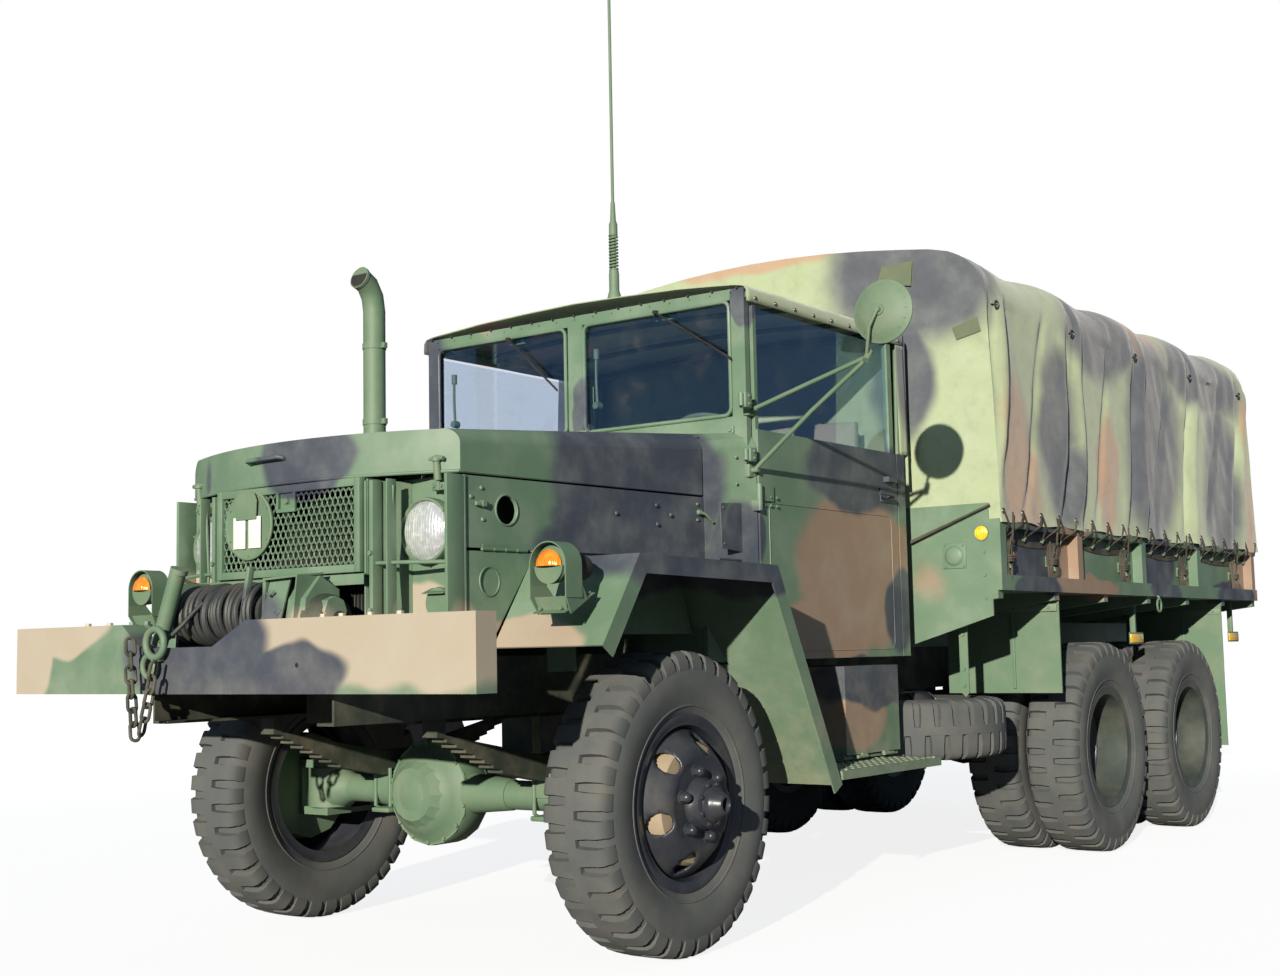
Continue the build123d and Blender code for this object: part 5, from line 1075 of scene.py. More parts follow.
@dataclass
class Tarp:
    """Canvas stretched over five bows: two sides and a top in one cloth, with a front wall.

    Attributes:
        finishes: Materials.
        bows: Y of each bow.
        ties: Y of each place where the hem is tied down.
        front_y: The front wall.
        rear_y: The open rear edge.
        low: Height of the hem.
        side_rows: Divisions up each side.
        top_rows: Divisions across the top.
        length_rows: Divisions along the truck.

    SIDE and ARCH are the section's (x, z) points. Each fold of FOLDS is its depth, its place behind
    the bow, how that drifts with the drop, its width and how that grows with the drop.
    """

    finishes: Finishes
    bows: tuple[float, ...] = (2.08, 2.96, 3.82, 4.7, 5.6)
    ties: tuple[float, ...] = (2.06, 2.46, 2.92, 3.36, 3.8, 4.24, 4.68, 5.12, 5.62)
    front_y: float = 2.0
    rear_y: float = 5.755
    low: float = 1.54
    side_rows: int = 56
    top_rows: int = 84
    length_rows: int = 330

    SIDE = ((1.2235, 1.524), (1.2185, 1.57), (1.206, 2.1), (1.19, 2.487))
    ARCH = (
        (1.19, 2.487), (1.184, 2.545), (1.17, 2.592), (1.146, 2.64), (1.112, 2.678), (1.07, 2.708),
        (1.02, 2.732), (0.93, 2.755), (0.79, 2.775), (0.6, 2.799), (0.4, 2.818), (0.2, 2.829), (0.0, 2.833))

    FOLDS = (
        (-0.034, 0.0, 0.0, 0.02, 0.014), (0.03, 0.075, 0.05, 0.05, 0.0), (0.016, -0.085, -0.02, 0.05, 0.0),
        (-0.016, -0.26, -0.2, 0.036, 0.0))

    @property
    def edge(self) -> float:
        """Share of the half section at the shoulder."""
        return self.side_rows / (self.side_rows + self.top_rows / 2)

    @property
    def shoulder(self) -> float:
        """Share of the whole section at the left shoulder."""
        return self.side_rows / (2 * self.side_rows + self.top_rows)

    def section(self, share: float) -> tuple[float, float]:
        """Returns (x, z) at a share of the half section, hem to crown."""
        if share <= self.edge:
            return along(self.SIDE, share / self.edge)
        return along(self.ARCH, (share - self.edge) / (1 - self.edge))

    def crease(self, y: float, z: float) -> float:
        """Returns how far the cloth is pushed out or drawn in at a place on its side, in metres."""
        drop = max(0.0, 2.7 - z)
        total = 0.0
        for index, bow in enumerate(self.bows):
            lean = 0.26 + 0.05 * sin(5.0 * index)
            line = bow + 0.05 - lean * drop + 0.018 * sin(7.0 * z + index)
            fade = min(1.0, drop / 0.25)
            for depth, behind, drift, width, grow in self.FOLDS:
                gap = (y - line - behind - drift * drop) / (width + grow * drop)
                total += depth * fade * exp(-gap * gap)
        return total

    def inward(self, y: float, height: float) -> float:
        """Returns how far the cloth can be drawn in: little over a bow or over the bed's rail."""
        nearest = min(abs(y - bow) for bow in self.bows)
        off_bow = min(1.0, max(0.0, (nearest - 0.026) / 0.06))
        return min(0.002 + 0.028 * off_bow, 0.003 + 0.18 * height)

    def place(self, around: float, y: float) -> Vector:
        """Returns the cloth's point at a share round the section and a place along the truck."""
        sign = 1.0 if around <= 0.5 else -1.0
        share = 2 * around if around <= 0.5 else 2 * (1 - around)
        x, z = self.section(share)
        edge = self.edge
        nearest = min(abs(y - bow) for bow in self.bows)
        gaps = [abs(b - a) for a, b in zip(self.bows, self.bows[1:])]
        span = sum(gaps) / len(gaps) / 2
        slack = sin(min(1.0, nearest / span) * pi / 2) ** 2
        front = min(1.0, max(0.0, (y - self.front_y) / 0.06))
        rear = min(1.0, max(0.0, (self.rear_y - y) / 0.04))
        free = front * (0.4 + 0.6 * rear)
        folds = noise.noise(Vector((sign * 3.0, y * 3.1 + 0.9 * z, z * 1.4)))
        small = noise.noise(Vector((sign * 9.0 + x * 5.0, y * 11.0 + 2.6 * z, z * 4.2)))
        if share <= edge:
            height = share / edge
            bulge = self.crease(y, z) * min(1.0, height * 3.0 + 0.45)
            shift = free * (bulge + 0.012 * folds + 0.005 * small - 0.01 * slack * height)
            x += max(-self.inward(y, height), min(0.036, shift))
            tie = min(abs(y - place) for place in self.ties)
            lift = 0.011 * sin(min(1.0, tie / 0.22) * pi / 2) ** 2
            z += lift * (1 - height) ** 6 * front
            x += 0.006 * (1 - height) ** 4 * cos(22.0 * y) * free
        else:
            rise = (share - edge) / (1 - edge)
            crown = sin(min(1.0, rise * 1.6) * pi / 2)
            sag = free * slack * (0.012 + 0.034 * crown)
            corner = max(-self.inward(y, 1.0), free * self.crease(y, z) * max(0.0, 1 - rise * 3.2) * 0.9)
            rough = free * (0.006 * folds + 0.004 * small) * (1 - 0.4 * slack)
            x += corner - sag * 0.5 * (1 - crown)
            z -= sag - rough
        return Vector((sign * x, y + 0.01 * (1 - front) ** 2, z))

    def wall(self, across: float, up: float) -> Vector:
        """Returns the front wall's point at shares of 0 to 1 across, left to right, and up."""
        edge = self.shoulder
        shares = (edge * up, 1 - edge * up, edge + (1 - 2 * edge) * across, 0.0, 1.0, edge, 1 - edge)
        left, right, top, low_left, low_right, top_left, top_right = (
            self.place(share, self.front_y) for share in shares)
        bottom = low_left.lerp(low_right, across)
        point = left.lerp(right, across) + bottom.lerp(top, up)
        point -= (low_left.lerp(low_right, across)).lerp(top_left.lerp(top_right, across), up)
        inside = min(1.0, 9 * across * (1 - across)) * min(1.0, 6 * up * (1 - up) + 0.3 * (1 - up))
        swell = noise.noise(Vector((point.x * 1.8, 4.0, point.z * 2.6)))
        small = noise.noise(Vector((point.x * 7.0, 8.0, point.z * 3.5 + point.x)))
        near = max(0.0, 1 - 9 * min(across, 1 - across))
        pleat = near * sin(34.0 * point.z + 5.0 * point.x) * 0.01 * min(1.0, 6 * (1 - up))
        point.y += inside * (0.014 * swell + 0.006 * small) + inside * pleat - 0.004 * inside
        return point

    def build(self) -> None:
        """Builds the cloth, its grommet tabs and the patches sewn on it."""
        cloth = Shape("tarp_cloth", self.finishes.canvas)
        count = 2 * self.side_rows + self.top_rows
        span = self.rear_y - self.front_y
        cloth.grid(self.length_rows, count, lambda t, s: self.place(s, self.front_y + t * span))
        cloth.grid(self.side_rows, self.top_rows, lambda up, across: self.wall(across, up))
        area = cloth.area()
        made = cloth.finish("tarp", slot="canvas")
        section = 2 * (dist(self.SIDE[0], self.SIDE[-1])) + 2 * sum(
            dist(a, b) for a, b in zip(self.ARCH, self.ARCH[1:]))
        round(span + self.ARCH[-1][1] - self.low, 3)
        self.patches()

    def on_wall(self, x: float, z: float) -> Vector:
        """Returns the front wall's point at a place across and up, in metres."""
        across, up = 0.5 - x / 2.4, (z - self.low) / 1.2
        for _ in range(14):
            point = self.wall(across, up)
            across = min(1.0, max(0.0, across + (point.x - x) / 2.4))
            up = min(1.0, max(0.0, up - (point.z - z) / 1.2))
        return self.wall(across, up)

    def sewn(self, shape: Shape, corners: Sequence[tuple[float, float]], off: float) -> None:
        """Adds a flat piece of canvas lying on the front wall between four (x, z) corners."""
        a, b, c, d = (Vector((x, 0.0, z)) for x, z in corners)
        lower = [a.lerp(b, share / 6) for share in range(7)]
        upper = [d.lerp(c, share / 6) for share in range(7)]
        for front in (off, 0.001):
            def spot(t: float, s: float, front: float = front) -> Vector:
                """Returns the piece's point at two shares, off the wall."""
                place = lower[round(6 * s)].lerp(upper[round(6 * s)], t)
                return self.on_wall(place.x, place.z) - Vector((0, front, 0))

            shape.grid(6, 6, spot)

    def patches(self) -> None:
        """Builds the tabs with rings at the bows' shoulders and the pieces sewn on the front wall."""
        tabs = Shape("tarp_tabs", self.finishes.canvas)
        rings = Shape("tarp_rings", self.finishes.steel)
        for side in (1, -1):
            for bow in self.bows:
                grid = []
                for around in (self.shoulder * 0.99, self.shoulder * 1.045):
                    spot = around if side > 0 else 1 - around
                    grid.append([self.place(spot, bow + step) for step in (-0.026, 0.026)])
                (a, b), (c, d) = grid
                out = Vector((side * 0.95, 0.0, 0.31))
                tabs.plate([a + out * 0.005, b + out * 0.005, d + out * 0.005, c + out * 0.005], out * 0.003)
                hang = (a + b) / 2 + out * 0.013 + Vector((0, 0, -0.004))
                path = [
                    hang + Vector((0, 0.019 * cos(step * pi / 8), 0.016 * sin(step * pi / 8)))
                    for step in range(16)]
                rings.tube(path, 0.0035, 8, closed=True)
        tabs.finish()
        rings.finish()
        pieces = Shape("sewn_patches", self.finishes.olive)
        self.sewn(pieces, ((1.05, 2.33), (1.165, 2.355), (1.15, 2.42), (1.03, 2.385)), 0.006)
        self.sewn(pieces, ((0.676, 2.632), (0.844, 2.6), (0.854, 2.712), (0.704, 2.708)), 0.014)
        pieces.finish()


@dataclass
class CabCanvas:
    """Canvas roof of the cab with valances, rear curtain and rear quarters in one cloth.

    Attributes:
        finishes: Materials.
        front_y: Its edge over the windshield.
        rear_y: The rear curtain.

    SECTION is its (x, z) points from the valance to the middle.
    """

    finishes: Finishes
    front_y: float = 0.642
    rear_y: float = 1.917

    SECTION = (
        (0.838, 2.316), (0.8385, 2.346), (0.836, 2.366), (0.822, 2.379), (0.78, 2.386), (0.69, 2.394),
        (0.52, 2.407), (0.26, 2.417), (0.0, 2.423))

    def place(self, around: float, y: float) -> Vector:
        """Returns the roof's point at a share round its section."""
        sign = 1.0 if around <= 0.5 else -1.0
        x, z = along(self.SECTION, 2 * around if around <= 0.5 else 2 * (1 - around))
        inside = sin(pi * (y - self.front_y) / (self.rear_y - self.front_y))
        ripple = noise.noise(Vector((x * 4.0, y * 5.0, sign)))
        flat = 1.0 if z > 2.38 else 0.3
        return Vector((sign * x, y, z + flat * inside * (0.004 * ripple - 0.01 * (1 - abs(x) / 0.84))))

    def curtain(self, down: float, across: float) -> Vector:
        """Returns the rear curtain's point below the roof's rear edge."""
        top = self.place(across, self.rear_y)
        x = top.x
        z = top.z + down * (1.702 - top.z)
        wave = 0.006 * sin(9.0 * x + 2.0) * down + 0.004 * noise.noise(Vector((x * 6.0, z * 4.0, 2.0)))
        return Vector((x, self.rear_y - abs(wave) * down, z))

    def quarter(self, side: int, back: float, down: float) -> Vector:
        """Returns the point of a rear quarter beside the door's glass."""
        y = self.rear_y - back * 0.076
        z = 2.316 + down * (1.832 - 2.316)
        return Vector((side * (0.838 - 0.003 * sin(6.0 * z)), y, z))

    def build(self) -> None:
        """Builds the cloth, its snaps and the bows under it."""
        cloth = Shape("cab_canvas", self.finishes.canvas)
        length = self.rear_y - self.front_y
        cloth.grid(48, 80, lambda t, s: self.place(s, self.front_y + t * length))
        cloth.grid(30, 80, self.curtain)
        for side in (1, -1):
            cloth.grid(4, 24, lambda back, down: self.quarter(side, back, down))
        area = cloth.area()
        made = cloth.finish("cab_roof", slot="canvas")
        thicken(made, 0.003, -1.0)
        frame_piece = Shape("cab_bows", self.finishes.drab)
        for y in (1.06, 1.48, 1.88):
            arch = [(x, y, 2.352 + 0.036 * (1 - (x / 0.8) ** 2)) for x in (-0.8, -0.5, -0.2, 0.2, 0.5, 0.8)]
            frame_piece.tube(arch, 0.012, 10)
        for _ in both_sides(frame_piece):
            frame_piece.tube([(0.815, 0.66, 2.345), (0.815, 1.88, 2.345)], 0.012, 10)
            frame_piece.tube([(0.815, 1.88, 2.345), (0.815, 1.86, 1.835)], 0.012, 10)
        frame_piece.finish()
        snaps = Shape("canvas_snaps", self.finishes.steel)
        for _ in both_sides(snaps):
            for number in range(9):
                y = 0.7 + number * 0.145
                snaps.cone((0.838, y, 2.334), (0.843, y, 2.334), 0.008, 0.006, 12)
        for number in range(15):
            x = -0.79 + number * 0.113
            snaps.cone((x, 0.644, 2.372), (x, 0.639, 2.372), 0.0055, 0.004, 10)
        snaps.finish()


@dataclass
class Seats:
    """Driver's seat and double passenger seat: cushions on pressed frames."""

    finishes: Finishes

    def cushion(self, name: str, low: Point, high: Point, lean: float, channels: int) -> None:
        """Builds one stuffed cushion with a crowned face and sewn channels.

        Args:
            name: The piece's name.
            low: Lowest corner.
            high: Highest corner.
            lean: Angle back about X, for a seat back.
            channels: Sewn channels across the face.
        """
        shape = Shape(name, self.finishes.seat)
        low, high = Vector(low), Vector(high)
        centre, half = (low + high) / 2, (high - low) / 2
        bmesh.ops.create_cube(shape.mesh, size=2.0)
        bmesh.ops.subdivide_edges(shape.mesh, edges=shape.mesh.edges[:], cuts=15, use_grid_fill=True)
        thin = min(range(3), key=lambda axis: half[axis])
        wide = [axis for axis in range(3) if axis != thin]
        turn = Matrix.Rotation(lean, 4, "X")
        for vert in shape.mesh.verts:
            u, v, w = vert.co[wide[0]], vert.co[wide[1]], vert.co[thin]
            pull = 1 - 0.1 * (abs(w)) ** 4
            crown = (1 - abs(u) ** 3.2) * (1 - abs(v) ** 3.2)
            groove = 0.1 * (cos(pi * channels * u) ** 8) if channels else 0.0
            co = Vector((0, 0, 0))
            co[wide[0]] = u * half[wide[0]] * pull * (1 - 0.03 * v * v)
            co[wide[1]] = v * half[wide[1]] * pull * (1 - 0.03 * u * u)
            co[thin] = w * half[thin] * (0.62 + 0.38 * crown ** 0.5 - groove * crown)
            vert.co = turn @ co + centre
        made = shape.finish()
        smooth = made.modifiers.new("round", "SUBSURF")
        smooth.levels = 1
        smooth.render_levels = 1

    def build(self) -> None:
        """Builds both seats and their frames."""
        frames = Shape("seat_frames", self.finishes.drab)
        for word, left, right in (("driver", 0.175, 0.685), ("passenger", -0.715, 0.025)):
            self.cushion(f"{word}_cushion", (left, 1.19, 1.345), (right, 1.68, 1.448), 0.0, 4)
            self.cushion(f"{word}_back", (left, 1.675, 1.5), (right, 1.775, 1.99), radians(-9), 4)
            frames.box((left, 1.18, 1.326), (right, 1.69, 1.344), 0.004)
            for x in (left + 0.03, right - 0.03):
                frames.tube(
                    [(x, 1.22, 1.05), (x, 1.22, 1.33), (x, 1.66, 1.33), (x, 1.72, 1.48), (x, 1.8, 1.93)],
                    0.013, 10)
                frames.tube([(x, 1.64, 1.05), (x, 1.64, 1.33)], 0.013, 10)
            frames.box((left + 0.02, 1.23, 1.042), (right - 0.02, 1.63, 1.3), 0.008)
        frames.finish("seats", slot="camouflage_paint")


@dataclass
class Winch:
    """Wire rope wound on the drum, and the doubled tow chain."""

    finishes: Finishes

    DRUM = (-0.985, 1.15)

    def build(self) -> None:
        """Builds the rope's turns and the chain's links."""
        rope = Shape("wound_rope", self.finishes.rope)
        y, z = self.DRUM
        rope.cone((-0.344, y, z), (0.061, y, z), 0.068, None, 40)
        for layer, (radius, count) in enumerate(((0.077, 20), (0.092, 17))):
            for number in range(count):
                x = -0.324 + (number + 0.5 * layer) * (0.374 / count)
                wander = 0.006 * noise.noise(Vector((number * 1.7, layer * 3.1, 0.0)))
                grow = 0.006 * noise.noise(Vector((number * 0.9, layer, 5.0)))
                skew = 0.02 * noise.noise(Vector((number * 2.3, layer * 1.3, 9.0)))
                ring = []
                for step in range(40):
                    angle = 2 * pi * step / 40
                    r = radius + grow + 0.003 * sin(2 * angle + number)
                    ring.append((x + wander + skew * cos(angle), y + r * cos(angle), z + r * sin(angle)))
                rope.tube(ring, 0.0094, 8, closed=True)
        rope.tube(
            [(-0.2, -1.06, 1.19), (-0.215, -1.09, 1.155), (-0.232, -1.115, 1.12), (-0.25, -1.145, 1.085),
             (-0.262, -1.178, 1.06)], 0.0075, 10)
        rope.finish("winch_rope", slot="wire_rope")
        self.chain()

    def chain(self) -> None:
        """Builds round-section links along the two legs of the hanging chain."""
        form = Shape("link_form", None)
        oval = [(0.0155 * cosine, 0.0, 0.0155 * sine + copysign(0.0135, sine)) for cosine, sine in circle(20)]
        form.tube(oval, 0.0058, 8, closed=True)
        link = form.template()
        chain = Shape("chain_links", self.finishes.under)
        foot = Vector((-0.3, -1.236, 0.735))
        for head in (Vector((-0.357, -1.222, 1.075)), Vector((-0.238, -1.222, 0.998))):
            run = foot - head
            pitch = 0.0455
            bend = Vector((0.012 if head.x < foot.x else -0.012, 0, 0))
            for number in range(int(run.length // pitch)):
                share = (number + 0.5) * pitch / run.length
                at = head + run * share - bend * sin(pi * share)
                turn = run.to_track_quat("Z", "Y").to_matrix().to_4x4()
                twist = Matrix.Rotation(radians(90 * (number % 2) + 12 * sin(number)), 4, "Z")
                chain.add(link, Matrix.Translation(at) @ turn @ twist)
        chain.finish("tow_chain", slot="chassis_black")


@dataclass
class Nose:
    """Grille with its guard, headlamps in their boxes, hood fittings and side panels."""

    finishes: Finishes

    FACE_Y = -0.876
    SLOPE = 0.082 / 1.23
    DISC = (-0.182, 1.451)

    def build(self) -> None:
        """Builds the pieces of the truck's nose."""
        self.grille()
        self.disc()
        self.guard()
        self.headlamps()
        self.hood_fittings()
        self.side_panels()

    def grille(self) -> None:
        """Builds the framed mesh of expanded metal with its latch plate."""
        y = self.FACE_Y
        frame_piece = Shape("grille_frame", self.finishes.paint)
        for x in (-0.344, 0.318):
            frame_piece.box((x, y - 0.012, 1.272), (x + 0.026, y + 0.016, 1.572), 0.003)
        for z in (1.272, 1.546):
            frame_piece.box((-0.318, y - 0.0115, z), (0.318, y + 0.0155, z + 0.026), 0.003)
        for x in (-0.045, 0.035):
            frame_piece.box((x, y - 0.013, 1.492), (x + 0.01, y - 0.003, 1.548), 0.001)
        frame_piece.box((-0.045, y - 0.013, 1.482), (0.045, y - 0.003, 1.494), 0.001)
        frame_piece.box((-0.035, y - 0.002, 1.494), (0.035, y + 0.002, 1.546))
        frame_piece.cone((0.0, y - 0.002, 1.52), (0.0, y - 0.012, 1.52), 0.012, 0.009, 16)
        frame_piece.finish("grille", slot="camouflage_paint")
        mesh = Shape("grille_mesh", self.finishes.paint, smooth=False)
        columns, rows = 26, 12
        wide, tall = 0.64 / columns, 0.278 / rows
        for row in range(rows + 1):
            z = 1.283 + row * tall
            path = []
            for number in range(2 * columns + 1):
                rise = 0.25 * tall if number % 2 == row % 2 else -0.25 * tall
                path.append((-0.32 + number * wide / 2, y + (0.004 if rise > 0 else -0.002), z + rise))
            for a, b in zip(path, path[1:]):
                mesh.cone(a, b, 0.0032, None, 4)
            if row < rows:
                for number in range(2 * columns + 1):
                    if number % 2 == row % 2:
                        x = -0.32 + number * wide / 2
                        mesh.cone((x, y, z + 0.22 * tall), (x, y + 0.002, z + 0.78 * tall), 0.0032, None, 4)
        mesh.finish()
        inside = Shape("radiator_core", self.finishes.dark, smooth=False)
        for number in range(40):
            x = -0.31 + number * 0.0159
            inside.box((x, -0.8, 1.03), (x + 0.003, -0.7905, 1.555))
        inside.finish()

    def disc(self) -> None:
        """Builds the round shield with its flap and two bare plates."""
        y = self.FACE_Y
        x, z = self.DISC
        at = (x, y - 0.012, z)
        shield = Shape("class_disc", self.finishes.drab)
        shield.lathe(
            [(0.0, 0.0), (0.104, 0.0), (0.112, -0.003), (0.1175, -0.001), (0.118, 0.004), (0.114, 0.006),
             (0.0, 0.004)], at, (0, 1, 0), 72)
        shield.cone((x, y - 0.014, z), (x, y + 0.02, z), 0.02, None, 16)
        flap = [
            (-0.232, 1.468), (-0.236, 1.53), (-0.224, 1.556), (-0.182, 1.566), (-0.14, 1.556),
            (-0.128, 1.53), (-0.132, 1.468)]
        shield.plate([(across, y - 0.024, up) for across, up in flap], (0, 0.003, 0))
        for cosine, sine in circle(6, 0.5):
            shield.bolt((x + 0.104 * cosine, y - 0.013, z + 0.104 * sine), (0, -1, 0), 0.004, 0.003)
        shield.finish()
        plates = Shape("bare_plates", self.finishes.plate)
        for low, high in ((-0.25, -0.19), (-0.174, -0.114)):
            plates.box((low, y - 0.0195, 1.372), (high, y - 0.0165, 1.478), 0.001)
        plates.finish()

    def guard(self) -> None:
        """Builds the upright bars and thin rods that shield the headlamps."""
        y = self.FACE_Y
        bars = Shape("brush_guard", self.finishes.paint)
        for _ in both_sides(bars):
            for low, high in ((0.35, 0.358), (0.372, 0.388), (0.446, 0.452)):
                bars.box((low, y + 0.002, 1.0), (high, y + 0.044, 1.56), 0.002)
            bars.box((0.64, y + 0.06, 1.04), (0.652, -0.738, 1.566), 0.002)
            bars.tube(
                [(0.38, y + 0.02, 1.298), (0.5, y + 0.03, 1.296), (0.646, y + 0.068, 1.292)], 0.0065, 10)
            bars.tube([(0.452, y + 0.03, 1.54), (0.436, y + 0.03, 1.3), (0.452, y + 0.03, 1.02)], 0.005, 8)
            bars.box((0.344, y, 1.0), (0.452, y + 0.03, 1.014), 0.002)
            for z in (1.33, 1.15):
                bars.bolt((0.38, y + 0.002, z), (0, -1, 0), 0.009, 0.008)
        bars.box((-0.344, y, 1.0), (0.344, y + 0.03, 1.014), 0.002)
        # folded shelf under the grille, its front edge turned down
        bars.plate(
            [(-0.42, y - 0.02, 1.262), (0.372, y - 0.02, 1.262), (0.372, y + 0.13, 1.268),
             (-0.42, y + 0.13, 1.268)], (0, 0, 0.004))
        bars.box((-0.42, y - 0.022, 1.232), (0.372, y - 0.018, 1.266), 0.001)
        bars.finish()

    def headlamps(self) -> None:
        """Builds sealed lamps with rings and buckets, and the small shielded lamps under them."""
        for side in (1, -1):
            word = "left" if side > 0 else "right"
            at = (side * 0.512, -0.7373, 1.397)
            metal = Shape(f"headlamp_bucket_{word}", self.finishes.drab)
            metal.lathe(
                [(0.06, 0.04), (0.098, 0.02), (0.105, 0.0), (0.106, -0.024), (0.1035, -0.033),
                 (0.0975, -0.035), (0.094, -0.03), (0.0935, -0.02), (0.0, -0.019)], at, (0, 1, 0), 72)
            # outer wall of the recess round the lamp
            metal.plate(
                [(side * 0.366, -0.85, 1.016), (side * 0.366, -0.85, 1.56), (side * 0.425, -0.7385, 1.56),
                 (side * 0.425, -0.7385, 1.016)], (side * 0.003, 0, 0))
            metal.box((side * 0.545, -0.772, 1.52), (side * 0.6, -0.739, 1.545), 0.003)
            for x in (0.556, 0.59):
                metal.bolt((side * x, -0.772, 1.533), (0, -1, 0), 0.006, 0.005)
            for cosine, sine in circle(3, 0.0, radians(35)):
                metal.bolt(
                    (at[0] + 0.103 * cosine, at[1] - 0.034, at[2] + 0.103 * sine), (0, -1, 0), 0.0045, 0.004
                )
            small = (side * 0.572, -0.757, 1.168)
            metal.lathe(
                [(0.0, 0.03), (0.034, 0.028), (0.046, 0.01), (0.05, -0.014), (0.048, -0.022),
                 (0.04, -0.0225), (0.0, -0.02)], small, (0, 1, 0), 48)
            metal.plate(
                [(small[0] - 0.046, -0.8, 1.196), (small[0] + 0.046, -0.8, 1.196),
                 (small[0] + 0.052, -0.745, 1.214), (small[0] - 0.052, -0.745, 1.214)], (0, 0, 0.003))
            metal.box((small[0] - 0.016, -0.744, 1.09), (small[0] + 0.016, -0.7385, 1.13), 0.002)
            metal.finish(*(("headlamps",) if side > 0 else ()), slot="camouflage_paint")
            glass = Shape(f"headlamp_lens_{word}", self.finishes.clear_lens)
            glass.lathe(
                [(0.0, -0.052), (0.03, -0.0508), (0.058, -0.0462), (0.078, -0.04), (0.09, -0.0325),
                 (0.093, -0.029), (0.093, -0.0215), (0.0, -0.0215)], at, (0, 1, 0), 72)
            glass.finish()

    def hood_fittings(self) -> None:
        """Builds the hood's rolled lip, handle and catches."""
        body = Body.HOOD.value
        lip = Shape("hood_lip", self.finishes.paint, body)
        path = [(-0.6385, -0.73, 1.578)]
        for step in range(29):
            x = -0.638 + 1.276 * step / 28
            path.append((x, -0.743 - 0.149 * (1 - (x / 0.641) ** 2), 1.5785))
        path.append((0.6385, -0.73, 1.578))
        lip.tube(path, 0.0055, 8)
        for _ in both_sides(lip):
            lip.tube([(0.637, -0.735, 1.5775), (0.719, 0.482, 1.5775)], 0.0045, 8)
        lip.finish()
        grip = Shape("hood_handle", self.finishes.paint, body)
        grip.tube(
            [(-0.175, -0.878, 1.655), (-0.175, -0.9, 1.662), (-0.165, -0.908, 1.664),
             (-0.01, -0.912, 1.664), (0.0, -0.904, 1.662), (0.0, -0.88, 1.655)], 0.0075, 10)
        grip.finish()
        catches = Shape("hood_catches", self.finishes.drab)
        for side in both_sides(catches):
            x = 0.575
            catches.cone((x, -0.771, 1.52), (x, -0.771, 1.56), 0.006, None, 12)
            catches.cone((x, -0.773, 1.552), (x, -0.779, 1.612), 0.013, 0.011, 16)
            catches.cone((x, -0.779, 1.612), (x, -0.78, 1.622), 0.016, 0.014, 16)
            near, far = x - side * 0.03, x + side * 0.03
            catches.tube([(near, -0.779, 1.618), (x, -0.78, 1.624), (far, -0.779, 1.618)], 0.007, 10)
            # over-centre catch on the side of the hood
            catches.tube([(0.7285, 0.452, 1.512), (0.742, 0.47, 1.503), (0.746, 0.515, 1.474)], 0.0055, 8)
            catches.cone((0.72, 0.456, 1.51), (0.734, 0.456, 1.51), 0.011, 0.009, 12)
            for z in (1.54, 1.482):
                catches.bolt((0.7185, 0.452, z), (1, 0, 0), 0.006, 0.005)
        catches.finish()

    def side_panels(self) -> None:
        """Builds port rings, latches, piano hinges and bolts on the nose's sides."""
        trim = Shape("nose_side_trim", self.finishes.paint)
        dark = Shape("nose_port_shade", self.finishes.dark)

        def face(y: float) -> float:
            """Returns the side panel's outer x at a place along it."""
            return 0.6455 + self.SLOPE * (y + 0.737)

        for _ in both_sides(trim, dark):
            ring = [(-0.544 + 0.049 * cosine, 1.465 + 0.049 * sine) for cosine, sine in circle(40)]
            trim.tube([(face(y), y, z) for y, z in ring], 0.0035, 6, closed=True)
            dark.cone(
                (face(-0.544) - 0.06, -0.544, 1.465), (face(-0.544) - 0.066, -0.544, 1.465), 0.075, None, 24
            )
            for y, z in (
                (-0.007, 1.483), (0.211, 1.523), (0.29, 1.492), (0.215, 1.455), (-0.655, 1.53),
                (-0.65, 1.43), (-0.7, 1.5)
            ):
                trim.cone((face(y) - 0.001, y, z), (face(y) + 0.004, y, z), 0.0085, 0.005, 14)
            # turn latch by the port
            trim.box((face(-0.66), -0.69, 1.472), (face(-0.66) + 0.012, -0.628, 1.486), 0.003)
            trim.cone((face(-0.66), -0.655, 1.479), (face(-0.66) + 0.016, -0.655, 1.479), 0.012, 0.01, 16)
            # piano hinge on the lower seam
            for number in range(4):
                y = -0.66 + number * 0.052
                trim.cone((face(y) + 0.004, y, 1.3365), (face(y) + 0.004, y + 0.05, 1.3365), 0.0055, None, 10)
            trim.box((face(-0.6), -0.66, 1.338), (face(-0.6) + 0.003, -0.46, 1.352))
            # lower side panel down to the fender, with its pressed ring
            corners = [
                (-0.735, 1.04), (-0.735, 1.33), (-0.425, 1.33), (-0.425, 1.312), (-0.47, 1.25),
                (-0.56, 1.12), (-0.615, 1.04)]
            trim.plate([(face(y) - 0.0045, y, z) for y, z in corners], (0.003, 0, 0))
            ring = [
                (face(-0.61), -0.625 + 0.046 * cosine, 1.235 + 0.046 * sine) for cosine, sine in circle(36)]
            trim.tube(ring, 0.003, 6, closed=True)
        trim.finish()
        dark.finish()


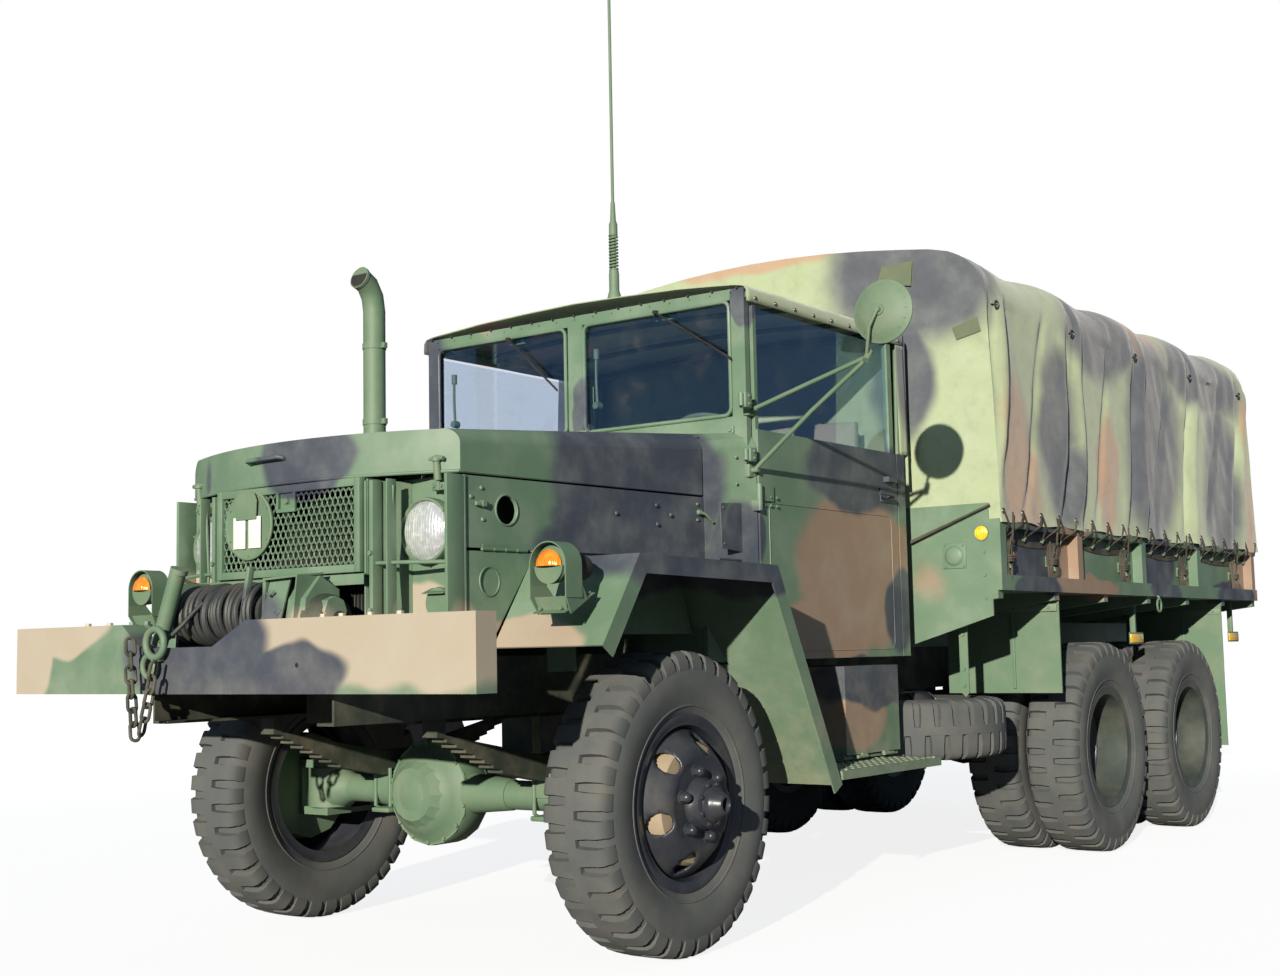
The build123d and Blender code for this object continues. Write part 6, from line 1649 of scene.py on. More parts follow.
@dataclass
class Signals:
    """Front signal lamps under their hoops and the rear lamps."""

    finishes: Finishes

    def build(self) -> None:
        """Builds all four lamps."""
        for side in Side:
            self.front(side.value, side.word)
            self.rear(side.value, side.word)

    def front(self, side: int, word: str) -> None:
        """Builds one front lamp: hoop, round housing, half lens, bracket and the can behind."""
        x, y, z = side * 0.974, -0.684, 1.27
        metal = Shape(f"signal_bracket_{word}", self.finishes.drab)
        arc = []
        for step in range(25):
            angle = pi * step / 24
            arc.append((0.071 * cos(angle), 0.071 * sin(angle)))
        arc = [(0.071, -0.1), *arc, (-0.071, -0.1)]
        outer = [(x + dx, z + dz) for dx, dz in arc]
        inner = [(x + dx * 0.945, z + (dz * 0.945 if dz > 0 else dz)) for dx, dz in arc]
        for (a, b), (c, d) in zip(zip(outer, outer[1:]), zip(inner, inner[1:])):
            quad = [a, b, d, c]
            metal.plate([(px, y - 0.042, pz) for px, pz in quad], (0, 0.078, 0))
        metal.lathe(
            [(0.0, 0.034), (0.046, 0.03), (0.054, 0.01), (0.057, -0.012), (0.0575, -0.024), (0.053, -0.028),
             (0.0, -0.027)], (x, y, z), (0, 1, 0), 56)
        lower = [
            (x + 0.054 * cos(a), z - 0.004 + 0.054 * sin(a)) for a in (pi + pi * k / 20 for k in range(21))]
        metal.plate([(px, y - 0.037, pz) for px, pz in lower], (0, 0.012, 0))
        # folded bracket down to the fender's slope
        metal.plate(
            [(x - 0.06, y - 0.032, z - 0.096), (x + 0.06, y - 0.032, z - 0.096),
             (x + 0.052, y - 0.012, z - 0.148), (x - 0.052, y - 0.012, z - 0.148)], (0, 0.004, 0))
        for dx in (-0.071, 0.067):
            metal.plate(
                [(x + dx, y - 0.042, z - 0.06), (x + dx, y + 0.036, z - 0.06),
                 (x + dx * 0.9, y + 0.072, z - 0.104), (x + dx * 0.9, y - 0.01, z - 0.148),
                 (x + dx, y - 0.038, z - 0.104)], (0.004, 0, 0))
        metal.plate(
            [(x - 0.062, y - 0.036, z - 0.146), (x + 0.062, y - 0.036, z - 0.146),
             (x + 0.062, y + 0.11, z + 0.06 - 0.146), (x - 0.062, y + 0.11, z + 0.06 - 0.146)],
            (0, -0.002, 0.003))
        for dx in (-0.04, 0.04):
            metal.bolt((x + dx, y - 0.028, z - 0.132), (0, -1, 0.2), 0.006, 0.005)
        metal.finish(*(("signal_lamps",) if side > 0 else ()), slot="camouflage_paint")
        glass = Shape(f"signal_lens_{word}", self.finishes.amber_lens)
        rings = 8
        for row in range(rings):
            def dome(t: float, s: float, row: int = row) -> Vector:
                """Returns a point of the domed half lens."""
                radius = 0.05 * (row + t) / rings
                angle = pi * s
                depth = 0.03 * sqrt(max(0.0, 1 - (radius / 0.052) ** 2))
                return Vector((x + radius * cos(angle), y - 0.028 - depth, z - 0.004 + radius * sin(angle)))

            glass.grid(1, 28, dome)
        glass.finish()
        can = Shape(f"signal_can_{word}", self.finishes.dark)
        can.lathe(
            [(0.0, 0.118), (0.036, 0.114), (0.04, 0.104), (0.04, 0.036), (0.0, 0.034)],
            (x + 0.016, y, z - 0.006), (0, 1, 0), 40)
        can.finish()

    def rear(self, side: int, word: str) -> None:
        """Builds one rear lamp on its bracket."""
        at = (side * 0.88, 5.679, 1.096)
        metal = Shape(f"rear_lamp_{word}", self.finishes.drab)
        metal.lathe(
            [(0.0, -0.016), (0.048, -0.016), (0.052, -0.008), (0.053, 0.022), (0.048, 0.028), (0.0, 0.028)],
            at, (0, 1, 0), 48)
        metal.box((at[0] - 0.015, 5.671, 1.09), (at[0] + 0.015, 5.679, 1.158), 0.002)
        metal.box((at[0] - 0.06, 5.66, 1.152), (at[0] + 0.06, 5.715, 1.16), 0.002)
        metal.finish()
        red = Shape(f"rear_lens_{word}", self.finishes.red_lens)
        red.lathe(
            [(0.0, 0.0355), (0.026, 0.0345), (0.04, 0.03), (0.044, 0.0275), (0.0, 0.0275)], at, (0, 1, 0),
            40)
        red.finish()


@dataclass
class Front:
    """Bumper fittings, hooks, winch plates and the axle's rounded forms."""

    finishes: Finishes

    def build(self) -> None:
        """Builds the pieces about the bumper and the front axle."""
        self.bumper()
        self.hooks()
        self.winch_plates()
        self.axle()

    def bumper(self) -> None:
        """Builds the bolt heads on the bumper's top and back, and dark discs painted as shade in its two
        small holes.
        """
        trim = Shape("bumper_bolts", self.finishes.paint)
        hole = Shape("bumper_hole_painted_shade", self.finishes.dark)
        for _ in both_sides(trim, hole):
            for x in (0.42, 0.5, 0.62, 0.74):
                trim.bolt((x, -1.11, 1.1255), (0, 0, 1), 0.012, 0.011)
            for z in (0.95, 1.07):
                trim.bolt((0.4, -1.077, z), (0, 1, 0), 0.012, 0.01)
            # a thin dark disc on the bumper's face stands for the hole: painted shade
            hole.cone((0.36, -1.1614, 0.985), (0.36, -1.1605, 0.985), 0.0075, None, 16)
        trim.finish()
        hole.finish()

    def hooks(self) -> None:
        """Builds the tow hook's round ring, its shackle and the inclined guide tube."""
        hook = Shape("tow_hook_round", self.finishes.drab)

        def loop(cx: float, cz: float, radius: float, stretch: float = 1.0) -> list[Point]:
            """Returns the points of an upright ring."""
            return [
                (cx + radius * cosine, -1.185, cz + stretch * radius * sine) for cosine, sine in circle(28)]

        hook.tube(loop(-0.28, 1.062, 0.0455), 0.012, 12, closed=True)
        hook.tube(loop(-0.31, 0.989, 0.031, 1.1), 0.0095, 12, closed=True)
        hook.box((-0.3, -1.1855, 1.004), (-0.26, -1.161, 1.026), 0.003)
        hook.tube([(-0.346, -1.118, 1.058), (-0.25, -1.118, 1.298)], 0.027, 24)
        hook.tube([(-0.2505, -1.118, 1.286), (-0.2445, -1.118, 1.302)], 0.0295, 24)
        hook.finish("tow_hook", slot="camouflage_paint")

    def winch_plates(self) -> None:
        """Builds the angled guard plates and rounded gear case beside the rope."""
        plate = Shape("winch_plates", self.finishes.paint)
        plate.plate(
            [(0.064, -1.046, 1.014), (0.064, -0.9, 1.014), (0.064, -0.905, 1.255), (0.064, -1.03, 1.255)],
            (0.01, 0, 0))
        plate.box((0.0, -1.075, 1.02), (0.016, -1.052, 1.3), 0.003, Matrix.Rotation(radians(12), 3, "Y"))
        plate.plate(
            [(0.078, -1.06, 1.12), (0.17, -1.06, 1.12), (0.176, -1.02, 1.262), (0.084, -1.02, 1.262)],
            (0, 0.006, 0.002))
        plate.plate(
            [(0.076, -1.048, 1.252), (0.236, -1.048, 1.258), (0.236, -0.94, 1.268), (0.076, -0.94, 1.262)],
            (0, 0, 0.006))
        plate.plate(
            [(0.212, -1.05, 1.12), (0.212, -0.94, 1.12), (0.232, -0.94, 1.262), (0.232, -1.05, 1.262)],
            (0.006, 0, 0))
        for x, z in ((0.115, 1.21), (0.15, 1.15)):
            plate.tube(
                [(x - 0.014, -1.052, z), (x, -1.056, z - 0.006), (x + 0.014, -1.05, z + 0.006)], 0.004, 8)
        plate.finish()
        # the gear case takes the dark underbody colour though the sun falls on it: painted shade of the
        # opening behind it
        case = Shape("winch_gear_case", self.finishes.under)
        case.lathe(
            [(0.0, 0.052), (0.05, 0.052), (0.07, 0.044), (0.082, 0.022), (0.086, 0.0), (0.086, -0.028),
             (0.0, -0.028)], (0.262, -0.95, 1.12), (1, 0, 0), 56)
        case.lathe(
            [(0.0, 0.06), (0.03, 0.06), (0.034, 0.05), (0.034, 0.0), (0.0, 0.0)], (0.262, -0.95, 1.12),
            (1, 0, 0), 32)
        for cosine, sine in circle(8):
            case.bolt((0.262, -0.95 + 0.078 * cosine, 1.12 + 0.078 * sine), (1, 0, 0), 0.006, 0.02)
        case.finish()

    def axle(self) -> None:
        """Builds the round front axle: bowl with ribs, tubes, ball ends and spring seats."""
        z = AXLE_Z
        metal = Shape("front_axle_round", self.finishes.drab)
        centre = (-0.158, 0.0, z)
        metal.lathe(
            [(0.0, -0.155), (0.06, -0.15), (0.11, -0.13), (0.15, -0.098), (0.176, -0.062), (0.188, -0.058),
             (0.192, -0.05), (0.192, 0.05), (0.186, 0.058), (0.172, 0.066), (0.13, 0.11), (0.1, 0.15),
             (0.0, 0.152)], centre, (0, 1, 0), 96)
        for cosine, sine in circle(14, 0.5):
            at = Vector(centre) + Vector((0.18 * cosine, -0.058, 0.18 * sine))
            metal.bolt(at, (0, -1, 0), 0.009, 0.01)
        metal.cone((-0.158, 0.0, z), (-0.158 - 0.3, 0.0, z), 0.085, 0.056, 48)
        metal.cone((-0.158, 0.0, z), (-0.158 + 0.36, 0.0, z), 0.088, 0.056, 48)
        metal.cone((-0.62, 0.0, z), (0.62, 0.0, z), 0.052, None, 48)
        metal.finish()
        metal = Shape("front_axle_ends", self.finishes.drab)
        for _ in both_sides(metal):
            metal.lathe(
                [(0.0, -0.155), (0.05, -0.155), (0.056, -0.12), (0.072, -0.096), (0.074, -0.078),
                 (0.083, -0.066), (0.0835, 0.0), (0.0, 0.0)], (0.742, 0.0, z), (1, 0, 0), 56)
            for y in (-0.062, 0.062):
                for x, foot in ((0.352, 0.36), (0.428, 0.42)):
                    metal.tube([(x, y, z + 0.085), (x, y, z - 0.056), (foot, y * 0.5, z - 0.074)], 0.0075, 8)
            metal.box((0.345, -0.08, z - 0.08), (0.435, 0.08, z - 0.062), 0.006)
        metal.finish()


@dataclass
class CabTrim:
    """Windshield fittings, mirror, stack, antenna, steering wheel, door and cowl fittings."""

    finishes: Finishes

    def build(self) -> None:
        """Builds the cab's fittings."""
        self.windshield()
        self.cowl()
        self.mirror()
        self.stack()
        self.antenna()
        self.steering_wheel()
        self.doors()
        self.steps()

    def windshield(self) -> None:
        """Builds frame hinges, inner pane frames, wipers and their cranks."""
        trim = Shape("windshield_hinges", self.finishes.paint)
        for _ in both_sides(trim):
            for y, z, tall in ((0.607, 1.931, 0.03), (0.632, 1.727, 0.026)):
                x = 0.842
                trim.box((x - 0.016, y - 0.024, z - tall), (x + 0.016, y + 0.024, z + tall), 0.005)
                trim.cone((x, y - 0.03, z - tall * 0.8), (x, y - 0.03, z + tall * 0.8), 0.0095, None, 14)
                for dz in (-0.5, 0.5):
                    trim.bolt((x + 0.016, y, z + dz * tall), (1, 0, 0), 0.006, 0.005)
            trim.box((0.735, 0.64, 1.818), (0.763, 0.652, 1.846), 0.003)
            trim.cone((0.749, 0.642, 1.832), (0.749, 0.634, 1.832), 0.008, None, 12)
            # pane frames with rounded corners, each in its opening
            corners = ((0.722, 2.296, 0), (0.078, 2.296, 90), (0.078, 1.918, 180), (0.722, 1.918, 270))
            trim.tube([(x, 0.6465, z) for x, z in rounded(corners, 0.03)], 0.0075, 8, closed=True)
        for number in range(17):
            x = -0.76 + number * 0.095
            trim.cone((x, 0.65, 2.3585), (x, 0.645, 2.3585), 0.0045, 0.003, 10)
        trim.finish()
        wipers = Shape("wipers", self.finishes.dark)
        for (x0, z0), (x1, z1) in (((-0.344, 2.317), (-0.115, 2.104)), ((0.418, 2.326), (0.754, 2.11))):
            run = Vector((x1 - x0, 0, z1 - z0))
            mid = Vector((x0, 0.63, z0)) + run * 0.66
            wipers.cone((x0, 0.652, z0), (x0, 0.622, z0), 0.011, 0.008, 12)
            wipers.tube([(x0, 0.626, z0), tuple(mid)], 0.0035, 8)
            half = run.normalized() * 0.15
            upper, lower = Vector((0, 0.006, 0.004)), Vector((0, 0.006, -0.006))
            wipers.plate(
                [mid - half + upper, mid + half + upper, mid + half + lower, mid - half + lower],
                (0, -0.006, 0))
            wipers.tube(
                [tuple(mid - half * 0.6), tuple(mid + Vector((0, -0.006, 0))), tuple(mid + half * 0.6)],
                0.003, 6)
        wipers.finish()
        cranks = Shape("wiper_motors", self.finishes.drab)
        for x, low, high in ((-0.71, 2.0, 2.196), (0.072, 2.0, 2.209)):
            cranks.tube([(x, 0.7, low), (x, 0.694, (low + high) / 2), (x + 0.006, 0.688, high)], 0.006, 8)
            cranks.cone((x, 0.716, low), (x, 0.684, low), 0.016, 0.014, 16)
            cranks.cone((x + 0.006, 0.69, high + 0.02), (x + 0.006, 0.69, high - 0.02), 0.012, None, 14)
        for x in (-0.344, 0.418):
            cranks.box((x - 0.045, 0.686, 2.3), (x + 0.045, 0.73, 2.345), 0.01)
        cranks.finish()

    def cowl(self) -> None:
        """Builds the hatch, drain lip, screws and seam on the cowl."""
        trim = Shape("cowl_trim", self.finishes.paint)
        for _ in both_sides(trim):
            corners = [(0.483, 1.541), (0.66, 1.551), (0.655, 1.363), (0.489, 1.376)]
            trim.plate([(0.797, y, z) for y, z in corners], (0.004, 0, 0))
            for y, z in ((0.5, 1.525), (0.642, 1.533), (0.638, 1.382), (0.504, 1.392)):
                trim.cone((0.8, y, z), (0.804, y, z), 0.0065, 0.004, 12)
            trim.tube([(0.797, 0.47, 1.335), (0.797, 0.668, 1.335)], 0.004, 8)
            for z in (1.62, 1.72):
                trim.cone((0.798, 0.6, z), (0.803, 0.6, z), 0.0065, 0.004, 12)
        trim.tube(
            [(-0.7, 0.498, 1.795), (-0.35, 0.49, 1.813), (0.0, 0.486, 1.82), (0.35, 0.49, 1.813),
             (0.7, 0.498, 1.795)], 0.004, 8)
        trim.finish()

    def mirror(self) -> None:
        """Builds the dished mirror on its bent arms."""
        metal = Shape("mirror_round", self.finishes.drab)
        centre = Vector((1.401, 0.65, 2.197))
        axis = Vector((0.0, -1.0, 0.05)).normalized()
        metal.lathe(
            [(0.0, 0.03), (0.018, 0.03), (0.022, 0.024), (0.05, 0.021), (0.082, 0.012), (0.102, 0.0),
             (0.111, -0.004), (0.1165, -0.006), (0.118, -0.011), (0.115, -0.0145), (0.0, -0.0145)], centre,
            axis, 64)
        across = Vector((1, 0, 0))
        up = axis.cross(across)
        for cosine, sine in circle(16):
            spoke = cosine * across + sine * up
            metal.tube(
                [centre + spoke * 0.03 + axis * 0.0225, centre + spoke * 0.1 + axis * 0.0025], 0.0018, 6)
        back = centre + axis * 0.03
        metal.cone(back, back + axis * 0.012, 0.012, 0.01, 16)
        metal.tube([back + axis * 0.006, (1.372, 0.604, 2.14), (1.339, 0.64, 2.048)], 0.0068, 10)
        metal.cone((1.339, 0.632, 2.024), (1.339, 0.664, 2.06), 0.013, None, 16)
        metal.tube([(1.339, 0.649, 2.04), (1.1, 0.655, 1.975), (0.85, 0.664, 1.906)], 0.0085, 12)
        metal.tube(
            [(1.339, 0.649, 2.036), (1.1, 0.652, 1.87), (0.862, 0.66, 1.69), (0.842, 0.66, 1.672)], 0.0085,
            12)
        for y, z in ((0.664, 1.905), (0.66, 1.672)):
            metal.box((0.806, y - 0.022, z - 0.026), (0.832, y + 0.022, z + 0.026), 0.004)
            metal.cone((0.828, y, z), (0.858, y, z), 0.011, 0.009, 14)
            for dz in (-0.016, 0.016):
                metal.bolt((0.832, y + 0.01, z + dz), (1, 0, 0), 0.005, 0.004)
        metal.finish("mirror", slot="camouflage_paint")
        glass = Shape("mirror_glass", self.finishes.chrome)
        glass.lathe([(0.0, -0.015), (0.111, -0.015), (0.112, -0.016), (0.0, -0.0175)], centre, axis, 56)
        glass.finish()

    def stack(self) -> None:
        """Builds the round exhaust stack, its bent mouth and its clamps."""
        metal = Shape("stack_round", self.finishes.drab)
        x, y = -0.806, 0.31
        metal.tube(
            [(x, y, 1.3), (x, y, 1.7), (x, y, 2.3), (x, y, 2.45), (x, y - 0.01, 2.51),
             (x + 0.002, y - 0.04, 2.556), (x + 0.003, y - 0.085, 2.58)], 0.0465, 40)
        metal.tube([(x + 0.003, y - 0.078, 2.5775), (x + 0.003, y - 0.09, 2.5815)], 0.049, 40)
        for z in (1.62, 1.98, 2.3):
            metal.tube([(x, y, z - 0.012), (x, y, z + 0.012)], 0.05, 40)
            metal.box((x + 0.04, y - 0.01, z - 0.012), (x + 0.068, y + 0.01, z + 0.012), 0.002)
        metal.finish("exhaust_stack", slot="camouflage_paint")
        # a dark disc across the mouth stands for the pipe's inside: painted shade
        inside = Shape("stack_mouth_painted_shade", self.finishes.dark)
        inside.cone((x + 0.003, y - 0.0903, 2.5816), (x + 0.003, y - 0.0908, 2.5818), 0.0435, None, 36)
        inside.finish()

    def antenna(self) -> None:
        """Builds the whip on its spring and base."""
        metal = Shape("antenna_round", self.finishes.drab)
        x, y = -0.78, 1.955
        low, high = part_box("antenna")[0][2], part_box("antenna")[1][2]
        metal.tube([(x, y, low), (x, y, low + 0.12)], 0.024, 20)
        coil = []
        for step in range(241):
            angle = 2 * pi * step / 20
            coil.append((x + 0.0195 * cos(angle), y + 0.0195 * sin(angle), 2.905 + 0.195 * step / 240))
        metal.tube(coil, 0.0058, 6)
        metal.lathe(
            [(0.0, low + 0.1), (0.016, low + 0.1), (0.016, 2.6), (0.036, 2.61), (0.038, 2.64),
             (0.038, 2.76), (0.032, 2.79), (0.026, 2.81), (0.026, 2.895), (0.0235, 2.915), (0.012, 2.92),
             (0.012, 3.085), (0.022, 3.09), (0.022, 3.15), (0.015, 3.17), (0.011, 3.26), (0.008, 3.27),
             (0.0072, high - 0.004), (0.0, high - 0.003)], (x, y, 0.0), (0, 0, 1), 20)
        metal.finish("antenna", slot="camouflage_paint")

    def steering_wheel(self) -> None:
        """Builds the wheel's round rim, spokes, hub and column."""
        wheel = Shape("wheel_round", self.finishes.drab)
        centre = Vector((0.42, 1.075, 1.815))
        axis = Vector((0.0, 0.355, 0.44)).normalized()
        across = Vector((1, 0, 0))
        up = axis.cross(across)
        ring = [centre + 0.212 * (cosine * across + sine * up) for cosine, sine in circle(48)]
        wheel.tube(ring, 0.0105, 12, closed=True)
        for cosine, sine in circle(3, 0.0, radians(90)):
            spoke = cosine * across + sine * up
            wheel.tube(
                [centre - axis * 0.03 + spoke * 0.02, centre - axis * 0.012 + spoke * 0.12,
                 centre + spoke * 0.21], 0.0075, 8)
        wheel.lathe(
            [(0.0, -0.05), (0.034, -0.045), (0.038, -0.025), (0.03, -0.01), (0.0, -0.006)], centre, axis, 28
        )
        wheel.cone(centre - axis * 0.04, centre - axis * 0.63, 0.02, None, 20)
        wheel.finish("steering_wheel")

    def doors(self) -> None:
        """Builds the handle, latch plate, hinge bolts and pressed panel line of each door."""
        for side, body in ((1, Body.DOOR_LEFT.value), (-1, Body.DOOR_RIGHT.value)):
            word = "left" if side > 0 else "right"
            trim = Shape(f"door_trim_{word}", self.finishes.paint, body, side=side)
            trim.box((0.84, 1.64, 1.612), (0.846, 1.742, 1.672), 0.002)
            trim.cone((0.842, 1.708, 1.64), (0.872, 1.708, 1.64), 0.012, 0.01, 16)
            trim.tube(
                [(0.868, 1.708, 1.64), (0.874, 1.69, 1.641), (0.874, 1.6, 1.644), (0.87, 1.588, 1.645)],
                0.007, 10)
            for y, z in ((1.65, 1.662), (1.732, 1.662), (1.65, 1.62), (1.732, 1.62)):
                trim.cone((0.845, y, z), (0.848, y, z), 0.0045, 0.003, 10)
            for z in (1.08, 1.56):
                for y in (0.715, 0.76, 0.805):
                    for dz in (-0.016, 0.016):
                        trim.bolt((0.8465, y, z + dz), (1, 0, 0), 0.006, 0.004)
            # pressed panel line round the door's lower part
            corners = ((1.7, 1.52, 0), (0.79, 1.52, 90), (0.79, 1.03, 180), (1.7, 1.03, 270))
            trim.tube([(0.8405, y, z) for y, z in rounded(corners, 0.035)], 0.0022, 6, closed=True)
            trim.finish()

    def steps(self) -> None:
        """Builds the studs and bolts of the steps and the latch of the toolbox door."""
        trim = Shape("step_treads", self.finishes.paint)
        for _ in both_sides(trim):
            for row in range(5):
                for number in range(16 - row % 2):
                    y = 0.83 + number * 0.048 + (0.024 if row % 2 else 0.0)
                    x = 0.885 + row * 0.046
                    trim.cone((x, y, 0.5555), (x, y, 0.5595), 0.0105, 0.008, 10)
            for y in (0.84, 1.555):
                trim.bolt((1.088, y, 0.548), (0, 0, 1), 0.009, 0.014)
        trim.finish()
        latch = Shape("toolbox_latch", self.finishes.paint, Body.TOOLBOX_DOOR.value)
        latch.cone((0.884, 1.41, 0.895), (0.9, 1.41, 0.895), 0.017, 0.014, 20)
        latch.box((0.888, 1.404, 0.866), (0.897, 1.416, 0.924), 0.003)
        latch.finish()


@dataclass
class BedTrim:
    """Lashing, lamps, reflectors, straps and small fittings of the load space.

    Attributes:
        finishes: Materials.
        ties: Y of each cleat that the lashing is made fast round.
        posts: Y of each post that a strap ends at.
    """

    finishes: Finishes
    ties: tuple[float, ...] = (2.118, 2.61, 3.525, 4.414, 5.333)
    posts: tuple[float, ...] = (2.035, 2.9, 3.76, 4.64, 5.655)

    EYE_X, EYE_Z = 1.2275, 1.572

    def build(self) -> None:
        """Builds the load space's fittings."""
        self.lashing()
        self.straps()
        self.lamps()
        self.front_wall()
        self.flaps()
        self.tail()

    def lashing(self) -> None:
        """Builds the rope that laces the hem down, made fast round a hook at each tie."""
        rope = Shape("lashing_rope", self.finishes.hemp)
        hooks = Shape("lashing_hooks", self.finishes.drab)
        eyes = Shape("tarp_eyelets", self.finishes.steel)
        for _ in both_sides(rope, hooks, eyes):
            stations = [round(2.03 + 0.2035 * number, 4) for number in range(19)]
            for number, y in enumerate(stations):
                eyes.cone((1.222, y, self.EYE_Z), (1.2265, y, self.EYE_Z), 0.014, 0.012, 16)
                if number + 1 < len(stations):
                    half = (y + stations[number + 1]) / 2
                    for eye, bend in ((y, 0.036), (stations[number + 1], -0.036)):
                        path = [(self.EYE_X, eye, self.EYE_Z), (1.23, eye + bend, 1.52), (1.18, half, 1.47)]
                        rope.tube(path, 0.0048, 6)
                    hooks.tube(
                        [(1.166, half, 1.5), (1.178, half, 1.498), (1.186, half, 1.47), (1.18, half, 1.458),
                         (1.172, half, 1.464)], 0.0055, 8)
            for index, y in enumerate(self.ties):
                self.made_fast(rope, y, index)
                hooks.box((1.165, y - 0.016, 1.35), (1.176, y + 0.016, 1.4), 0.003)
                for low, bend, tip in ((1.395, 1.4, 1.42), (1.355, 1.35, 1.33)):
                    hooks.tube([(1.17, y, low), (1.2, y, bend), (1.206, y, tip)], 0.0065, 8)
        for shift in (0.0, 0.016):
            rope.tube([(1.18 - shift, 1.986, 1.6 - shift / 2), (0.807 - shift, 1.976, 1.455)], 0.0045, 8)
        rope.finish()
        hooks.finish()
        eyes.finish()

    def made_fast(self, rope: Shape, y: float, index: int) -> None:
        """Adds one tie: tight long turns over the two horns of a cleat, bound round the middle."""
        for turn in range(5):
            x = 1.184 + 0.0058 * turn
            wide = 0.017 + 0.004 * ((turn * 7 + index * 3) % 4)
            tall = 0.074 + 0.008 * ((turn * 5 + index) % 3)
            lean = 0.01 * sin(1.9 * turn + index)
            path = []
            for step in range(24):
                angle = 2 * pi * step / 24
                out = x + 0.004 * sin(2 * angle + turn)
                along_bed = y + wide * cos(angle) + lean * sin(angle)
                path.append((out, along_bed, 1.372 + tall * sin(angle)))
            rope.tube(path, 0.0052, 6, closed=True)
        for band in range(3):
            path = [
                (1.196 + 0.0235 * sine, y + 0.03 * cosine, 1.383 - 0.0105 * band)
                for cosine, sine in circle(16)]
            rope.tube(path, 0.0052, 6, closed=True)
        rope.tube(
            [(1.214, y + 0.012, 1.45), (1.224, y + 0.006, 1.52), (self.EYE_X, y, self.EYE_Z)], 0.0048, 6)

    def straps(self) -> None:
        """Builds the dark webbing that hangs in a shallow curve across each bay."""
        strap = Shape("side_straps", self.finishes.hemp)
        for _ in both_sides(strap):
            for start, end in zip(self.posts, self.posts[1:]):
                low, high = start + 0.04, end - 0.04
                shares = [step / 18 for step in range(19)]
                curve = [
                    (low + share * (high - low), 1.492 - 0.035 * 4 * share * (1 - share))
                    for share in shares]
                for (y0, z0), (y1, z1) in zip(curve, curve[1:]):
                    outline = ((y0, z0), (y1, z1), (y1, z1 - 0.026), (y0, z0 - 0.026))
                    strap.plate([(1.167, y, z) for y, z in outline], (0.003, 0, 0))
        strap.finish()

    def lamps(self) -> None:
        """Builds side lamps, round reflectors and the yellow bar reflectors."""
        metal = Shape("side_lamp_bodies", self.finishes.drab)
        amber = Shape("side_lamp_lenses", self.finishes.amber_lens)
        yellow = Shape("reflectors", self.finishes.yellow_lens)
        for _ in both_sides(metal, amber, yellow):
            out = (1, 0, 0)
            at = (1.165, 2.196, 1.386)
            metal.lathe([(0.0, 0.0), (0.036, 0.0), (0.038, 0.006), (0.034, 0.014), (0.0, 0.015)], at, out, 32)
            amber.lathe(
                [(0.0, 0.026), (0.012, 0.025), (0.022, 0.021), (0.027, 0.0145), (0.0, 0.0145)], at, out, 32)
            at = (1.13, 2.0045, 1.481)
            metal.lathe([(0.0, 0.0), (0.034, 0.0), (0.034, 0.005), (0.0, 0.005)], at, (0, -1, 0), 32)
            yellow.lathe(
                [(0.0, 0.0105), (0.02, 0.0098), (0.029, 0.007), (0.03, 0.0045), (0.0, 0.0045)], at,
                (0, -1, 0), 32)
            for y in (3.82, 5.48):
                metal.box((1.096, y, 0.992), (1.1, y + 0.2, 1.052), 0.001)
                yellow.box((1.1, y + 0.008, 1.0), (1.104, y + 0.192, 1.044), 0.001)
                metal.box((1.07, y + 0.09, 1.01), (1.098, y + 0.11, 1.234), 0.002)
            ring = [(1.222, 3.935 + 0.03 * cosine, 1.19 + 0.034 * sine) for cosine, sine in circle(24)]
            metal.tube(ring, 0.0055, 8, closed=True)
            metal.tube([(1.206, 3.935, 1.24), (1.222, 3.935, 1.232), (1.224, 3.935, 1.216)], 0.006, 8)
        metal.finish()
        amber.finish()
        yellow.finish()

    def front_wall(self) -> None:
        """Builds the round cover, struts and rivets at the front end of the bed."""
        trim = Shape("bed_front_trim", self.finishes.paint)
        for _ in both_sides(trim):
            at = (1.0, 2.0045, 1.389)
            trim.box((0.945, 1.9995, 1.334), (1.055, 2.006, 1.444), 0.003)
            trim.lathe(
                [(0.0, 0.016), (0.03, 0.015), (0.04, 0.01), (0.045, 0.004), (0.045, 0.0), (0.0, 0.0)], at,
                (0, -1, 0), 36)
            for dx in (-0.045, 0.045):
                for dz in (-0.045, 0.045):
                    trim.bolt((at[0] + dx, 2.0, at[2] + dz), (0, -1, 0), 0.006, 0.005)
            for z in (1.2, 1.3, 1.4, 1.5):
                trim.bolt((1.14, 2.0045, z), (0, -1, 0), 0.0065, 0.005)
        trim.finish()
        strut = Shape("bed_struts", self.finishes.drab)
        for _ in both_sides(strut):
            strut.plate(
                [(0.96, 2.1, 1.2), (1.0, 2.1, 1.2), (1.0, 2.1, 0.8), (0.985, 2.1, 0.78), (0.96, 2.1, 0.8)],
                (0, 0.005, 0))
            for z in (0.83, 0.9, 1.05, 1.16):
                strut.bolt((0.98, 2.1, z), (0, -1, 0), 0.009, 0.007)
        strut.finish()

    def flaps(self) -> None:
        """Builds the clamp bars and bolts that hold the mud flaps."""
        bars = Shape("flap_bars", self.finishes.drab)
        for _ in both_sides(bars):
            for y in (2.668, 5.073):
                bars.box((0.7, y - 0.01, 1.15), (1.185, y - 0.002, 1.185), 0.002)
                for number in range(6):
                    x = 0.735 + number * 0.082
                    bars.bolt((x, y - 0.01, 1.168), (0, -1, 0), 0.008, 0.006)
                bars.box((0.958, y - 0.008, 0.8), (0.972, y - 0.001, 1.15), 0.002)
        bars.finish()

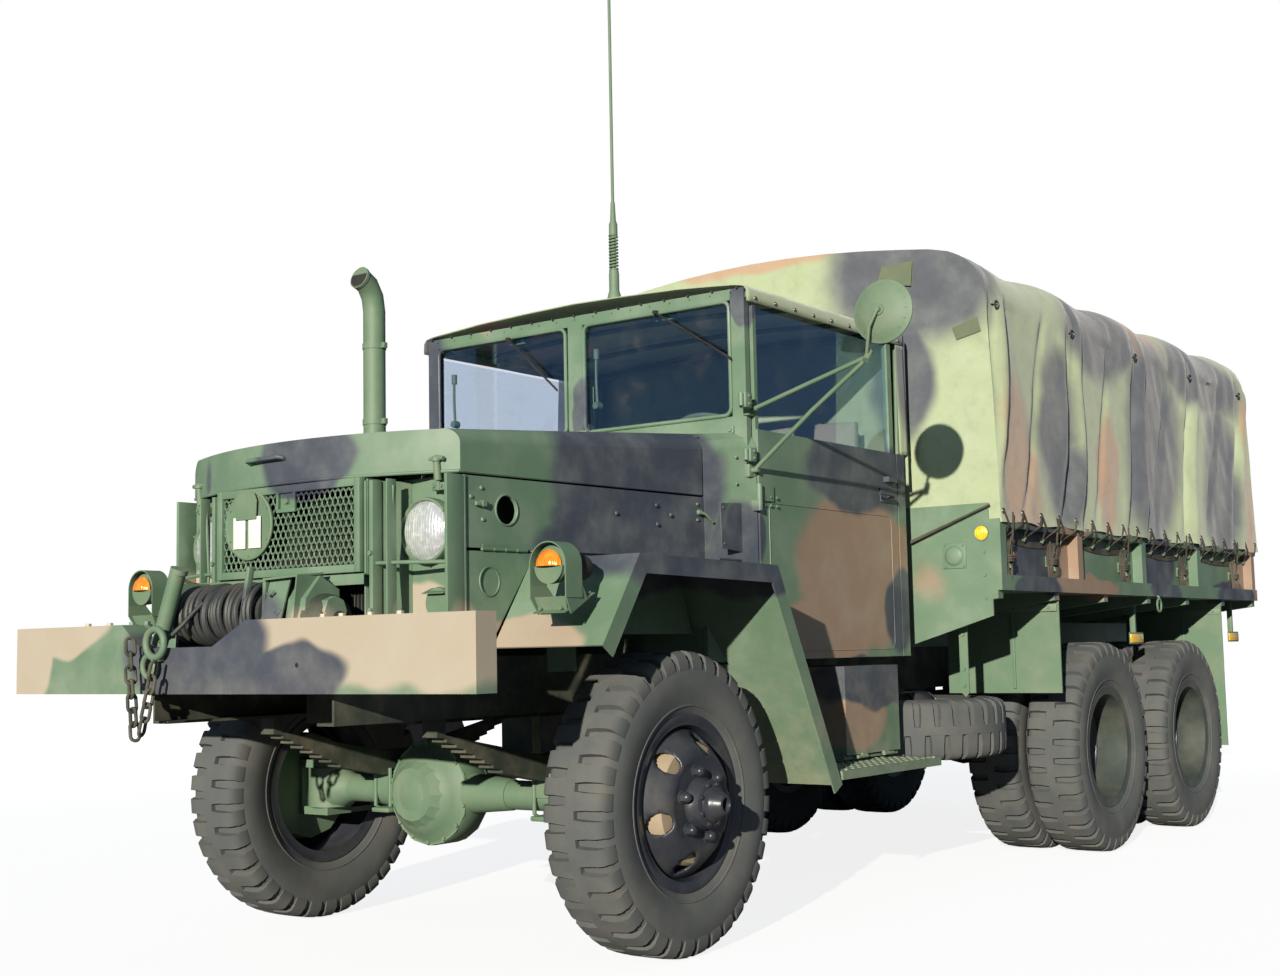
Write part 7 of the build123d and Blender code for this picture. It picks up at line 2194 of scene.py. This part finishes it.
    def tail(self) -> None:
        """Builds the blocks, loops and bolts on the tailgate."""
        gate = Shape("tailgate_trim", self.finishes.paint, Body.TAILGATE.value)
        for _ in both_sides(gate):
            gate.box((1.09, 5.741, 1.54), (1.14, 5.752, 1.59), 0.003)
            gate.tube([(1.115, 5.752, 1.575), (1.115, 5.77, 1.57), (1.115, 5.768, 1.5)], 0.007, 10)
            for x in (0.3, 0.8):
                for z in (1.36, 1.52):
                    gate.bolt((x, 5.741, z), (0, 1, 0), 0.008, 0.006)
        gate.finish()


@dataclass(frozen=True)
class Setting:
    """Floor, sky, sun and camera, taken from the picture.

    Attributes:
        camera_at: Where the camera stood.
        azimuth: Its heading from +Y towards -X, degrees.
        pitch: Its rise, degrees.
        roll: Its roll, degrees.
        lens: Its lens on a sensor 36 mm wide.
        sun: Direction that the sunlight travels.
        sun_power: Its strength.
        sun_colour: Its colour.
        sky_power: Strength of the sky's fill.
        sky_colour: Its colour.
        floor_dull: The floor's colour in reflections.
        floor_lit: The floor's lightness where it is shown lit.
        floor_glow: Strength of its own white.
    """

    camera_at: Point = (4.108, -4.516, 1.007)
    azimuth: float = 36.294
    pitch: float = 5.671
    roll: float = -1.142
    lens: float = 46.143
    sun: Point = (-0.312, 0.92, -0.238)
    sun_power: float = 6.2
    sun_colour: Colour = (1.0, 0.93, 0.82)
    sky_power: float = 0.27
    sky_colour: Colour = (0.5, 0.7, 1.0)
    floor_dull: Colour = (0.26, 0.25, 0.24)
    floor_lit: float = 0.86
    floor_glow: float = 1.12

    def build(self) -> None:
        """Builds the floor, the light and the camera."""
        bpy.context.scene.view_settings.view_transform = "Standard"
        self.floor()
        self.sky()
        self.light()
        self.camera()

    def floor(self) -> None:
        """Adds a white floor under the wheels."""
        graph = Graph("white_floor")
        dull = graph.node("ShaderNodeBsdfDiffuse", {"Color": (*self.floor_dull, 1.0)})
        lit = graph.node("ShaderNodeBsdfDiffuse", {"Color": (*[self.floor_lit] * 3, 1.0)})
        white = graph.node("ShaderNodeEmission", {"Color": (1.0, 1.0, 1.0, 1.0), "Strength": self.floor_glow})
        near = graph.vector("LENGTH", graph.vector("ADD", graph.place(), (0.0, -2.3, 0.0)))
        shown = graph.blend(graph.ramp(near, 4.5, 14.0, (0.76, 1.0)), lit, white)
        seen = Socket(graph, graph.node("ShaderNodeLightPath").outputs["Is Camera Ray"])
        graph.end(graph.blend(seen, dull, shown))
        mesh = bmesh.new()
        corners = [mesh.verts.new((x, y, 0.0)) for x, y in ((-60, -60), (60, -60), (60, 60), (-60, 60))]
        mesh.faces.new(corners)
        data = bpy.data.meshes.new("floor")
        mesh.to_mesh(data)
        mesh.free()
        data.materials.append(graph.material)
        floor = bpy.data.objects.new("floor", data)
        bpy.context.scene.collection.objects.link(floor)

    def sky(self) -> None:
        """Adds a pale blue sky for light, shown white behind the truck."""
        world = bpy.data.worlds.new("sky")
        bpy.context.scene.world = world
        world.use_nodes = True
        tree = world.node_tree
        tree.nodes.clear()
        paths = tree.nodes.new("ShaderNodeLightPath")
        fill = tree.nodes.new("ShaderNodeBackground")
        fill.inputs["Color"].default_value = (*self.sky_colour, 1.0)
        fill.inputs["Strength"].default_value = self.sky_power
        white = tree.nodes.new("ShaderNodeBackground")
        white.inputs["Color"].default_value = (1.0, 1.0, 1.0, 1.0)
        blend = tree.nodes.new("ShaderNodeMixShader")
        output = tree.nodes.new("ShaderNodeOutputWorld")
        tree.links.new(paths.outputs["Is Camera Ray"], blend.inputs[0])
        tree.links.new(fill.outputs[0], blend.inputs[1])
        tree.links.new(white.outputs[0], blend.inputs[2])
        tree.links.new(blend.outputs[0], output.inputs["Surface"])

    def light(self) -> None:
        """Adds the low sun."""
        lamp = bpy.data.lights.new("sun", "SUN")
        lamp.energy = self.sun_power
        lamp.angle = radians(0.6)
        lamp.color = self.sun_colour
        sun = bpy.data.objects.new("sun", lamp)
        sun.rotation_euler = Vector(self.sun).to_track_quat("-Z", "Y").to_euler()
        sun.location = (4.0, -10.0, 4.0)
        bpy.context.scene.collection.objects.link(sun)

    def camera(self) -> None:
        """Adds the camera at the picture's viewpoint."""
        az, el, roll = (radians(value) for value in (self.azimuth, self.pitch, self.roll))
        forward = Vector((-sin(az) * cos(el), cos(az) * cos(el), sin(el)))
        level = Vector((cos(az), sin(az), 0.0))
        up = level.cross(forward)
        right = cos(roll) * level + sin(roll) * up
        top = -sin(roll) * level + cos(roll) * up
        matrix = Matrix((right, top, -forward)).transposed().to_4x4()
        matrix.translation = self.camera_at
        data = bpy.data.cameras.new("camera")
        data.sensor_width = 36.0
        data.lens = self.lens
        data.clip_end = 200.0
        camera = bpy.data.objects.new("camera", data)
        camera.matrix_world = matrix
        bpy.context.scene.collection.objects.link(camera)
        bpy.context.scene.camera = camera


@dataclass
class Dress:
    """Gives each CAD piece its finish."""

    finishes: Finishes

    def build(self) -> None:
        """Sets the materials."""
        f = self.finishes
        finish_of = {
            f.drab: (
                "front_axle", "knuckle_left", "knuckle_right", "mud_flaps", "tow_chain", "tow_hook",
                "antenna"),
            # the parts under the body take the darker green: painted shade
            f.under: (
                "frame_rails", "engine_block", "drive_line", "rear_axles", "leaf_springs", "radiator",
                "pintle_hook", "fuel_tank", "battery_box"),
            f.glass: ("windshield_glass", "door_glass_left", "door_glass_right"),
            f.wood: ("side_racks", "tarp_bows"), f.dark: ("steering_wheel",),
            f.canvas: ("tarp", "cab_roof"), f.seat: ("seats",), f.rope: ("winch_rope",)}
        chosen = {name: material for material, names in finish_of.items() for name in names}
        for name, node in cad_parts.items():
            material = chosen.get(name, f.rubber if "tyre" in name else f.paint)
            node.data.materials.clear()
            node.data.materials.append(material)


def main() -> None:
    """Builds the truck's finishes, soft pieces, trim and setting in order."""
    logging.basicConfig(level=logging.INFO, format="%(message)s")
    finishes = Finishes.make()
    for assembly in (
        Dress(finishes), Wheels(finishes), Tarp(finishes), CabCanvas(finishes), Seats(finishes),
        Winch(finishes), Nose(finishes), Signals(finishes), Front(finishes), CabTrim(finishes),
        BedTrim(finishes), Setting()
    ):
        assembly.build()


if __name__ == "__main__":
    main()
